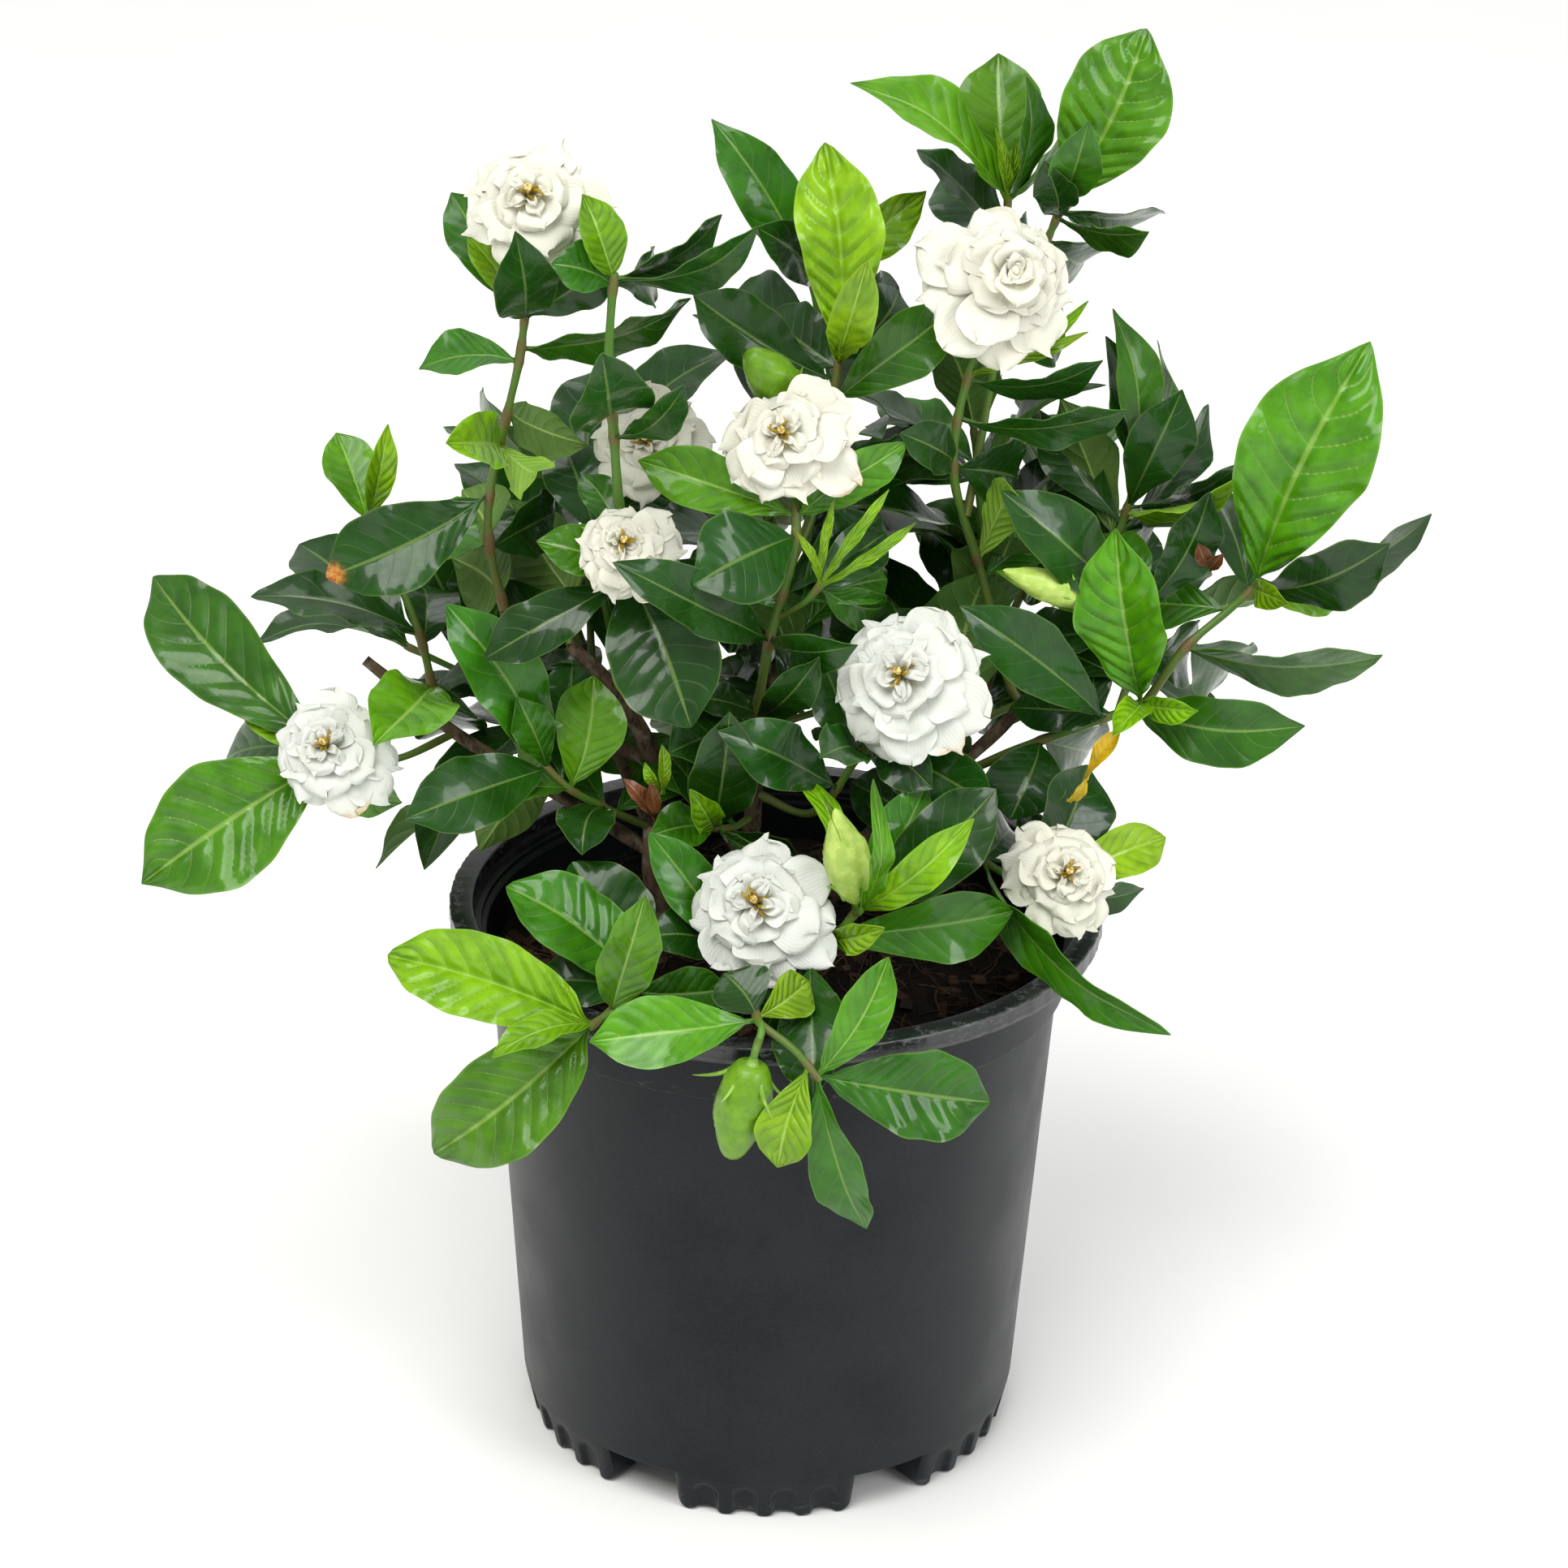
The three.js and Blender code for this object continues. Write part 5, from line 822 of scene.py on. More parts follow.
# A blade's numbers as shares of its length or width, and its thickness in millimetres.
BLADE = dict(half=0.53, wave=0.024, frill=0.012, puff=0.006, young_puff=0.036, gutter=-0.014, bend=0.05,
             curl=(-0.02, 0.07), stalk=0.95)
THICK = dict(blade=0.42, stalk=1.2, rib=0.5)
VEINS = 8.5
VEIN_UNIT = 12
SWEEP = 1.75
GRIDS = dict(hidden=(20, 11), plain=(28, 13), fine=(64, 21))


def outline(u, wide, blunt):
    """Half width of a blade along it, 1 at its widest: a wedge at the foot, a full middle and a
    drawn-out tip."""
    full = np.sin(math.pi * np.clip(u, 0, 1) ** wide) ** blunt
    return full * (1 - 0.3 * smoothstep(0.84, 0.99, u)) * smoothstep(0.0, 0.13, u)


def add_leaf(skin, leaf, stem, random):
    """A blade: a grid along its rib (u) and across it (v). It is folded on the rib, arched along
    it, waved at the margin, and raised between its side veins, which sweep forward. Its fold,
    outline, margin, bend, curl and twist are drawn at random about the usual ones."""
    along, length, normal, side = leaf_frame(leaf)
    width = leaf["width"] * leaf.get("slim", 1)
    large = leaf["large"]
    rows, columns = GRIDS["fine" if large else "hidden" if leaf.get("hidden") else "plain"]
    u = np.linspace(0, 1, rows)[:, None]
    v = np.linspace(-1, 1, columns)[None, :]
    age = leaf["age"]
    fold = leaf["fold"] * RAD * (0.75 + 0.5 * random.random())
    wide = leaf.get("wide", random.uniform(1.15, 1.6))
    shape = outline(u, wide, leaf.get("blunt", random.uniform(0.6, 0.86)))
    beat = random.uniform(1.6, 3.2)
    phase = random.uniform(0, 6.28, 4)
    lobes = 0.02 * np.sin(u * beat * 6 + phase[2] + np.sign(v))
    lobes = lobes + 0.012 * np.sin(u * 31 + phase[3] * np.sign(v))
    half = width * BLADE["half"] * shape * (1 + lobes)
    half = np.maximum(half, BLADE["stalk"] * (1 - 0.75 * u))
    crinkle = leaf.get("crinkle", 1)
    sway = np.where(v < 0, np.sin(u * beat * 6.28 + phase[0]), np.sin(u * beat * 6.28 + phase[1]))
    wave = BLADE["wave"] * length * crinkle * np.abs(v) ** 2.2 * shape ** 0.5 * sway
    frill = BLADE["frill"] * length * (crinkle - 0.6)
    wave = wave + frill * np.abs(v) ** 3 * np.sin(u * 40 + phase[3]) * shape
    veins = VEINS + (width > 30)
    run = u ** 0.92 * veins - SWEEP * np.abs(v) ** 1.25
    pillow = np.abs(np.sin(math.pi * run)) ** 0.8
    edge = smoothstep(0.0, 0.16, np.abs(v)) * (1 - smoothstep(0.78, 1.0, np.abs(v)))
    young = dict(d=0.0, m=0.35, b=0.7, l=1.0).get(age, 0.2)
    puff = (BLADE["puff"] + BLADE["young_puff"] * young) * width * leaf.get("quilt", 1) * large
    quilt = puff * pillow * edge * smoothstep(0.03, 0.2, u) * (1 - smoothstep(0.86, 1, u))
    gutter = BLADE["gutter"] * width * (1 - smoothstep(0, 0.16, np.abs(v)))
    gutter = gutter * smoothstep(0.05, 0.2, u) * (1 - u)
    bend = random.uniform(-BLADE["bend"], BLADE["bend"]) * length
    curl = leaf.get("curl", random.uniform(*BLADE["curl"])) * length
    twist = random.uniform(-10, 10) * RAD * u
    out = half * np.abs(v) * np.cos(fold)
    rise = half * np.abs(v) ** 1.15 * np.sin(fold)
    flat = np.sign(v) * out
    lift = rise + wave + quilt + gutter
    x = flat * np.cos(twist) - lift * np.sin(twist)
    z = flat * np.sin(twist) + lift * np.cos(twist)
    spine_lift = leaf.get("arch", ARCH) * length * 4 * u * (1 - u) - curl * smoothstep(0.6, 1, u) * u
    spine_side = bend * np.sin(math.pi * u)
    middle = leaf["foot"] + along * (length * u)[..., None] * np.ones((1, columns, 1)) \
        + normal * (spine_lift + z)[..., None] + side * (spine_side + x)[..., None]
    thick = THICK["blade"] + THICK["stalk"] * (1 - smoothstep(0.0, 0.13, u)) \
        + THICK["rib"] * (1 - smoothstep(0, 0.09, np.abs(v))) * (1 - u)
    upper = middle + normal * (thick * 0.3)[..., None]
    lower = middle - normal * (thick * 0.7)[..., None]
    # the stalk's first stretch is drawn back to the stem's own curve
    shift = (stem[np.argmin(np.linalg.norm(stem - leaf["foot"], axis=1))] - leaf["foot"])
    pull = ((1 - smoothstep(0, 0.3, u)) * np.ones((1, columns)))[..., None] * shift * (not leaf.get("small"))
    points = np.concatenate([(upper + pull).reshape(-1, 3), (lower + pull).reshape(-1, 3)])
    top, low, rim = sheet_faces(rows, columns)
    grid_uv = np.stack(np.broadcast_arrays(u, (v + 1) / 2), axis=-1).reshape(-1, 2)
    shade = 1 + random.uniform(-0.22, 0.22)
    warm = random.uniform(-0.1, 0.16)
    upper_tone = np.array(linear(AGES[age])) * (shade * (1 + warm), shade, shade * (1 - warm), 1)
    lower_tone = np.array(linear(UNDER[age])) * (shade ** 0.5, shade ** 0.5, shade ** 0.5, 1)
    n = rows * columns
    colours = np.concatenate([np.tile(upper_tone, (n, 1)), np.tile(lower_tone, (n, 1))])
    blemish = np.zeros((rows, columns))
    for mark_u, mark_v, size in leaf.get("marks", ()):
        d = np.hypot((u - mark_u) * length, (v - mark_v) * np.maximum(half, 1)) / size
        blemish = np.maximum(blemish, 1 - smoothstep(0.35, 1, d))
    traits = np.stack([np.full((rows, columns), veins / VEIN_UNIT), np.full((rows, columns), young), blemish],
                      axis=-1).reshape(-1, 3)
    traits = np.concatenate([traits, traits])
    quads = np.concatenate([top, low, rim])
    slots = np.concatenate([np.zeros(len(top)), np.ones(len(low)), np.ones(len(rim))])
    skin.add(points, quads, [], np.concatenate([grid_uv, grid_uv]), colours, traits, slots)


# ---------------- stems
def add_stem(skin, path, radii, colour, sides=8, knots=(), slot=0, wander=0.06):
    """A stem: a tapering tube on a smooth path, swollen and browned where leaves spring from it."""
    way = smooth_path(path)
    reach = np.linspace(0, 1, len(way))
    near = np.zeros(len(way))
    for knot in knots:
        near = np.maximum(near, np.exp(-(np.linalg.norm(way - knot, axis=1) / 2.8) ** 2))
    radius = radii[0] + (radii[1] - radii[0]) * reach + 0.5 * near - 0.25
    shape = 1 + wander * np.sin(reach * len(way) * 0.55 + radii[0] * 9)
    old = np.clip(near * 0.75 + 0.55 * (1 - reach) ** 2, 0, 1)[:, None]
    tone = np.array(colour) * (1 - old) + np.array(linear("#6B5230")) * old
    tone = np.concatenate([np.repeat(tone, sides, axis=0), tone[:1], tone[-1:]])
    add_tube(skin, way, radius * shape, sides, tone, slot=slot)
    return way


# ---------------- blooms
# Layers of petals from the outside in: count, share of the flower's own outline, lift and droop of
# the tip, half width (in flower radii), bend across in degrees, and how much the margin is ruffled.
LAYERS = (
    (9, 1.0, 0.03, 0.12, 0.32, 14, 0.065),
    (6, 0.74, 0.17, 0.06, 0.34, 20, 0.075),
    (5, 0.5, 0.28, 0.03, 0.26, 36, 0.06),
    (4, 0.34, 0.36, 0.0, 0.13, 64, 0.06),
    (5, 0.22, 0.44, 0.02, 0.06, 70, 0.07),
)
HEART_LAYER = 3
MORE_TURN = 33
# The last layers of the flower that is still furled at its heart.
FURLED = (
    (4, 0.36, 0.48, 0.0, 0.25, 84, 0.03),
    (3, 0.2, 0.5, -0.02, 0.17, 140, 0.02),
    (3, 0.1, 0.5, 0.0, 0.1, 150, 0.02),
)
FURLED_BLOOM = "bloom_2"
PETAL_GRID = (14, 13)
PETAL_THICK = 0.7
PETAL_FOOT = 0.14
ANTHERS = 6
CALYX_LOBES = 6
CALYX_TINT = "#A9C65A"
ANTHER_TINTS = ("#B59A24", "#94802A", "#CDB850")


def add_petal(skin, flower, angle, reach, layer, random, tint, aged=0):
    """A petal: narrow at its foot, broad and rounded at its end. Its spine rises and then droops,
    it is bent across in an arc, and its margin is ruffled and scalloped."""
    _, _, lift, droop, half, bend, ruffle = layer
    radius, look, root = flower["radius"], flower["look"], flower["root"]
    first = unit(LEVEL - look * look[0])
    second = np.cross(look, first)
    out = first * math.cos(angle) + second * math.sin(angle)
    rows, columns = PETAL_GRID
    t = np.linspace(0, 1, rows)[:, None]
    u = 1 - (1 - t) ** 1.5
    v = np.linspace(-1, 1, columns)[None, :]
    lift = lift + random.uniform(-0.05, 0.05)
    half = half * random.uniform(0.9, 1.15) * radius
    width = half * 1.3 * (PETAL_FOOT + u) ** 0.75 * np.sqrt(np.maximum(1 - u ** 7, 0)) + 0.2
    theta = bend * random.uniform(0.7, 1.2) * RAD * (1 - 0.4 * u)
    x = width * np.sin(theta * v) / theta
    rise = width * (1 - np.cos(theta * v)) / theta
    phase = random.uniform(0, 6.28, 4)
    scallop = 0.06 * np.sin(v * 4.2 + phase[0]) + 0.035 * np.sin(v * 8.5 + phase[1])
    far = reach * radius * u * (1 + scallop * u ** 4 - 0.06 * v * v * u)
    wave = ruffle * radius * u ** 2 * (np.sin(v * random.uniform(3, 5) + phase[2]) * (0.3 + v * v)
                                       + 0.4 * np.sin(u * 6 + v * 3 + phase[3]))
    twist = random.uniform(-13, 13) * RAD
    up = lift * radius * np.sin(math.pi / 2 * np.minimum(u * 1.15, 1.2)) - droop * radius * u ** 3.5
    edge = -0.06 * radius * u ** 2 * v ** 4
    slope = math.atan2(lift, reach)
    normal = look * math.cos(slope) - out * math.sin(slope)
    across = np.cross(unit(out * math.cos(slope) + look * math.sin(slope)), normal)
    across = across * math.cos(twist) + normal * math.sin(twist)
    middle = root + out * far[..., None] + look * (up * np.ones_like(x))[..., None] \
        + across * x[..., None] + normal * (rise + wave + edge)[..., None]
    thick = PETAL_THICK * (1 - 0.5 * u) * np.ones_like(x)
    points = np.concatenate([(middle + normal * thick[..., None] / 2).reshape(-1, 3),
                             (middle - normal * thick[..., None] / 2).reshape(-1, 3)])
    top, low, rim = sheet_faces(rows, columns)
    uv = np.stack(np.broadcast_arrays(u, (v + 1) / 2), axis=-1).reshape(-1, 2)
    shade = random.uniform(0.975, 1.0)
    tone = np.array(tint) * (shade, shade, shade * random.uniform(0.97, 1.0), 1)
    skin.add(points, np.concatenate([top, low, rim]), [], np.concatenate([uv, uv]), tone, (aged, 0, 0), 0)


def add_bloom(skin, flower, random, tint):
    """A double bloom: layers of petals whose reach follows the flower's own outline, furled or open
    at the heart round golden anthers, over a calyx."""
    radius, look, root = flower["radius"], flower["look"], flower["root"]
    name = flower["name"]
    outline = sorted(OUTLINES.get(name, OUTLINES["bloom_8"]).items())
    angles, reaches = np.array(outline).T
    furled = name == FURLED_BLOOM
    layers = LAYERS[:HEART_LAYER] + (FURLED if furled else LAYERS[HEART_LAYER:])
    turn = random.uniform(0, 360)
    for k, layer in enumerate(layers):
        around = angles if k == 0 else turn + np.arange(layer[0]) / layer[0] * 360
        for angle in around:
            aged = float(k == 0 and angle == BROWNED.get(name))
            angle = angle + random.uniform(-6, 6)
            local = np.interp((angle + 180) % 360 - 180, angles, reaches, period=360)
            local = local if k < HEART_LAYER else 0.5 + 0.5 * local
            reach = local * layer[1] * random.uniform(0.93, 1.05)
            add_petal(skin, flower, angle * RAD, reach, layer, random, tint, aged)
        turn += MORE_TURN
    first = unit(LEVEL - look * look[0])
    second = np.cross(look, first)
    steps = np.linspace(0, 1, 8)[:, None]
    for i in range(0 if furled else ANTHERS):
        angle = (i / ANTHERS * 360 + random.uniform(-24, 24)) * RAD
        out = first * math.cos(angle) + second * math.sin(angle)
        side = np.cross(look, out) * random.uniform(-0.2, 0.2)
        far, tall = random.uniform(0.08, 0.2), random.uniform(0.34, 0.5)
        path = root + look * radius * (0.3 + (tall - 0.3) * np.sin(2.2 * steps)) \
            + (out * far * steps + out * 0.03 + side * steps ** 2) * radius
        tone = linear(ANTHER_TINTS[i % 3])
        add_tube(skin, path, 0.62 * np.sin(math.pi * (0.1 + 0.85 * steps[:, 0])) + 0.12, 6, tone, slot=1)
    if furled:
        path = root + look * radius * (0.1 + 0.42 * steps)
        add_tube(skin, path, radius * 0.12 * np.sin(math.pi * (0.2 + 0.75 * steps[:, 0])), 12, tint,
                 rough=lambda a, d: 0.12 * np.cos(3 * a + d / 2))
    else:
        path = root + look * radius * (0.2 + 0.4 * steps)
        add_tube(skin, path, 0.8 + 0.8 * smoothstep(0.5, 0.95, steps[:, 0]), 8, linear("#E8D88C"), slot=1)
    back = root - look * (HEART_BACK + 9)
    tube = back + (root + look * 1.5 - back) * steps
    add_tube(skin, tube, 1.9 + 2.8 * smoothstep(0.1, 1.0, steps[:, 0]), 12, linear(CALYX_TINT), slot=2,
             rough=lambda a, d: 0.09 * np.cos(6 * a))
    for i in range(CALYX_LOBES):
        angle = (i + 0.5) / CALYX_LOBES * 2 * math.pi
        out = first * math.cos(angle) + second * math.sin(angle)
        path = root - look * (HEART_BACK + 1 - 1.5 * steps + 5.5 * steps ** 2) + out * (2.5 + 15 * steps)
        add_tube(skin, path, 1.25 * (1 - steps[:, 0]) ** 0.8 + 0.12, 6, linear(CALYX_TINT), slot=2)


# ---------------- buds
BUD = dict(petals=5, turns=0.5, full=1.08, lobes=5, lobe_length=14)
GREEN_BUDS = ("bud_hanging", "bud_behind")
# A bud that stands nearer than the packed model has it, by so many millimetres.
NEARER = dict(bud_behind=7)


def add_bud(skin, foot, tip, radius, random, colour, slim, flare):
    """A scrolled bud: a spindle whose folded petals wind round it as shallow steps, in a lobed calyx."""
    axis = unit(tip - foot)
    length = np.linalg.norm(tip - foot)
    steps = np.linspace(0, 1, 34)
    path = foot + axis * (steps * length)[:, None]
    profile = np.sin(math.pi * np.clip(0.08 + 0.92 * steps ** 0.9, 0, 1)) ** (0.35 + slim)
    profile = radius * (0.03 + profile) * (1 - slim * smoothstep(0.5, 1, steps))
    scroll = random.uniform(0, 6)

    def folds(a, d):
        turn = (BUD["petals"] * (a / (2 * math.pi) + BUD["turns"] * d / length) + scroll) % 1
        return 0.1 * (turn - 0.5) * smoothstep(0, 0.3, d / length)
    add_tube(skin, path, profile, 40, colour, slot=0, rough=folds)
    side = unit(np.cross(axis, vec(0.3, 0.2, 1)))
    other = np.cross(axis, side)
    t = np.linspace(0, 1, 9)[:, None]
    cup = foot - axis * 3 + axis * 9 * t
    add_tube(skin, cup, 1.8 + (radius * 0.72 - 1.8) * smoothstep(0, 1, t[:, 0]), 14, linear("#7FA83A"),
             slot=1, rough=lambda a, d: 0.08 * np.cos(6 * a))
    reach = BUD["lobe_length"]
    for i in range(BUD["lobes"]):
        angle = i / BUD["lobes"] * 2 * math.pi + 0.4
        out = side * math.cos(angle) + other * math.sin(angle)
        curl = random.uniform(0.3, 1.1)
        way = foot + axis * (3 + reach * (t - 0.25 * t ** 2))
        way = way + out * (radius * 0.62 + reach * flare * curl * t ** 1.4)
        add_tube(skin, way, 1.15 * (1 - t[:, 0]) ** 0.7 + 0.15, 6, linear("#8DB540"), slot=1)


# ---------------- pot
def lathe(skin, profile, sides, rough):
    """A closed outline of (radius, height) turned once round the upright axis; rough(angle, radius,
    height) gives what to add to both."""
    outline = np.array(profile, float)
    angle = np.arange(sides) / sides * 2 * math.pi
    radius = outline[:, :1] * np.ones((1, sides))
    height = outline[:, 1:] * np.ones((1, sides))
    more_radius, more_height = rough(angle[None, :], outline[:, :1], outline[:, 1:])
    radius, height = radius + more_radius, height + more_height
    points = np.stack([radius * np.cos(angle), radius * np.sin(angle), height], axis=-1).reshape(-1, 3)
    n = len(outline)
    quads = grid_quads(n, sides, closed=True, looped=True)
    around = np.cumsum(np.concatenate([[0], np.hypot(*np.diff(outline, axis=0).T)]))
    uv = np.stack([np.tile(angle / (2 * math.pi), n), np.repeat(around / 100, sides)], axis=-1)
    skin.add(points, quads, [], uv, WHITE, NO_TRAITS, 0)


def rounded(corners, radius=0.7, steps=3):
    """A closed outline with each corner turned on a small arc (a quadratic curve past the corner)."""
    corners = np.array(corners, float)
    before, after = np.roll(corners, 1, axis=0), np.roll(corners, -1, axis=0)
    out = []
    for a, b, c in zip(before, corners, after):
        near_a = b + unit(a - b) * min(radius, np.linalg.norm(a - b) * 0.45)
        near_c = b + unit(c - b) * min(radius, np.linalg.norm(c - b) * 0.45)
        for w in np.linspace(0, 1, steps + 1):
            out.append(near_a * (1 - w) ** 2 + 2 * b * w * (1 - w) + near_c * w ** 2)
    return out


def add_foot(skin, middle, settings):
    """A foot: a stretch of ring whose outer face has arch-topped flutes pressed into it."""
    span = (360 / FEET["count"] - FEET["notch"]) * RAD
    angle = np.linspace(-span / 2, span / 2, 150)
    outer_z = np.linspace(0, POT["foot_height"] + 1, 30)
    above = (outer_z - POT["foot_height"]) / (POT["shoulder_foot"] - POT["foot_height"])
    slant = np.minimum(POT["foot"] + (POT["wall_foot"] - POT["foot"]) * outer_z / POT["foot_height"],
                       POT["wall_foot"] - 0.06 + (POT["wall_top"] - POT["wall_foot"]) * above)
    offset = angle[:, None] * POT["foot"]
    depth = np.zeros((len(angle), len(outer_z)))
    wave = np.zeros((len(angle), 1))
    half, tall = settings.flute_width / 2 / MM, settings.flute_height / MM
    for k in range(FEET["flutes"]):
        x = offset - (k - (FEET["flutes"] - 1) / 2) * FEET["pitch"] * RAD * POT["foot"]
        above = np.maximum(outer_z[None, :] - (tall - half), 0)
        depth = np.maximum(depth, 1 - smoothstep(half - 1.9, half + 0.9, np.hypot(x, above)))
        aside = np.clip(np.abs(x) * 2 / (FEET["pitch"] * RAD * POT["foot"]), 0, 1)
        wave = np.maximum(wave, np.cos(math.pi * aside) / 2 + 0.5)
    end = np.clip(1 - (span / 2 - np.abs(angle))[:, None] * POT["foot"] / settings.foot_corner * MM, 0, 1)
    radius = slant[None, :] - depth * settings.flute_depth / MM - 1.2 * end ** 4
    lift = settings.foot_corner / MM * (1 - np.sqrt(1 - 0.96 * end ** 2)) + settings.flute_lift / MM * wave
    outer_z = lift + outer_z[None, :] * (1 - lift / outer_z[-1])
    inner = POT["foot"] - POT["foot_ring"]
    ring_r = np.concatenate([radius[:, :1] - 1.2, radius, np.full((len(angle), 2), inner)], axis=1)
    outer_z[:, 0] += 0.8
    ring_z = np.concatenate([lift, outer_z, np.full((len(angle), 1), POT["foot_height"] + 1), lift], axis=1)
    theta = angle[:, None] + middle
    points = np.stack([ring_r * np.cos(theta), ring_r * np.sin(theta), ring_z], axis=-1).reshape(-1, 3)
    columns = ring_z.shape[1]
    quads = grid_quads(len(angle), columns, closed=True)[:, ::-1]
    n, j = len(points), np.arange(columns)
    hubs = np.stack([points[:columns].mean(axis=0), points[-columns:].mean(axis=0)])
    caps = np.concatenate([fan(n, j), fan(n + 1, n - columns + j, turned=True)])
    skin.add(np.concatenate([points, hubs]), quads, caps, (0, 0), WHITE, NO_TRAITS, 0)


RAYS = 72


def add_base(skin, sector, radius, low, high):
    """One sixth of the pot's floor round its drain hole: rays from the hole's edge to the sector's."""
    spread = 180 / HOLES["count"] * RAD
    centre = vec(HOLES["ring"], 0, 0)
    phi = np.arange(RAYS) / RAYS * 2 * math.pi
    ray = np.stack([np.cos(phi), np.sin(phi)], axis=-1)
    reach = np.full(RAYS, 1e9)
    for sign in (1, -1):
        normal = np.array([-math.sin(spread), sign * math.cos(spread)])
        toward = ray @ normal
        gap = -centre[:2] @ normal
        reach = np.where(toward > 1e-9, np.minimum(reach, gap / np.maximum(toward, 1e-9)), reach)
    b = ray @ centre[:2]
    reach = np.minimum(reach, -b + np.sqrt(b * b - centre[0] ** 2 + radius ** 2))
    share = np.linspace(0, 1, 5)[:, None]
    far = HOLES["radius"] + (reach - HOLES["radius"])[None, :] * share
    flat = centre[:2] + ray[None] * far[..., None]
    turn = sector * 2 * spread
    c, s = math.cos(turn), math.sin(turn)
    flat = np.stack([flat[..., 0] * c - flat[..., 1] * s, flat[..., 0] * s + flat[..., 1] * c], axis=-1)
    loop = np.concatenate([flat, flat[::-1]])
    height = np.concatenate([np.full(flat.shape[:2], high), np.full(flat.shape[:2], low)])
    points = np.concatenate([loop, height[..., None]], axis=-1)
    quads = grid_quads(*points.shape[:2], closed=True, looped=True)[:, [0, 3, 2, 1]]
    skin.add(points.reshape(-1, 3), quads, [], (0, 0), WHITE, NO_TRAITS, 0)


# ---------------- soil
# Bumps as (width, height) in millimetres, on a square net of random values.
BUMPS = ((34, 2.2), (13, 1.6), (5.5, 1.2), (2.6, 0.7))
NET = 64
GROUND_SEED = 7


def bumps(x, y, size, random):
    """Smooth random height over the ground: random values on a square net, blended between."""
    net = random.random((NET, NET))
    gx, gy = x / size + NET / 2, y / size + NET / 2
    i, j = np.floor(gx).astype(int) % (NET - 1), np.floor(gy).astype(int) % (NET - 1)
    fx, fy = gx - np.floor(gx), gy - np.floor(gy)
    fx, fy = fx * fx * (3 - 2 * fx), fy * fy * (3 - 2 * fy)
    low = net[i, j] * (1 - fx) + net[i + 1, j] * fx
    high = net[i, j + 1] * (1 - fx) + net[i + 1, j + 1] * fx
    return (low * (1 - fy) + high * fy) * 2 - 1


def soil_height(x, y, edge):
    """The height of the soil: a mound and bumps of four sizes."""
    random = np.random.default_rng(GROUND_SEED)
    far = np.hypot(x, y) / edge
    height = SOIL["top"] + SOIL["mound"] * (1 - far ** 2)
    for size, tall in BUMPS:
        height = height + tall * bumps(x, y, size, random)
    return height


def add_soil(skin, edge, foot):
    """The soil: a mound with bumps of four sizes on a polar grid, closed by a plain side and floor."""
    rings, sides = 64, 240
    r = np.concatenate([np.linspace(0.6, edge, rings), [edge - 0.4, edge - 1.5, 0.6]])[:, None]
    angle = (np.arange(sides) / sides * 2 * math.pi)[None, :]
    x, y = r * np.cos(angle), r * np.sin(angle)
    z = soil_height(x, y, edge)
    z[rings] -= 3
    z[rings + 1:] = foot
    points = np.concatenate([np.stack([x, y, z], axis=-1).reshape(-1, 3),
                             [[0, 0, z[0].mean()], [0, 0, foot]]])
    rows = rings + 3
    quads = grid_quads(rows, sides, closed=True)[:, ::-1]
    n, j = rows * sides, np.arange(sides)
    caps = np.concatenate([fan(n, j), fan(n + 1, n - sides + j, turned=True)])
    skin.add(points, quads, caps, (0, 0), WHITE, NO_TRAITS, 0)


CHIP_TINTS = ("#3A281C", "#4A3424", "#2A1D15", "#5A432F")
FIBRE_TINTS = ("#463220", "#2E2016", "#5E462E")
CUBE = np.array([(x, y, z) for z in (-1, 1) for y in (-1, 1) for x in (-1, 1)], float)
CUBE_QUADS = np.array([(0, 2, 3, 1), (4, 5, 7, 6), (0, 1, 5, 4), (2, 6, 7, 3), (0, 4, 6, 2), (1, 3, 7, 5)])


def add_litter(skin, edge, chips, fibres, random):
    """Bark chips, each a small splintered block, and fibres, each a thin bent thread, on the soil."""
    for i in range(chips):
        angle, far = random.uniform(0, 6.28), edge * 0.95 * math.sqrt(random.random())
        x, y = far * math.cos(angle), far * math.sin(angle)
        size = np.array([random.uniform(3, 9), random.uniform(1.5, 3.6), random.uniform(0.7, 1.8)]) * 0.75
        turn = Euler(random.uniform(-0.5, 0.5, 2).tolist() + [random.uniform(0, 6.28)]).to_matrix()
        block = CUBE * size * (1 + random.uniform(-0.35, 0.35, (8, 3)))
        z = float(soil_height(np.array([[x]]), np.array([[y]]), edge)[0, 0])
        points = block @ np.array(turn).T + (x, y, z + 0.5)
        tone = linear(CHIP_TINTS[i % 4])
        skin.add(points, CUBE_QUADS, [], (0, 0), tone, NO_TRAITS, 1)
    t = np.linspace(-1, 1, 7)[:, None]
    for i in range(fibres):
        angle, far = random.uniform(0, 6.28), edge * 0.95 * math.sqrt(random.random())
        x, y = far * math.cos(angle), far * math.sin(angle)
        way = random.uniform(0, 6.28)
        length, bow = random.uniform(5, 17), random.uniform(-4, 4)
        path_x = x + math.cos(way) * length * t - math.sin(way) * bow * t * t
        path_y = y + math.sin(way) * length * t + math.cos(way) * bow * t * t
        inside = np.minimum(1, edge * 0.985 / np.maximum(np.hypot(path_x, path_y), 1))
        path_x, path_y = path_x * inside, path_y * inside
        z = soil_height(path_x, path_y, edge) + 0.7 + random.uniform(0, 2.5) * (1 - t * t)
        path = np.concatenate([path_x, path_y, z], axis=1)
        tone = linear(FIBRE_TINTS[i % 3])
        add_tube(skin, path, np.full(7, random.uniform(0.25, 0.55)), 4, tone, slot=1)


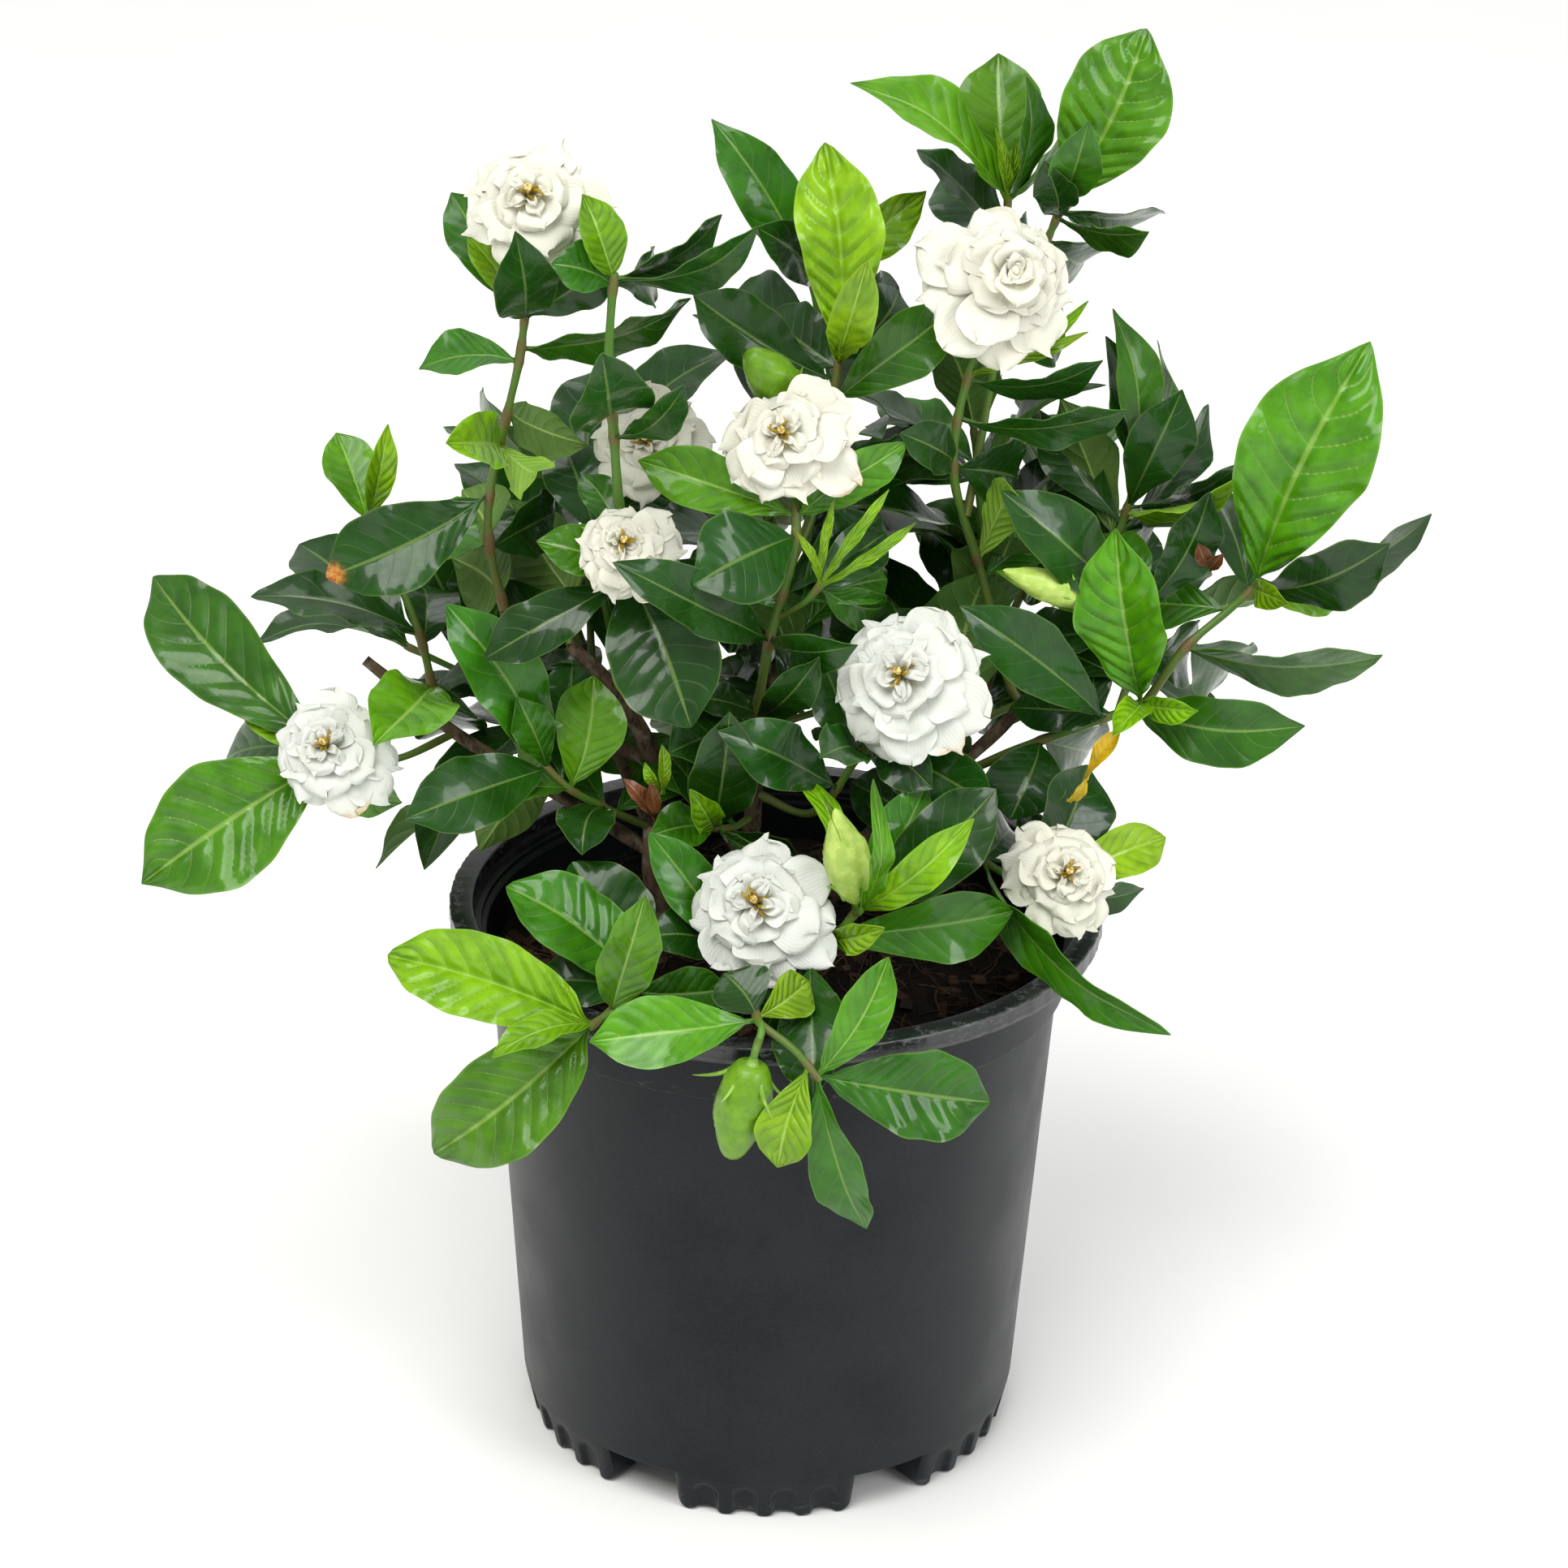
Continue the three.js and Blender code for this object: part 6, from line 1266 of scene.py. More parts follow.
# ---------------- materials
SMOOTH = dict(interpolation_type="SMOOTHSTEP")
COLOUR = dict(data_type="RGBA")
TIMES = dict(operation="MULTIPLY")
TONE = dict(out="Color", attribute_name="tone")
# Nearly all of a noise's values lie between these two.
NOISE_LOW, NOISE_HIGH = 0.3, 0.7


def add(tree, kind, inputs=(), out=0, **settings):
    """Adds one node with its settings, its inputs in order or by name, each a value or a socket to
    link from, and gives the output asked for."""
    node = tree.nodes.new("ShaderNode" + kind)
    for key, value in settings.items():
        setattr(node, key, value)
    for key, value in inputs.items() if isinstance(inputs, dict) else enumerate(inputs):
        if isinstance(value, bpy.types.NodeSocket):
            tree.links.new(value, node.inputs[key])
        else:
            node.inputs[key].default_value = value
    return node.outputs[out]


def surface(name, **constants):
    """A material and its Principled shader; constants are set on the shader's own sockets."""
    material = bpy.data.materials.new(name)
    material.use_nodes = True
    shader = material.node_tree.nodes["Principled BSDF"]
    for key, value in constants.items():
        shader.inputs[key.replace("_", " ")].default_value = value
    return material, material.node_tree, shader


def overlay(tree, under, over, pattern, low, high, least=0.0, most=1.0, mode="MIX"):
    """Lays a colour over another as much as least to most, where a pattern goes from low to high."""
    share = add(tree, "MapRange", (pattern, low, high, least, most), **SMOOTH)
    return add(tree, "Mix", {0: share, 6: under, 7: over}, 2, blend_type=mode, **COLOUR)


def dress(tree, shader, colour, pattern, smoothest, roughest, *bumps):
    """Links a colour, a roughness that follows a pattern, and bumps that lie one on another: each a
    pattern of heights, its depth in millimetres and its strength. It gives the roughness."""
    rough = add(tree, "MapRange", (pattern, NOISE_LOW, NOISE_HIGH, smoothest, roughest), **SMOOTH)
    tree.links.new(colour, shader.inputs["Base Color"])
    tree.links.new(rough, shader.inputs["Roughness"])
    under = {}
    for height, depth, strength in bumps:
        bump = {"Height": height, "Distance": depth * MM, "Strength": strength, **under}
        under = {"Normal": add(tree, "Bump", bump)}
        tree.links.new(under["Normal"], shader.inputs["Normal"])
    return rough


def grain(tree, size, detail=3.0, roughness=0.55, stretch=(1, 1, 1), seed=0.0):
    """Noise on the piece's own coordinates, its grains about size millimetres wide."""
    scale = tuple(s / (size * MM) for s in stretch)
    where = add(tree, "TexCoord", out="Object")
    moved = add(tree, "Mapping", {"Vector": where, "Scale": scale, "Location": (seed, seed, seed)})
    return add(tree, "TexNoise", {"Vector": moved, "Scale": 1.0, "Detail": detail, "Roughness": roughness})


def carried(tree):
    """What a blade or petal carries on its points: its tone, its place along and across, as 0 to 1,
    and three traits."""
    along, over = add(tree, "SeparateXYZ", (add(tree, "UVMap", uv_map="UVMap"),)).node.outputs[:2]
    traits = add(tree, "Attribute", out="Vector", attribute_name="traits")
    return add(tree, "Attribute", **TONE), along, over, add(tree, "SeparateXYZ", (traits,)).node.outputs


def leaf_lines(tree, along, over, count):
    """A blade's side veins, its rib and its margin, as 0 to 1, and the swelling between the veins.
    The veins lie where (along ^ 0.92) x their count - sweep x (across ^ 1.25) is a whole number, and
    the blade swells as the cosine of the way from halfway between two of them."""
    over = add(tree, "Math", (over, 2.0, -1.0), operation="MULTIPLY_ADD")
    over = add(tree, "Math", (over,), operation="ABSOLUTE")
    count = add(tree, "Math", (count, VEIN_UNIT), **TIMES)
    run = add(tree, "Math", (add(tree, "Math", (along, 0.92), operation="POWER"), count), **TIMES)
    sweep = add(tree, "Math", (add(tree, "Math", (over, 1.25), operation="POWER"), SWEEP), **TIMES)
    run = add(tree, "Math", (run, sweep), operation="SUBTRACT")
    near = add(tree, "Math", (add(tree, "Math", (run,), operation="FRACT"), 0.5), operation="SUBTRACT")
    near = add(tree, "Math", (near,), operation="ABSOLUTE")
    veins = add(tree, "MapRange", (near, 0.44, 0.5), **SMOOTH)
    swell = add(tree, "Math", (add(tree, "Math", (near, math.pi), **TIMES),), operation="COSINE")
    ends, start, end, rib, margin = (add(tree, "MapRange", (over, low, high), **SMOOTH) for low, high in (
        (0.98, 0.6), (0.0, 0.2), (1.0, 0.75), (0.06, 0.015), (0.94, 1.0)))
    veins = add(tree, "Math", (veins, ends), **TIMES)
    for share in (start, end):
        swell = add(tree, "Math", (swell, share), **TIMES)
    return veins, rib, margin, swell


def leaf_material(settings):
    """Living leaf, waxy upper side: a deep glossy green with sunken paler veins, a light rib and a
    thin light margin. The wax gives a sharp highlight over a softer one."""
    material, tree, shader = surface("gardenia_leaf_waxy_upper", IOR=1.45, Coat_Weight=0.36,
                                     Coat_Roughness=0.09, Specular_IOR_Level=0.25)
    tone, along, over, (count, young, blemish) = carried(tree)
    veins, rib, margin, swell = leaf_lines(tree, along, over, count)
    fine = grain(tree, 2.2, 2)
    colour = overlay(tree, tone, (0.62, 0.7, 0.6, 1), grain(tree, 14, 4), 0.62, 0.35, mode="MULTIPLY")
    pale = add(tree, "Mix", {0: 0.6, 6: tone, 7: tuple(settings.vein_colour)}, 2, **COLOUR)
    for line, old, fresh in ((veins, 0.07, 0.34), (rib, 0.38, 0.75), (margin, 0.25, 0.25)):
        share = add(tree, "MapRange", (young, 0.0, 1.0, old, fresh), **SMOOTH)
        share = add(tree, "Math", (line, share), **TIMES)
        colour = add(tree, "Mix", {0: share, 6: colour, 7: pale}, 2, **COLOUR)
    brown = overlay(tree, tuple(settings.scorch_colour), linear("#C08A3A"), fine, 0.4, 0.6)
    colour = add(tree, "Mix", {0: blemish, 6: colour, 7: brown}, 2, **COLOUR)
    puff = add(tree, "MapRange", (young, 0.0, 1.0, 0.12, 1.0), **SMOOTH)
    puff = add(tree, "Math", (swell, puff), **TIMES)
    pores = add(tree, "Math", (add(tree, "Math", (fine, 0.3), **TIMES), veins), operation="SUBTRACT")
    dress(tree, shader, colour, fine, 0.26, 0.4, (puff, 1.1, 0.7), (pores, 0.25, 0.4))
    return material


def under_leaf_material(settings):
    """Living leaf, under side: paler and matt, with raised light veins."""
    material, tree, shader = surface("gardenia_leaf_matt_under", IOR=1.42, Specular_IOR_Level=0.35)
    tone, along, over, traits = carried(tree)
    veins, rib, _, swell = leaf_lines(tree, along, over, traits[0])
    fine = grain(tree, 1.6, 3)
    colour = overlay(tree, tone, tuple(settings.under_colour), fine, 0.3, 0.7, most=0.3)
    for line, strength in ((veins, 0.4), (rib, 0.8)):
        share = add(tree, "Math", (line, strength), **TIMES)
        colour = add(tree, "Mix", {0: share, 6: colour, 7: tuple(settings.vein_colour)}, 2, **COLOUR)
    hollow = add(tree, "Math", (swell, -0.6), **TIMES)
    down = add(tree, "Math", (fine, 0.3, veins), operation="MULTIPLY_ADD")
    dress(tree, shader, colour, fine, 0.46, 0.6, (hollow, 1.0, 0.6), (down, 0.4, 0.6))
    return material


def twig_material():
    """Green twig, living skin: fresh green, minutely rough, with brown flecks."""
    material, tree, shader = surface("gardenia_green_twig", IOR=1.45)
    fleck = grain(tree, 2.4, 4, 0.7)
    colour = overlay(tree, add(tree, "Attribute", **TONE), linear("#7A6338"), fleck, 0.56, 0.72)
    dress(tree, shader, colour, fleck, 0.36, 0.55, (grain(tree, 0.9, 2), 0.25, 0.6))
    return material


def bark_material(settings):
    """Bark, weathered and furrowed: grey brown plates with dark cracks along the branch."""
    material, tree, shader = surface("gardenia_bark_weathered", IOR=1.45, Specular_IOR_Level=0.25)
    plates = grain(tree, 5, 5, 0.7, stretch=(1, 1, 0.35))
    colour = overlay(tree, linear("#2F241B"), tuple(settings.bark_colour), plates, 0.36, 0.6)
    colour = overlay(tree, colour, linear("#8A7F6C"), grain(tree, 11, 3, seed=3.0), 0.55, 0.72, most=0.7)
    dress(tree, shader, colour, plates, 0.72, 0.92, (plates, 1.1, 0.9))
    return material


def petal_material():
    """Living petal, thick and waxy: warm white, finely ribbed along, soft at the edges, a little
    cream at the foot, partly its own colour and partly painted shade of the flower's heart, and
    browned where it has aged."""
    material, tree, shader = surface("gardenia_petal_waxy", IOR=1.4, Specular_IOR_Level=0.3,
                                     Subsurface_Weight=0.2, Subsurface_Scale=0.004,
                                     Subsurface_Radius=(1.0, 0.9, 0.7), Sheen_Weight=0.08)
    tone, along, over, (aged, _, _) = carried(tree)
    soft = grain(tree, 9, 3)
    # Towards the foot a darker cream: partly the petal's own colour, partly painted shade in the flower's
    # heart.
    colour = overlay(tree, tone, linear("#DCCB7A"), along, 0.5, 0.0, most=0.55)
    colour = overlay(tree, colour, linear("#D9D6C2"), soft, 0.5, 0.75, most=0.25)
    for low, high, pattern in ((0.86, 1.0, along), (0.35, 0.6, soft)):
        share = add(tree, "MapRange", (pattern, low, high), **SMOOTH)
        aged = add(tree, "Math", (aged, share), **TIMES)
    colour = add(tree, "Mix", {0: aged, 6: colour, 7: linear("#C9A566")}, 2, **COLOUR)
    ribs = add(tree, "Math", (add(tree, "Math", (over, 95.0), **TIMES),), operation="SINE")
    ribs = add(tree, "Math", (ribs, 0.25, soft), operation="MULTIPLY_ADD")
    dress(tree, shader, colour, soft, 0.42, 0.58, (ribs, 0.35, 0.35))
    return material


def heart_material(settings):
    """Anthers and style: golden pollen sacs, powdery and darker in the furrows."""
    material, tree, shader = surface("gardenia_anther_pollen", Specular_IOR_Level=0.3)
    pollen = grain(tree, 1.1, 3, 0.7)
    colour = overlay(tree, tuple(settings.anther_colour), add(tree, "Attribute", **TONE), pollen, 0.4, 0.62)
    dress(tree, shader, colour, pollen, 0.6, 0.85, (pollen, 0.4, 0.8))
    return material


def sheath_material(name, darker):
    """Bud skin and calyx, waxy: pale lime, darker in patches, with a satin shine."""
    material, tree, shader = surface(name, IOR=1.42, Coat_Weight=0.25, Coat_Roughness=0.2)
    soft = grain(tree, 5, 3)
    colour = overlay(tree, add(tree, "Attribute", **TONE), darker, soft, 0.66, 0.38, mode="MULTIPLY")
    dress(tree, shader, colour, soft, 0.34, 0.5, (grain(tree, 1.3, 2), 0.2, 0.5))
    return material


def pot_material(settings):
    """Recycled polypropylene, blow moulded: charcoal with a satin skin, faintly rippled. The rim is
    glossier, its edges carry pale lines that are partly rubbed wear and partly painted highlight,
    and scratches lie round the rim, the shoulder and the feet."""
    material, tree, shader = surface("pot_polypropylene_moulded", IOR=1.49, Specular_IOR_Level=0.2)
    where = {0: add(tree, "TexCoord", out="Object"), "Scale": 1 / MM}
    where = add(tree, "VectorMath", where, operation="SCALE")
    height = add(tree, "SeparateXYZ", (where,), 2)
    across = add(tree, "VectorMath", (where, (1, 1, 0)), operation="MULTIPLY")
    across = add(tree, "VectorMath", (across,), "Value", operation="LENGTH")
    cloud, fine = grain(tree, 46, 4), grain(tree, 1.4, 3, 0.7)
    scratch = grain(tree, 7, 5, 0.75, stretch=(1, 1, 3.2), seed=5.0)
    top, band, lip, out = POT["height"], POT["shoulder_foot"], POT["height"] - POT["lip"], POT["rim"]
    rim, feet, band_foot, band_top, face, edge, lip_foot, lip_top, some, scratched, rubbed = (
        add(tree, "MapRange", values, **SMOOTH) for values in (
            (height, top - 12, top - 1), (height, 12, 0), (height, band - 2, band + 1),
            (height, band + 6, band + 2), (height, top - 1.4, top - 0.4), (across, out - 1.6, out - 0.3),
            (height, lip - 0.6, lip + 1.2), (height, lip + 3, lip + 1.4), (scratch, 0.3, 0.6, 0.05, 0.3),
            (scratch, 0.53, 0.72), (scratch, 0.66, 0.8, 0.0, 0.3)))
    # The rim's top outer corner and the lip's lower edge take thin pale lines: partly rubbed wear, partly
    # painted highlight.
    shoulder, edge, turned = (add(tree, "Math", both, **TIMES) for both in (
        (band_foot, band_top), (face, edge), (lip_foot, lip_top)))
    worn = rim
    for mark, strength in ((shoulder, 0.8), (feet, 0.6)):
        worn = add(tree, "Math", (worn, add(tree, "Math", (mark, strength), **TIMES)), operation="MAXIMUM")
    edge = add(tree, "Math", (edge, add(tree, "Math", (turned, 0.7), **TIMES)), operation="MAXIMUM")
    edge = add(tree, "Math", (edge, some), **TIMES)
    scuff = add(tree, "Math", (add(tree, "Math", (worn, scratched), **TIMES), rubbed), operation="MAXIMUM")
    colour = overlay(tree, tuple(settings.colour), linear("#1B1D21"), cloud, 0.35, 0.65)
    colour = overlay(tree, colour, linear("#55534F"), fine, 0.45, 0.7, most=0.06)
    # The pale edge lines (partly painted highlight) and the scuffs are both laid on in the scuff colour.
    for share in (edge, add(tree, "Math", (scuff, 0.55), **TIMES)):
        colour = add(tree, "Mix", {0: share, 6: colour, 7: tuple(settings.scuff_and_highlight_colour)}, 2, **COLOUR)
    skin = add(tree, "Math", (add(tree, "Math", (fine, 0.5), **TIMES), scuff), operation="SUBTRACT")
    ripple = grain(tree, 30, 2, seed=9.0)
    rough = dress(tree, shader, colour, cloud, 0.34, 0.46, (ripple, 1.0, 0.25), (skin, 0.22, 0.6))
    rough = add(tree, "Math", (scuff, 0.3, rough), operation="MULTIPLY_ADD")
    polish = add(tree, "MapRange", (rim, 0.0, 1.0, 1.0, 0.62), **SMOOTH)
    tree.links.new(add(tree, "Math", (rough, polish), **TIMES), shader.inputs["Roughness"])
    shine = add(tree, "MapRange", (rim, 0.0, 1.0, 0.2, 0.75), **SMOOTH)
    tree.links.new(shine, shader.inputs["Specular IOR Level"])
    return material


def soil_material(settings):
    """Potting mix, damp peat and composted bark: dark crumbs, matt, with reddish fibre."""
    material, tree, shader = surface("potting_mix_peat_bark", Specular_IOR_Level=0.2)
    crumb = grain(tree, 3.2, 6, 0.75)
    colour = overlay(tree, linear("#0E0A07"), tuple(settings.colour), crumb, 0.36, 0.62)
    colour = overlay(tree, colour, linear("#2A1C13"), grain(tree, 17, 4, seed=2.0), 0.5, 0.7, most=0.5)
    dress(tree, shader, colour, crumb, 0.8, 0.97, (crumb, 1.6, 1.0))
    return material


def litter_material():
    """Bark chip and coir fibre, shredded: streaked browns along the grain, matt."""
    material, tree, shader = surface("bark_chip_shredded", Specular_IOR_Level=0.25)
    streak = grain(tree, 2.0, 4, 0.7, stretch=(0.4, 1.4, 1.4))
    tone = add(tree, "Attribute", **TONE)
    colour = overlay(tree, tone, (0.35, 0.32, 0.3, 1), streak, 0.66, 0.36, mode="MULTIPLY")
    dress(tree, shader, colour, streak, 0.7, 0.9, (streak, 0.5, 0.8))
    return material


def floor_material(settings):
    """Studio floor, matt painted board: near white with the faintest unevenness."""
    material, tree, shader = surface("studio_board_matt", Specular_IOR_Level=0.1)
    cloud = grain(tree, 220, 3)
    colour = overlay(tree, tuple(settings.floor_colour), linear("#F0F0EE"), cloud, 0.3, 0.7, most=0.35)
    dress(tree, shader, colour, cloud, 0.8, 0.9)
    return material




# ---------------- what a user may change
def colour_property(name, description, code):
    return FloatVectorProperty(name=name, description=description, subtype="COLOR", size=4, min=0, max=1,
                               default=linear(code))


def size_property(name, description, size):
    return FloatProperty(name=name, description=description, default=size * MM, min=0, unit="LENGTH",
                         precision=4)


class GardeniaLeafSettings(bpy.types.PropertyGroup):
    """Colours and numbers of the foliage."""
    vein_colour: colour_property("Vein colour", "Colour of a leaf's rib and side veins", "#A9C46A")
    under_colour: colour_property("Under side", "Colour of a leaf's paler side", "#6F9146")
    scorch_colour: colour_property("Scorch", "Colour of a scorched leaf tip", "#9C4A20")
    twig_colour: colour_property("Twig colour", "Colour of this year's stems", "#4C7A22")
    seed: IntProperty(name="Seed", description="Start of the random draws that vary each leaf", default=11)


class GardeniaWoodSettings(bpy.types.PropertyGroup):
    """The woody branches."""
    bark_colour: colour_property("Bark colour", "Colour of the bark between its cracks", "#665543")
    furrow: FloatProperty(name="Furrow", description="Depth of a furrow, as a share of the branch's radius",
                          default=0.07, min=0, max=0.3)


class GardeniaBloomSettings(bpy.types.PropertyGroup):
    """The flowers and buds."""
    petal_colour: colour_property("Petal colour", "Colour of a fresh petal", "#E4E2D2")
    shaded_colour: colour_property("Shaded petal", "Colour of the flowers in the cooler light", "#DCDED6")
    anther_colour: colour_property("Anther colour", "Colour of an anther's furrows", "#8C6C14")
    bud_colour: colour_property("Bud colour", "Colour of a bud that shows its petals", "#BCD468")
    green_bud_colour: colour_property("Green bud colour", "Colour of a bud still closed", "#6A980C")
    seed: IntProperty(name="Seed", description="Start of the random draws that vary each petal", default=29)


class GardeniaPotSettings(bpy.types.PropertyGroup):
    """The nursery pot."""
    colour: colour_property("Pot colour", "Colour of the moulded plastic", "#101318")
    # Also the colour of the pale lines on the rim's edges, which are partly painted highlight.
    scuff_and_highlight_colour: colour_property("Scuff colour", "Colour of a rubbed edge", "#7C7D7C")
    flute_width: size_property("Flute width", "Width of a flute pressed into a foot", 10.4)
    flute_height: size_property("Flute height", "Height of a flute, from the ground to its arch", 15.5)
    flute_depth: size_property("Flute depth", "How deep a flute is pressed in", 2.0)
    flute_lift: size_property("Flute lift", "How much a foot's lower edge rises at a flute", 2.4)
    foot_corner: size_property("Foot corner", "Radius of a foot's lower corners", 6)


class GardeniaSoilSettings(bpy.types.PropertyGroup):
    """The potting mix."""
    colour: colour_property("Soil colour", "Colour of the crumbs that catch the light", "#1F160F")
    chips: IntProperty(name="Bark chips", description="How many chips lie on the soil", default=260, min=0)
    fibres: IntProperty(name="Fibres", description="How many fibres lie on the soil", default=420, min=0)
    seed: IntProperty(name="Seed", description="Start of the random draws that strew the litter", default=5)


class GardeniaStageSettings(bpy.types.PropertyGroup):
    """The studio round the plant."""
    floor_colour: colour_property("Floor colour", "Colour of the studio floor", "#F7F7F5")
    lens: FloatProperty(name="Lens", description="Focal length on a 36 mm wide sensor", default=101.16,
                        min=10, unit="CAMERA")
    sky: FloatProperty(name="Sky", description="Strength of the light from all sides", default=0.56, min=0)
    key: FloatProperty(name="Key light", description="Power of the main lamp", default=200, min=0,
                       unit="POWER")


SETTINGS = dict(gardenia_leaves=GardeniaLeafSettings, gardenia_wood=GardeniaWoodSettings,
                gardenia_blooms=GardeniaBloomSettings, gardenia_pot=GardeniaPotSettings,
                gardenia_soil=GardeniaSoilSettings, gardenia_stage=GardeniaStageSettings)


def settle(piece, node):
    """A finished piece moves with the plant and stands for its node, whose packed part is hidden."""
    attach(piece, "root")
    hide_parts(node)


# ---------------- operators
class GARDENIA_OT_branches(bpy.types.Operator):
    """Builds the woody branches from their paths, one piece for each side of the plant"""
    bl_idname = "gardenia.build_branches"
    bl_label = "Build branches"

    def execute(self, context):
        settings = context.scene.gardenia_wood
        bark = bark_material(settings)

        def furrows(angle, along):
            """Three ripples: two that run along the branch and one that winds round it."""
            long = 0.5 * np.sin(5 * angle + 0.11 * along) + 0.3 * np.sin(9 * angle - 0.07 * along)
            return settings.furrow * (long + 0.6 * np.sin(0.31 * along + 2 * angle))
        for side in ("left", "middle", "right"):
            skin = Skin()
            for name, where, radii, path in WOOD:
                if where != side:
                    continue
                way = smooth_path([spot(p) for p in path])
                radius = np.linspace(radii[0], radii[1], len(way)) + 0.25
                add_tube(skin, way, radius, 20, WHITE, rough=furrows)
            settle(skin.object("branches_" + side, [bark]), "woody_" + side)
        return {"FINISHED"}


class GARDENIA_OT_shoots(bpy.types.Operator):
    """Builds every leafy shoot: its green stem with swollen joints, and its leaves"""
    bl_idname = "gardenia.build_shoots"
    bl_label = "Build shoots"

    def execute(self, context):
        settings = context.scene.gardenia_leaves
        materials = [leaf_material(settings), under_leaf_material(settings), twig_material()]
        random = np.random.default_rng(settings.seed)
        for name, leaves in all_leaves().items():
            if not leaves:
                raise RuntimeError("no leaf of %s was found in the packed model" % name)
            skin = Skin()
            stem = STEMS[name]
            knots = [leaf["foot"] for leaf in leaves]
            tone = np.array(tuple(settings.twig_colour)) * random.uniform(0.85, 1.15)
            path = add_stem(skin, stem["path"], stem["radius"], tone, 10, knots, slot=2)
            for _, owner, foot, tip, _ in BUDS:
                if owner == name:
                    start, foot, tip = root_on(owner, PARENTS[owner], place(foot)), place(foot), place(tip)
                    axis = unit(tip - foot)
                    add_stem(skin, [start, foot - axis * STALK_END, foot - axis * GAP], TWIG, tone, 8, slot=2)
            for i, leaf in enumerate(leaves):
                leaf.update(MARKS.get((name, i), {}))
                ray = leaf["tip"] - EYE
                leaf["tip"] = leaf["tip"] + ray / ray[1] * leaf.get("back", 0)
            small = [dict(foot=place(foot), tip=place(tip), facing=EYE - place(foot), width=width,
                          turn=random.uniform(-30, 30), fold=FOLD["l"], large=False, age=age, small=True)
                     for owner, foot, tip, width, age in SMALL if owner == name]
            for leaf in leaves + small + filling(name, random):
                add_leaf(skin, leaf, path, random)
            settle(skin.object(name + "_foliage", materials), name)
        return {"FINISHED"}


class GARDENIA_OT_blooms(bpy.types.Operator):
    """Builds the ten double blooms: ruffled petals in layers, anthers, style and calyx"""
    bl_idname = "gardenia.build_blooms"
    bl_label = "Build blooms"

    def execute(self, context):
        settings = context.scene.gardenia_blooms
        materials = [petal_material(), heart_material(settings),
                     sheath_material("gardenia_calyx_waxy", (0.6, 0.72, 0.5, 1))]
        fresh, shaded = tuple(settings.petal_colour), tuple(settings.shaded_colour)
        for i, (name, flower) in enumerate(FLOWERS.items()):
            random = np.random.default_rng(settings.seed + i)
            skin = Skin()
            add_bloom(skin, flower, random, shaded if name in SHADED else fresh)
            settle(skin.object(name + "_petals", materials, crease=60), name)
        return {"FINISHED"}


class GARDENIA_OT_buds(bpy.types.Operator):
    """Builds the scrolled buds in their lobed calyces"""
    bl_idname = "gardenia.build_buds"
    bl_label = "Build buds"

    def execute(self, context):
        settings = context.scene.gardenia_blooms
        materials = [sheath_material("gardenia_bud_waxy", (0.72, 0.8, 0.6, 1)),
                     sheath_material("gardenia_bud_calyx", (0.6, 0.72, 0.5, 1))]
        for i, (name, _, foot, tip, radius) in enumerate(BUDS):
            random = np.random.default_rng(settings.seed + 40 + i)
            skin = Skin()
            green = name in GREEN_BUDS
            tone = tuple(settings.green_bud_colour if green else settings.bud_colour)
            foot, tip = (place((*end[:2], end[2] - NEARER.get(name, 0))) for end in (foot, tip))
            slim, flare = (0.12, 1.1) if green else (0.3, 0.5)
            add_bud(skin, foot, tip, radius * BUD["full"], random, tone, slim, flare)
            settle(skin.object(name + "_scroll", materials), name)
        return {"FINISHED"}


class GARDENIA_OT_pot(bpy.types.Operator):
    """Builds the nursery pot: turned wall, shoulder and rolled rim, six fluted feet and a drained floor"""
    bl_idname = "gardenia.build_pot"
    bl_label = "Build pot"

    def execute(self, context):
        settings = context.scene.gardenia_pot
        skin = Skin()
        top, rim, wall = POT["height"], POT["rim"], POT["wall"]
        lip, band, foot = top - POT["lip"], POT["shoulder_foot"], POT["foot_height"]
        corners = [(POT["wall_foot"], foot), (POT["wall_top"], band), (POT["shoulder"], band + 0.6),
                   (POT["shoulder"] + 0.8, lip - 1.2), (rim - 0.5, lip), (rim, lip + 1.5), (rim, top),
                   (rim - POT["flange"], top), (rim - POT["flange"] - 1, lip - 2),
                   (POT["shoulder"] - wall + 0.6, lip - 5), (POT["shoulder"] - wall, band + 1),
                   (POT["wall_top"] - wall, band - 1.5), (POT["wall_foot"] - wall, foot + wall),
                   (POT["wall_foot"] - 6, foot)]

        def worn(angle, radius, height):
            """The lip's outer edge is slightly chewed, and the wall slightly out of round."""
            edge = np.exp(-((radius - rim) / 1.2) ** 2)
            nick = 0.22 * np.sin(angle * 61) * np.sin(angle * 17 + 1) + 0.15 * np.sin(angle * 143 + 2)
            return edge * (nick - 0.1) + 0.25 * np.cos(3 * angle + 0.4) * (height > 120), 0.2 * edge * nick
        lathe(skin, rounded(corners), 360, worn)
        for k in range(FEET["count"]):
            add_foot(skin, (k - 0.5) * 360 / FEET["count"] * RAD, settings)
            add_base(skin, k, POT["wall_foot"] - 1.5, foot + 0.05, foot + wall)
        settle(skin.object("nursery_pot_moulded", [pot_material(settings)], crease=35), "pot")
        return {"FINISHED"}


class GARDENIA_OT_soil(bpy.types.Operator):
    """Builds the potting mix with its bark chips and fibres"""
    bl_idname = "gardenia.build_soil"
    bl_label = "Build soil"

    def execute(self, context):
        settings = context.scene.gardenia_soil
        random = np.random.default_rng(settings.seed)
        edge = POT["wall_top"] - POT["wall"] - 0.8
        skin = Skin()
        add_soil(skin, edge, SOIL["top"] - 40)
        add_litter(skin, edge, settings.chips, settings.fibres, random)
        materials = [soil_material(settings), litter_material()]
        settle(skin.object("potting_mix", materials, crease=40), "soil")
        return {"FINISHED"}


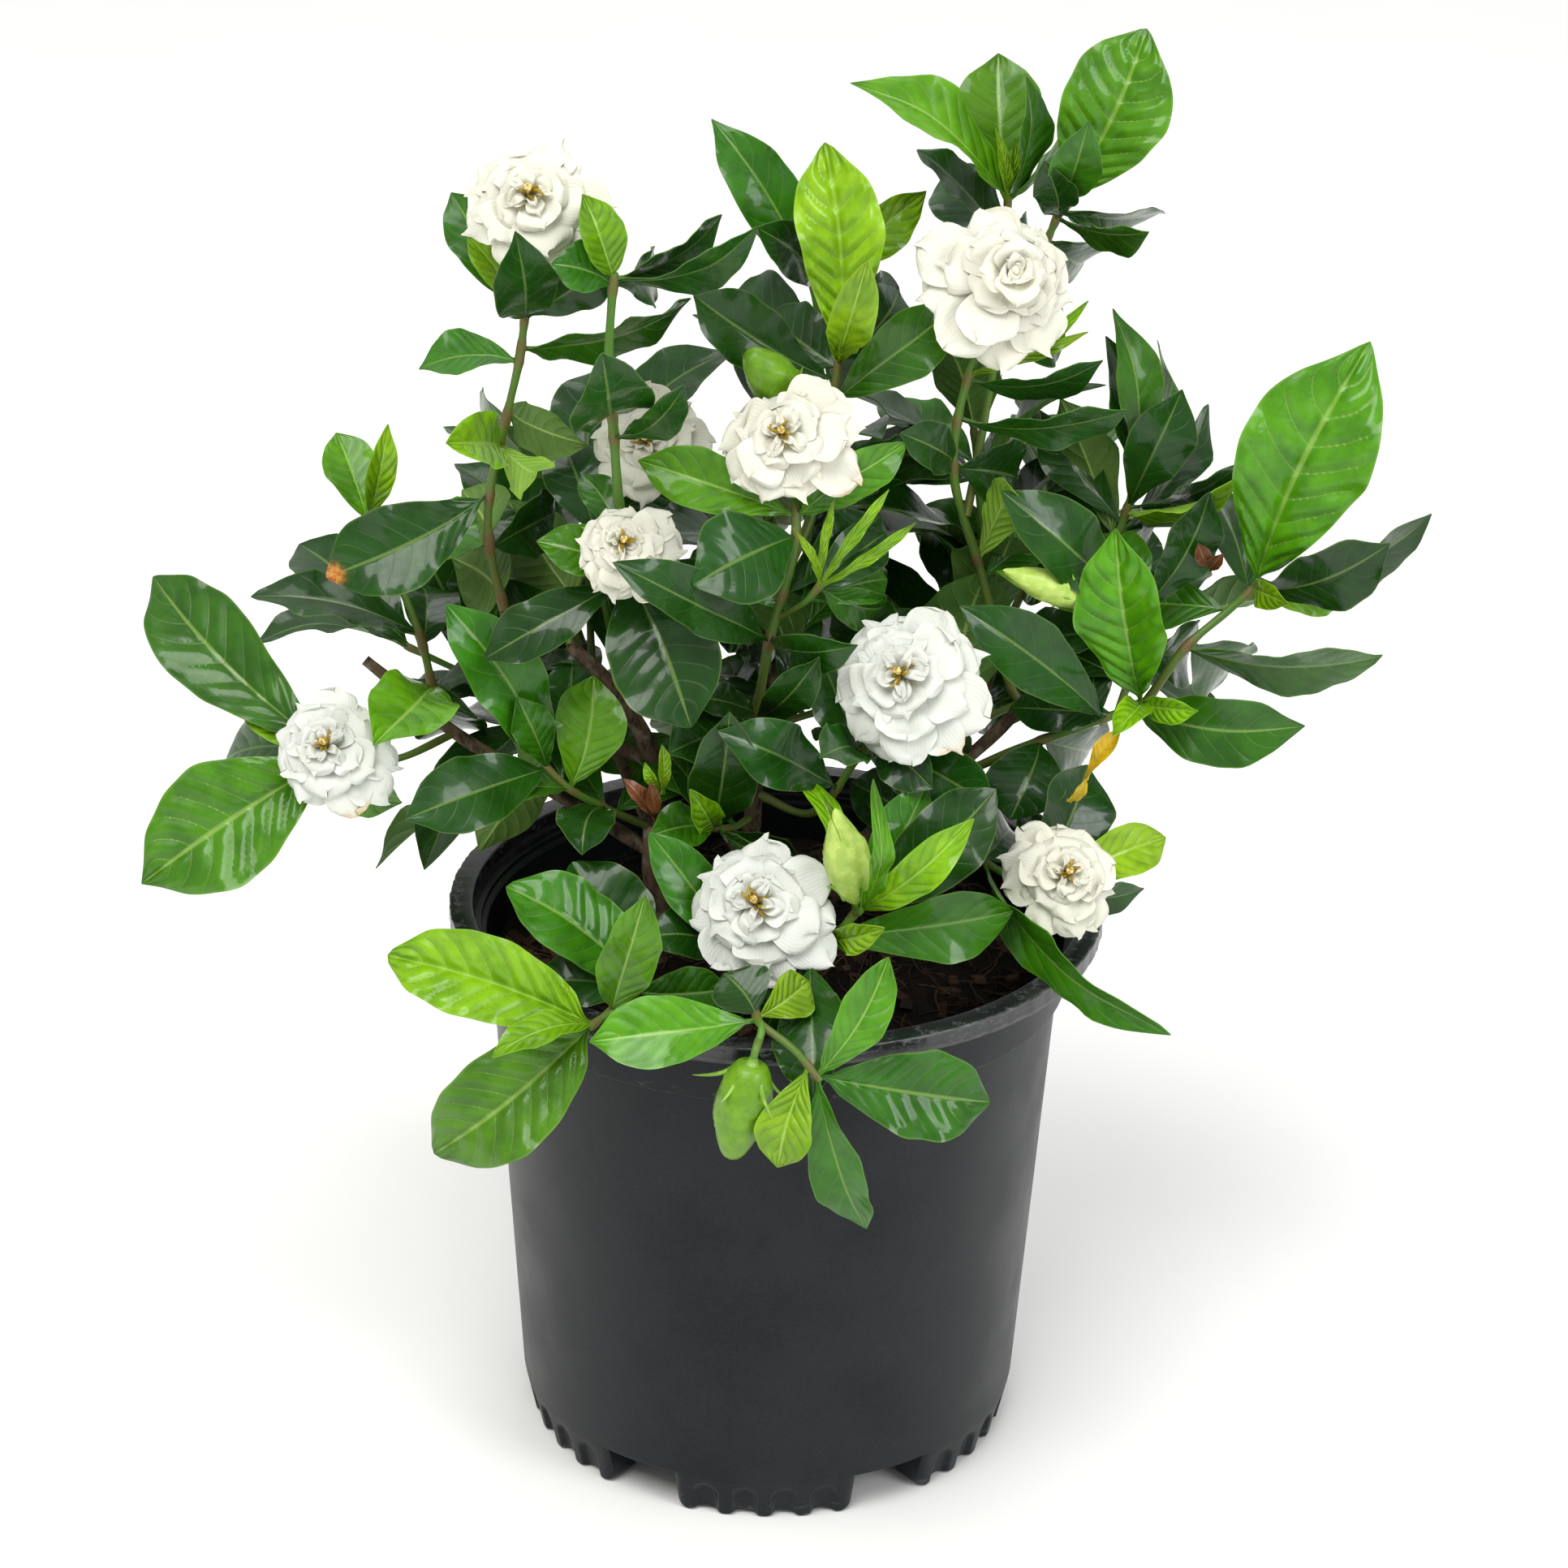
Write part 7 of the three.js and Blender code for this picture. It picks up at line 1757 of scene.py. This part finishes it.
class GARDENIA_OT_stage(bpy.types.Operator):
    """Sets the floor, the soft lights and the camera"""
    bl_idname = "gardenia.set_stage"
    bl_label = "Set stage"

    def execute(self, context):
        scene = context.scene
        settings = scene.gardenia_stage
        half = FLOOR / 2
        skin = Skin()
        flat = np.array([(-half, -half, 0), (half, -half, 0), (half, half, 0), (-half, half, 0)], float)
        skin.add(flat, [(0, 1, 2, 3)], [], (0, 0), WHITE, NO_TRAITS, 0)
        skin.object("studio_floor", [floor_material(settings)])
        world = bpy.data.worlds.new("studio")
        world.use_nodes = True
        light = world.node_tree.nodes["Background"].inputs
        light["Color"].default_value = WHITE
        light["Strength"].default_value = settings.sky
        scene.world = world
        for name, at_point, size, share, tint in LAMPS:
            lamp = bpy.data.lights.new(name, "AREA")
            lamp.shape, lamp.size, lamp.size_y = "RECTANGLE", size[0], size[1]
            lamp.energy = settings.key * share
            lamp.color = tint
            holder = bpy.data.objects.new(name, lamp)
            holder.location = at_point
            toward = Vector(LIT_PLACE) - Vector(at_point)
            holder.rotation_euler = toward.to_track_quat("-Z", "Y").to_euler()
            scene.collection.objects.link(holder)
        camera = bpy.data.cameras.new("camera")
        camera.lens, camera.sensor_width, camera.sensor_fit = settings.lens, 36, "HORIZONTAL"
        camera.clip_start, camera.clip_end = 0.05, 200
        holder = bpy.data.objects.new("camera", camera)
        turn = Matrix([ACROSS, TALL, -AHEAD]).transposed().to_4x4()
        holder.matrix_world = Matrix.Translation(EYE * MM) @ turn
        scene.collection.objects.link(holder)
        scene.camera = holder
        scene.view_settings.view_transform = "Standard"
        return {"FINISHED"}


FLOOR = 60000
LIT_PLACE = (0, 0, 0.35)
# Soft lamps: name, place and size in metres, share of the key light's power, and tint.
LAMPS = (
    ("key_lamp", (-1.2, -2.3, 4.5), (3.0, 3.0), 1.0, (1.0, 0.99, 0.97)),
    ("fill_lamp", (3.2, -2.6, 2.6), (1.8, 1.8), 0.4, (0.97, 0.98, 1.0)),
    ("back_lamp", (0.6, 2.4, 4.6), (2.4, 2.4), 0.25, (1.0, 1.0, 1.0)),
)
STEPS = (GARDENIA_OT_pot, GARDENIA_OT_soil, GARDENIA_OT_branches, GARDENIA_OT_shoots, GARDENIA_OT_blooms,
         GARDENIA_OT_buds, GARDENIA_OT_stage)


class GARDENIA_PT_panel(bpy.types.Panel):
    """Lists the plant's sizes and colours, and a button for each step"""
    bl_idname = "GARDENIA_PT_panel"
    bl_label = "Potted Gardenia"
    bl_space_type = "VIEW_3D"
    bl_region_type = "UI"
    bl_category = "Gardenia"

    def draw(self, context):
        for key, group in SETTINGS.items():
            box = self.layout.box()
            box.label(text=group.__doc__)
            for name in group.__annotations__:
                box.prop(getattr(context.scene, key), name)
        for step in STEPS:
            self.layout.operator(step.bl_idname)


def register():
    for one in (*SETTINGS.values(), *STEPS, GARDENIA_PT_panel):
        bpy.utils.register_class(one)
    for key, group in SETTINGS.items():
        setattr(bpy.types.Scene, key, PointerProperty(type=group))


def unregister():
    for key in SETTINGS:
        delattr(bpy.types.Scene, key)
    for one in reversed((*SETTINGS.values(), *STEPS, GARDENIA_PT_panel)):
        bpy.utils.unregister_class(one)


def main():
    register()
    bpy.ops.gardenia.build_pot()
    bpy.ops.gardenia.build_soil()
    bpy.ops.gardenia.build_branches()
    bpy.ops.gardenia.build_shoots()
    bpy.ops.gardenia.build_blooms()
    bpy.ops.gardenia.build_buds()
    bpy.ops.gardenia.set_stage()


if __name__ == "__main__":
    main()
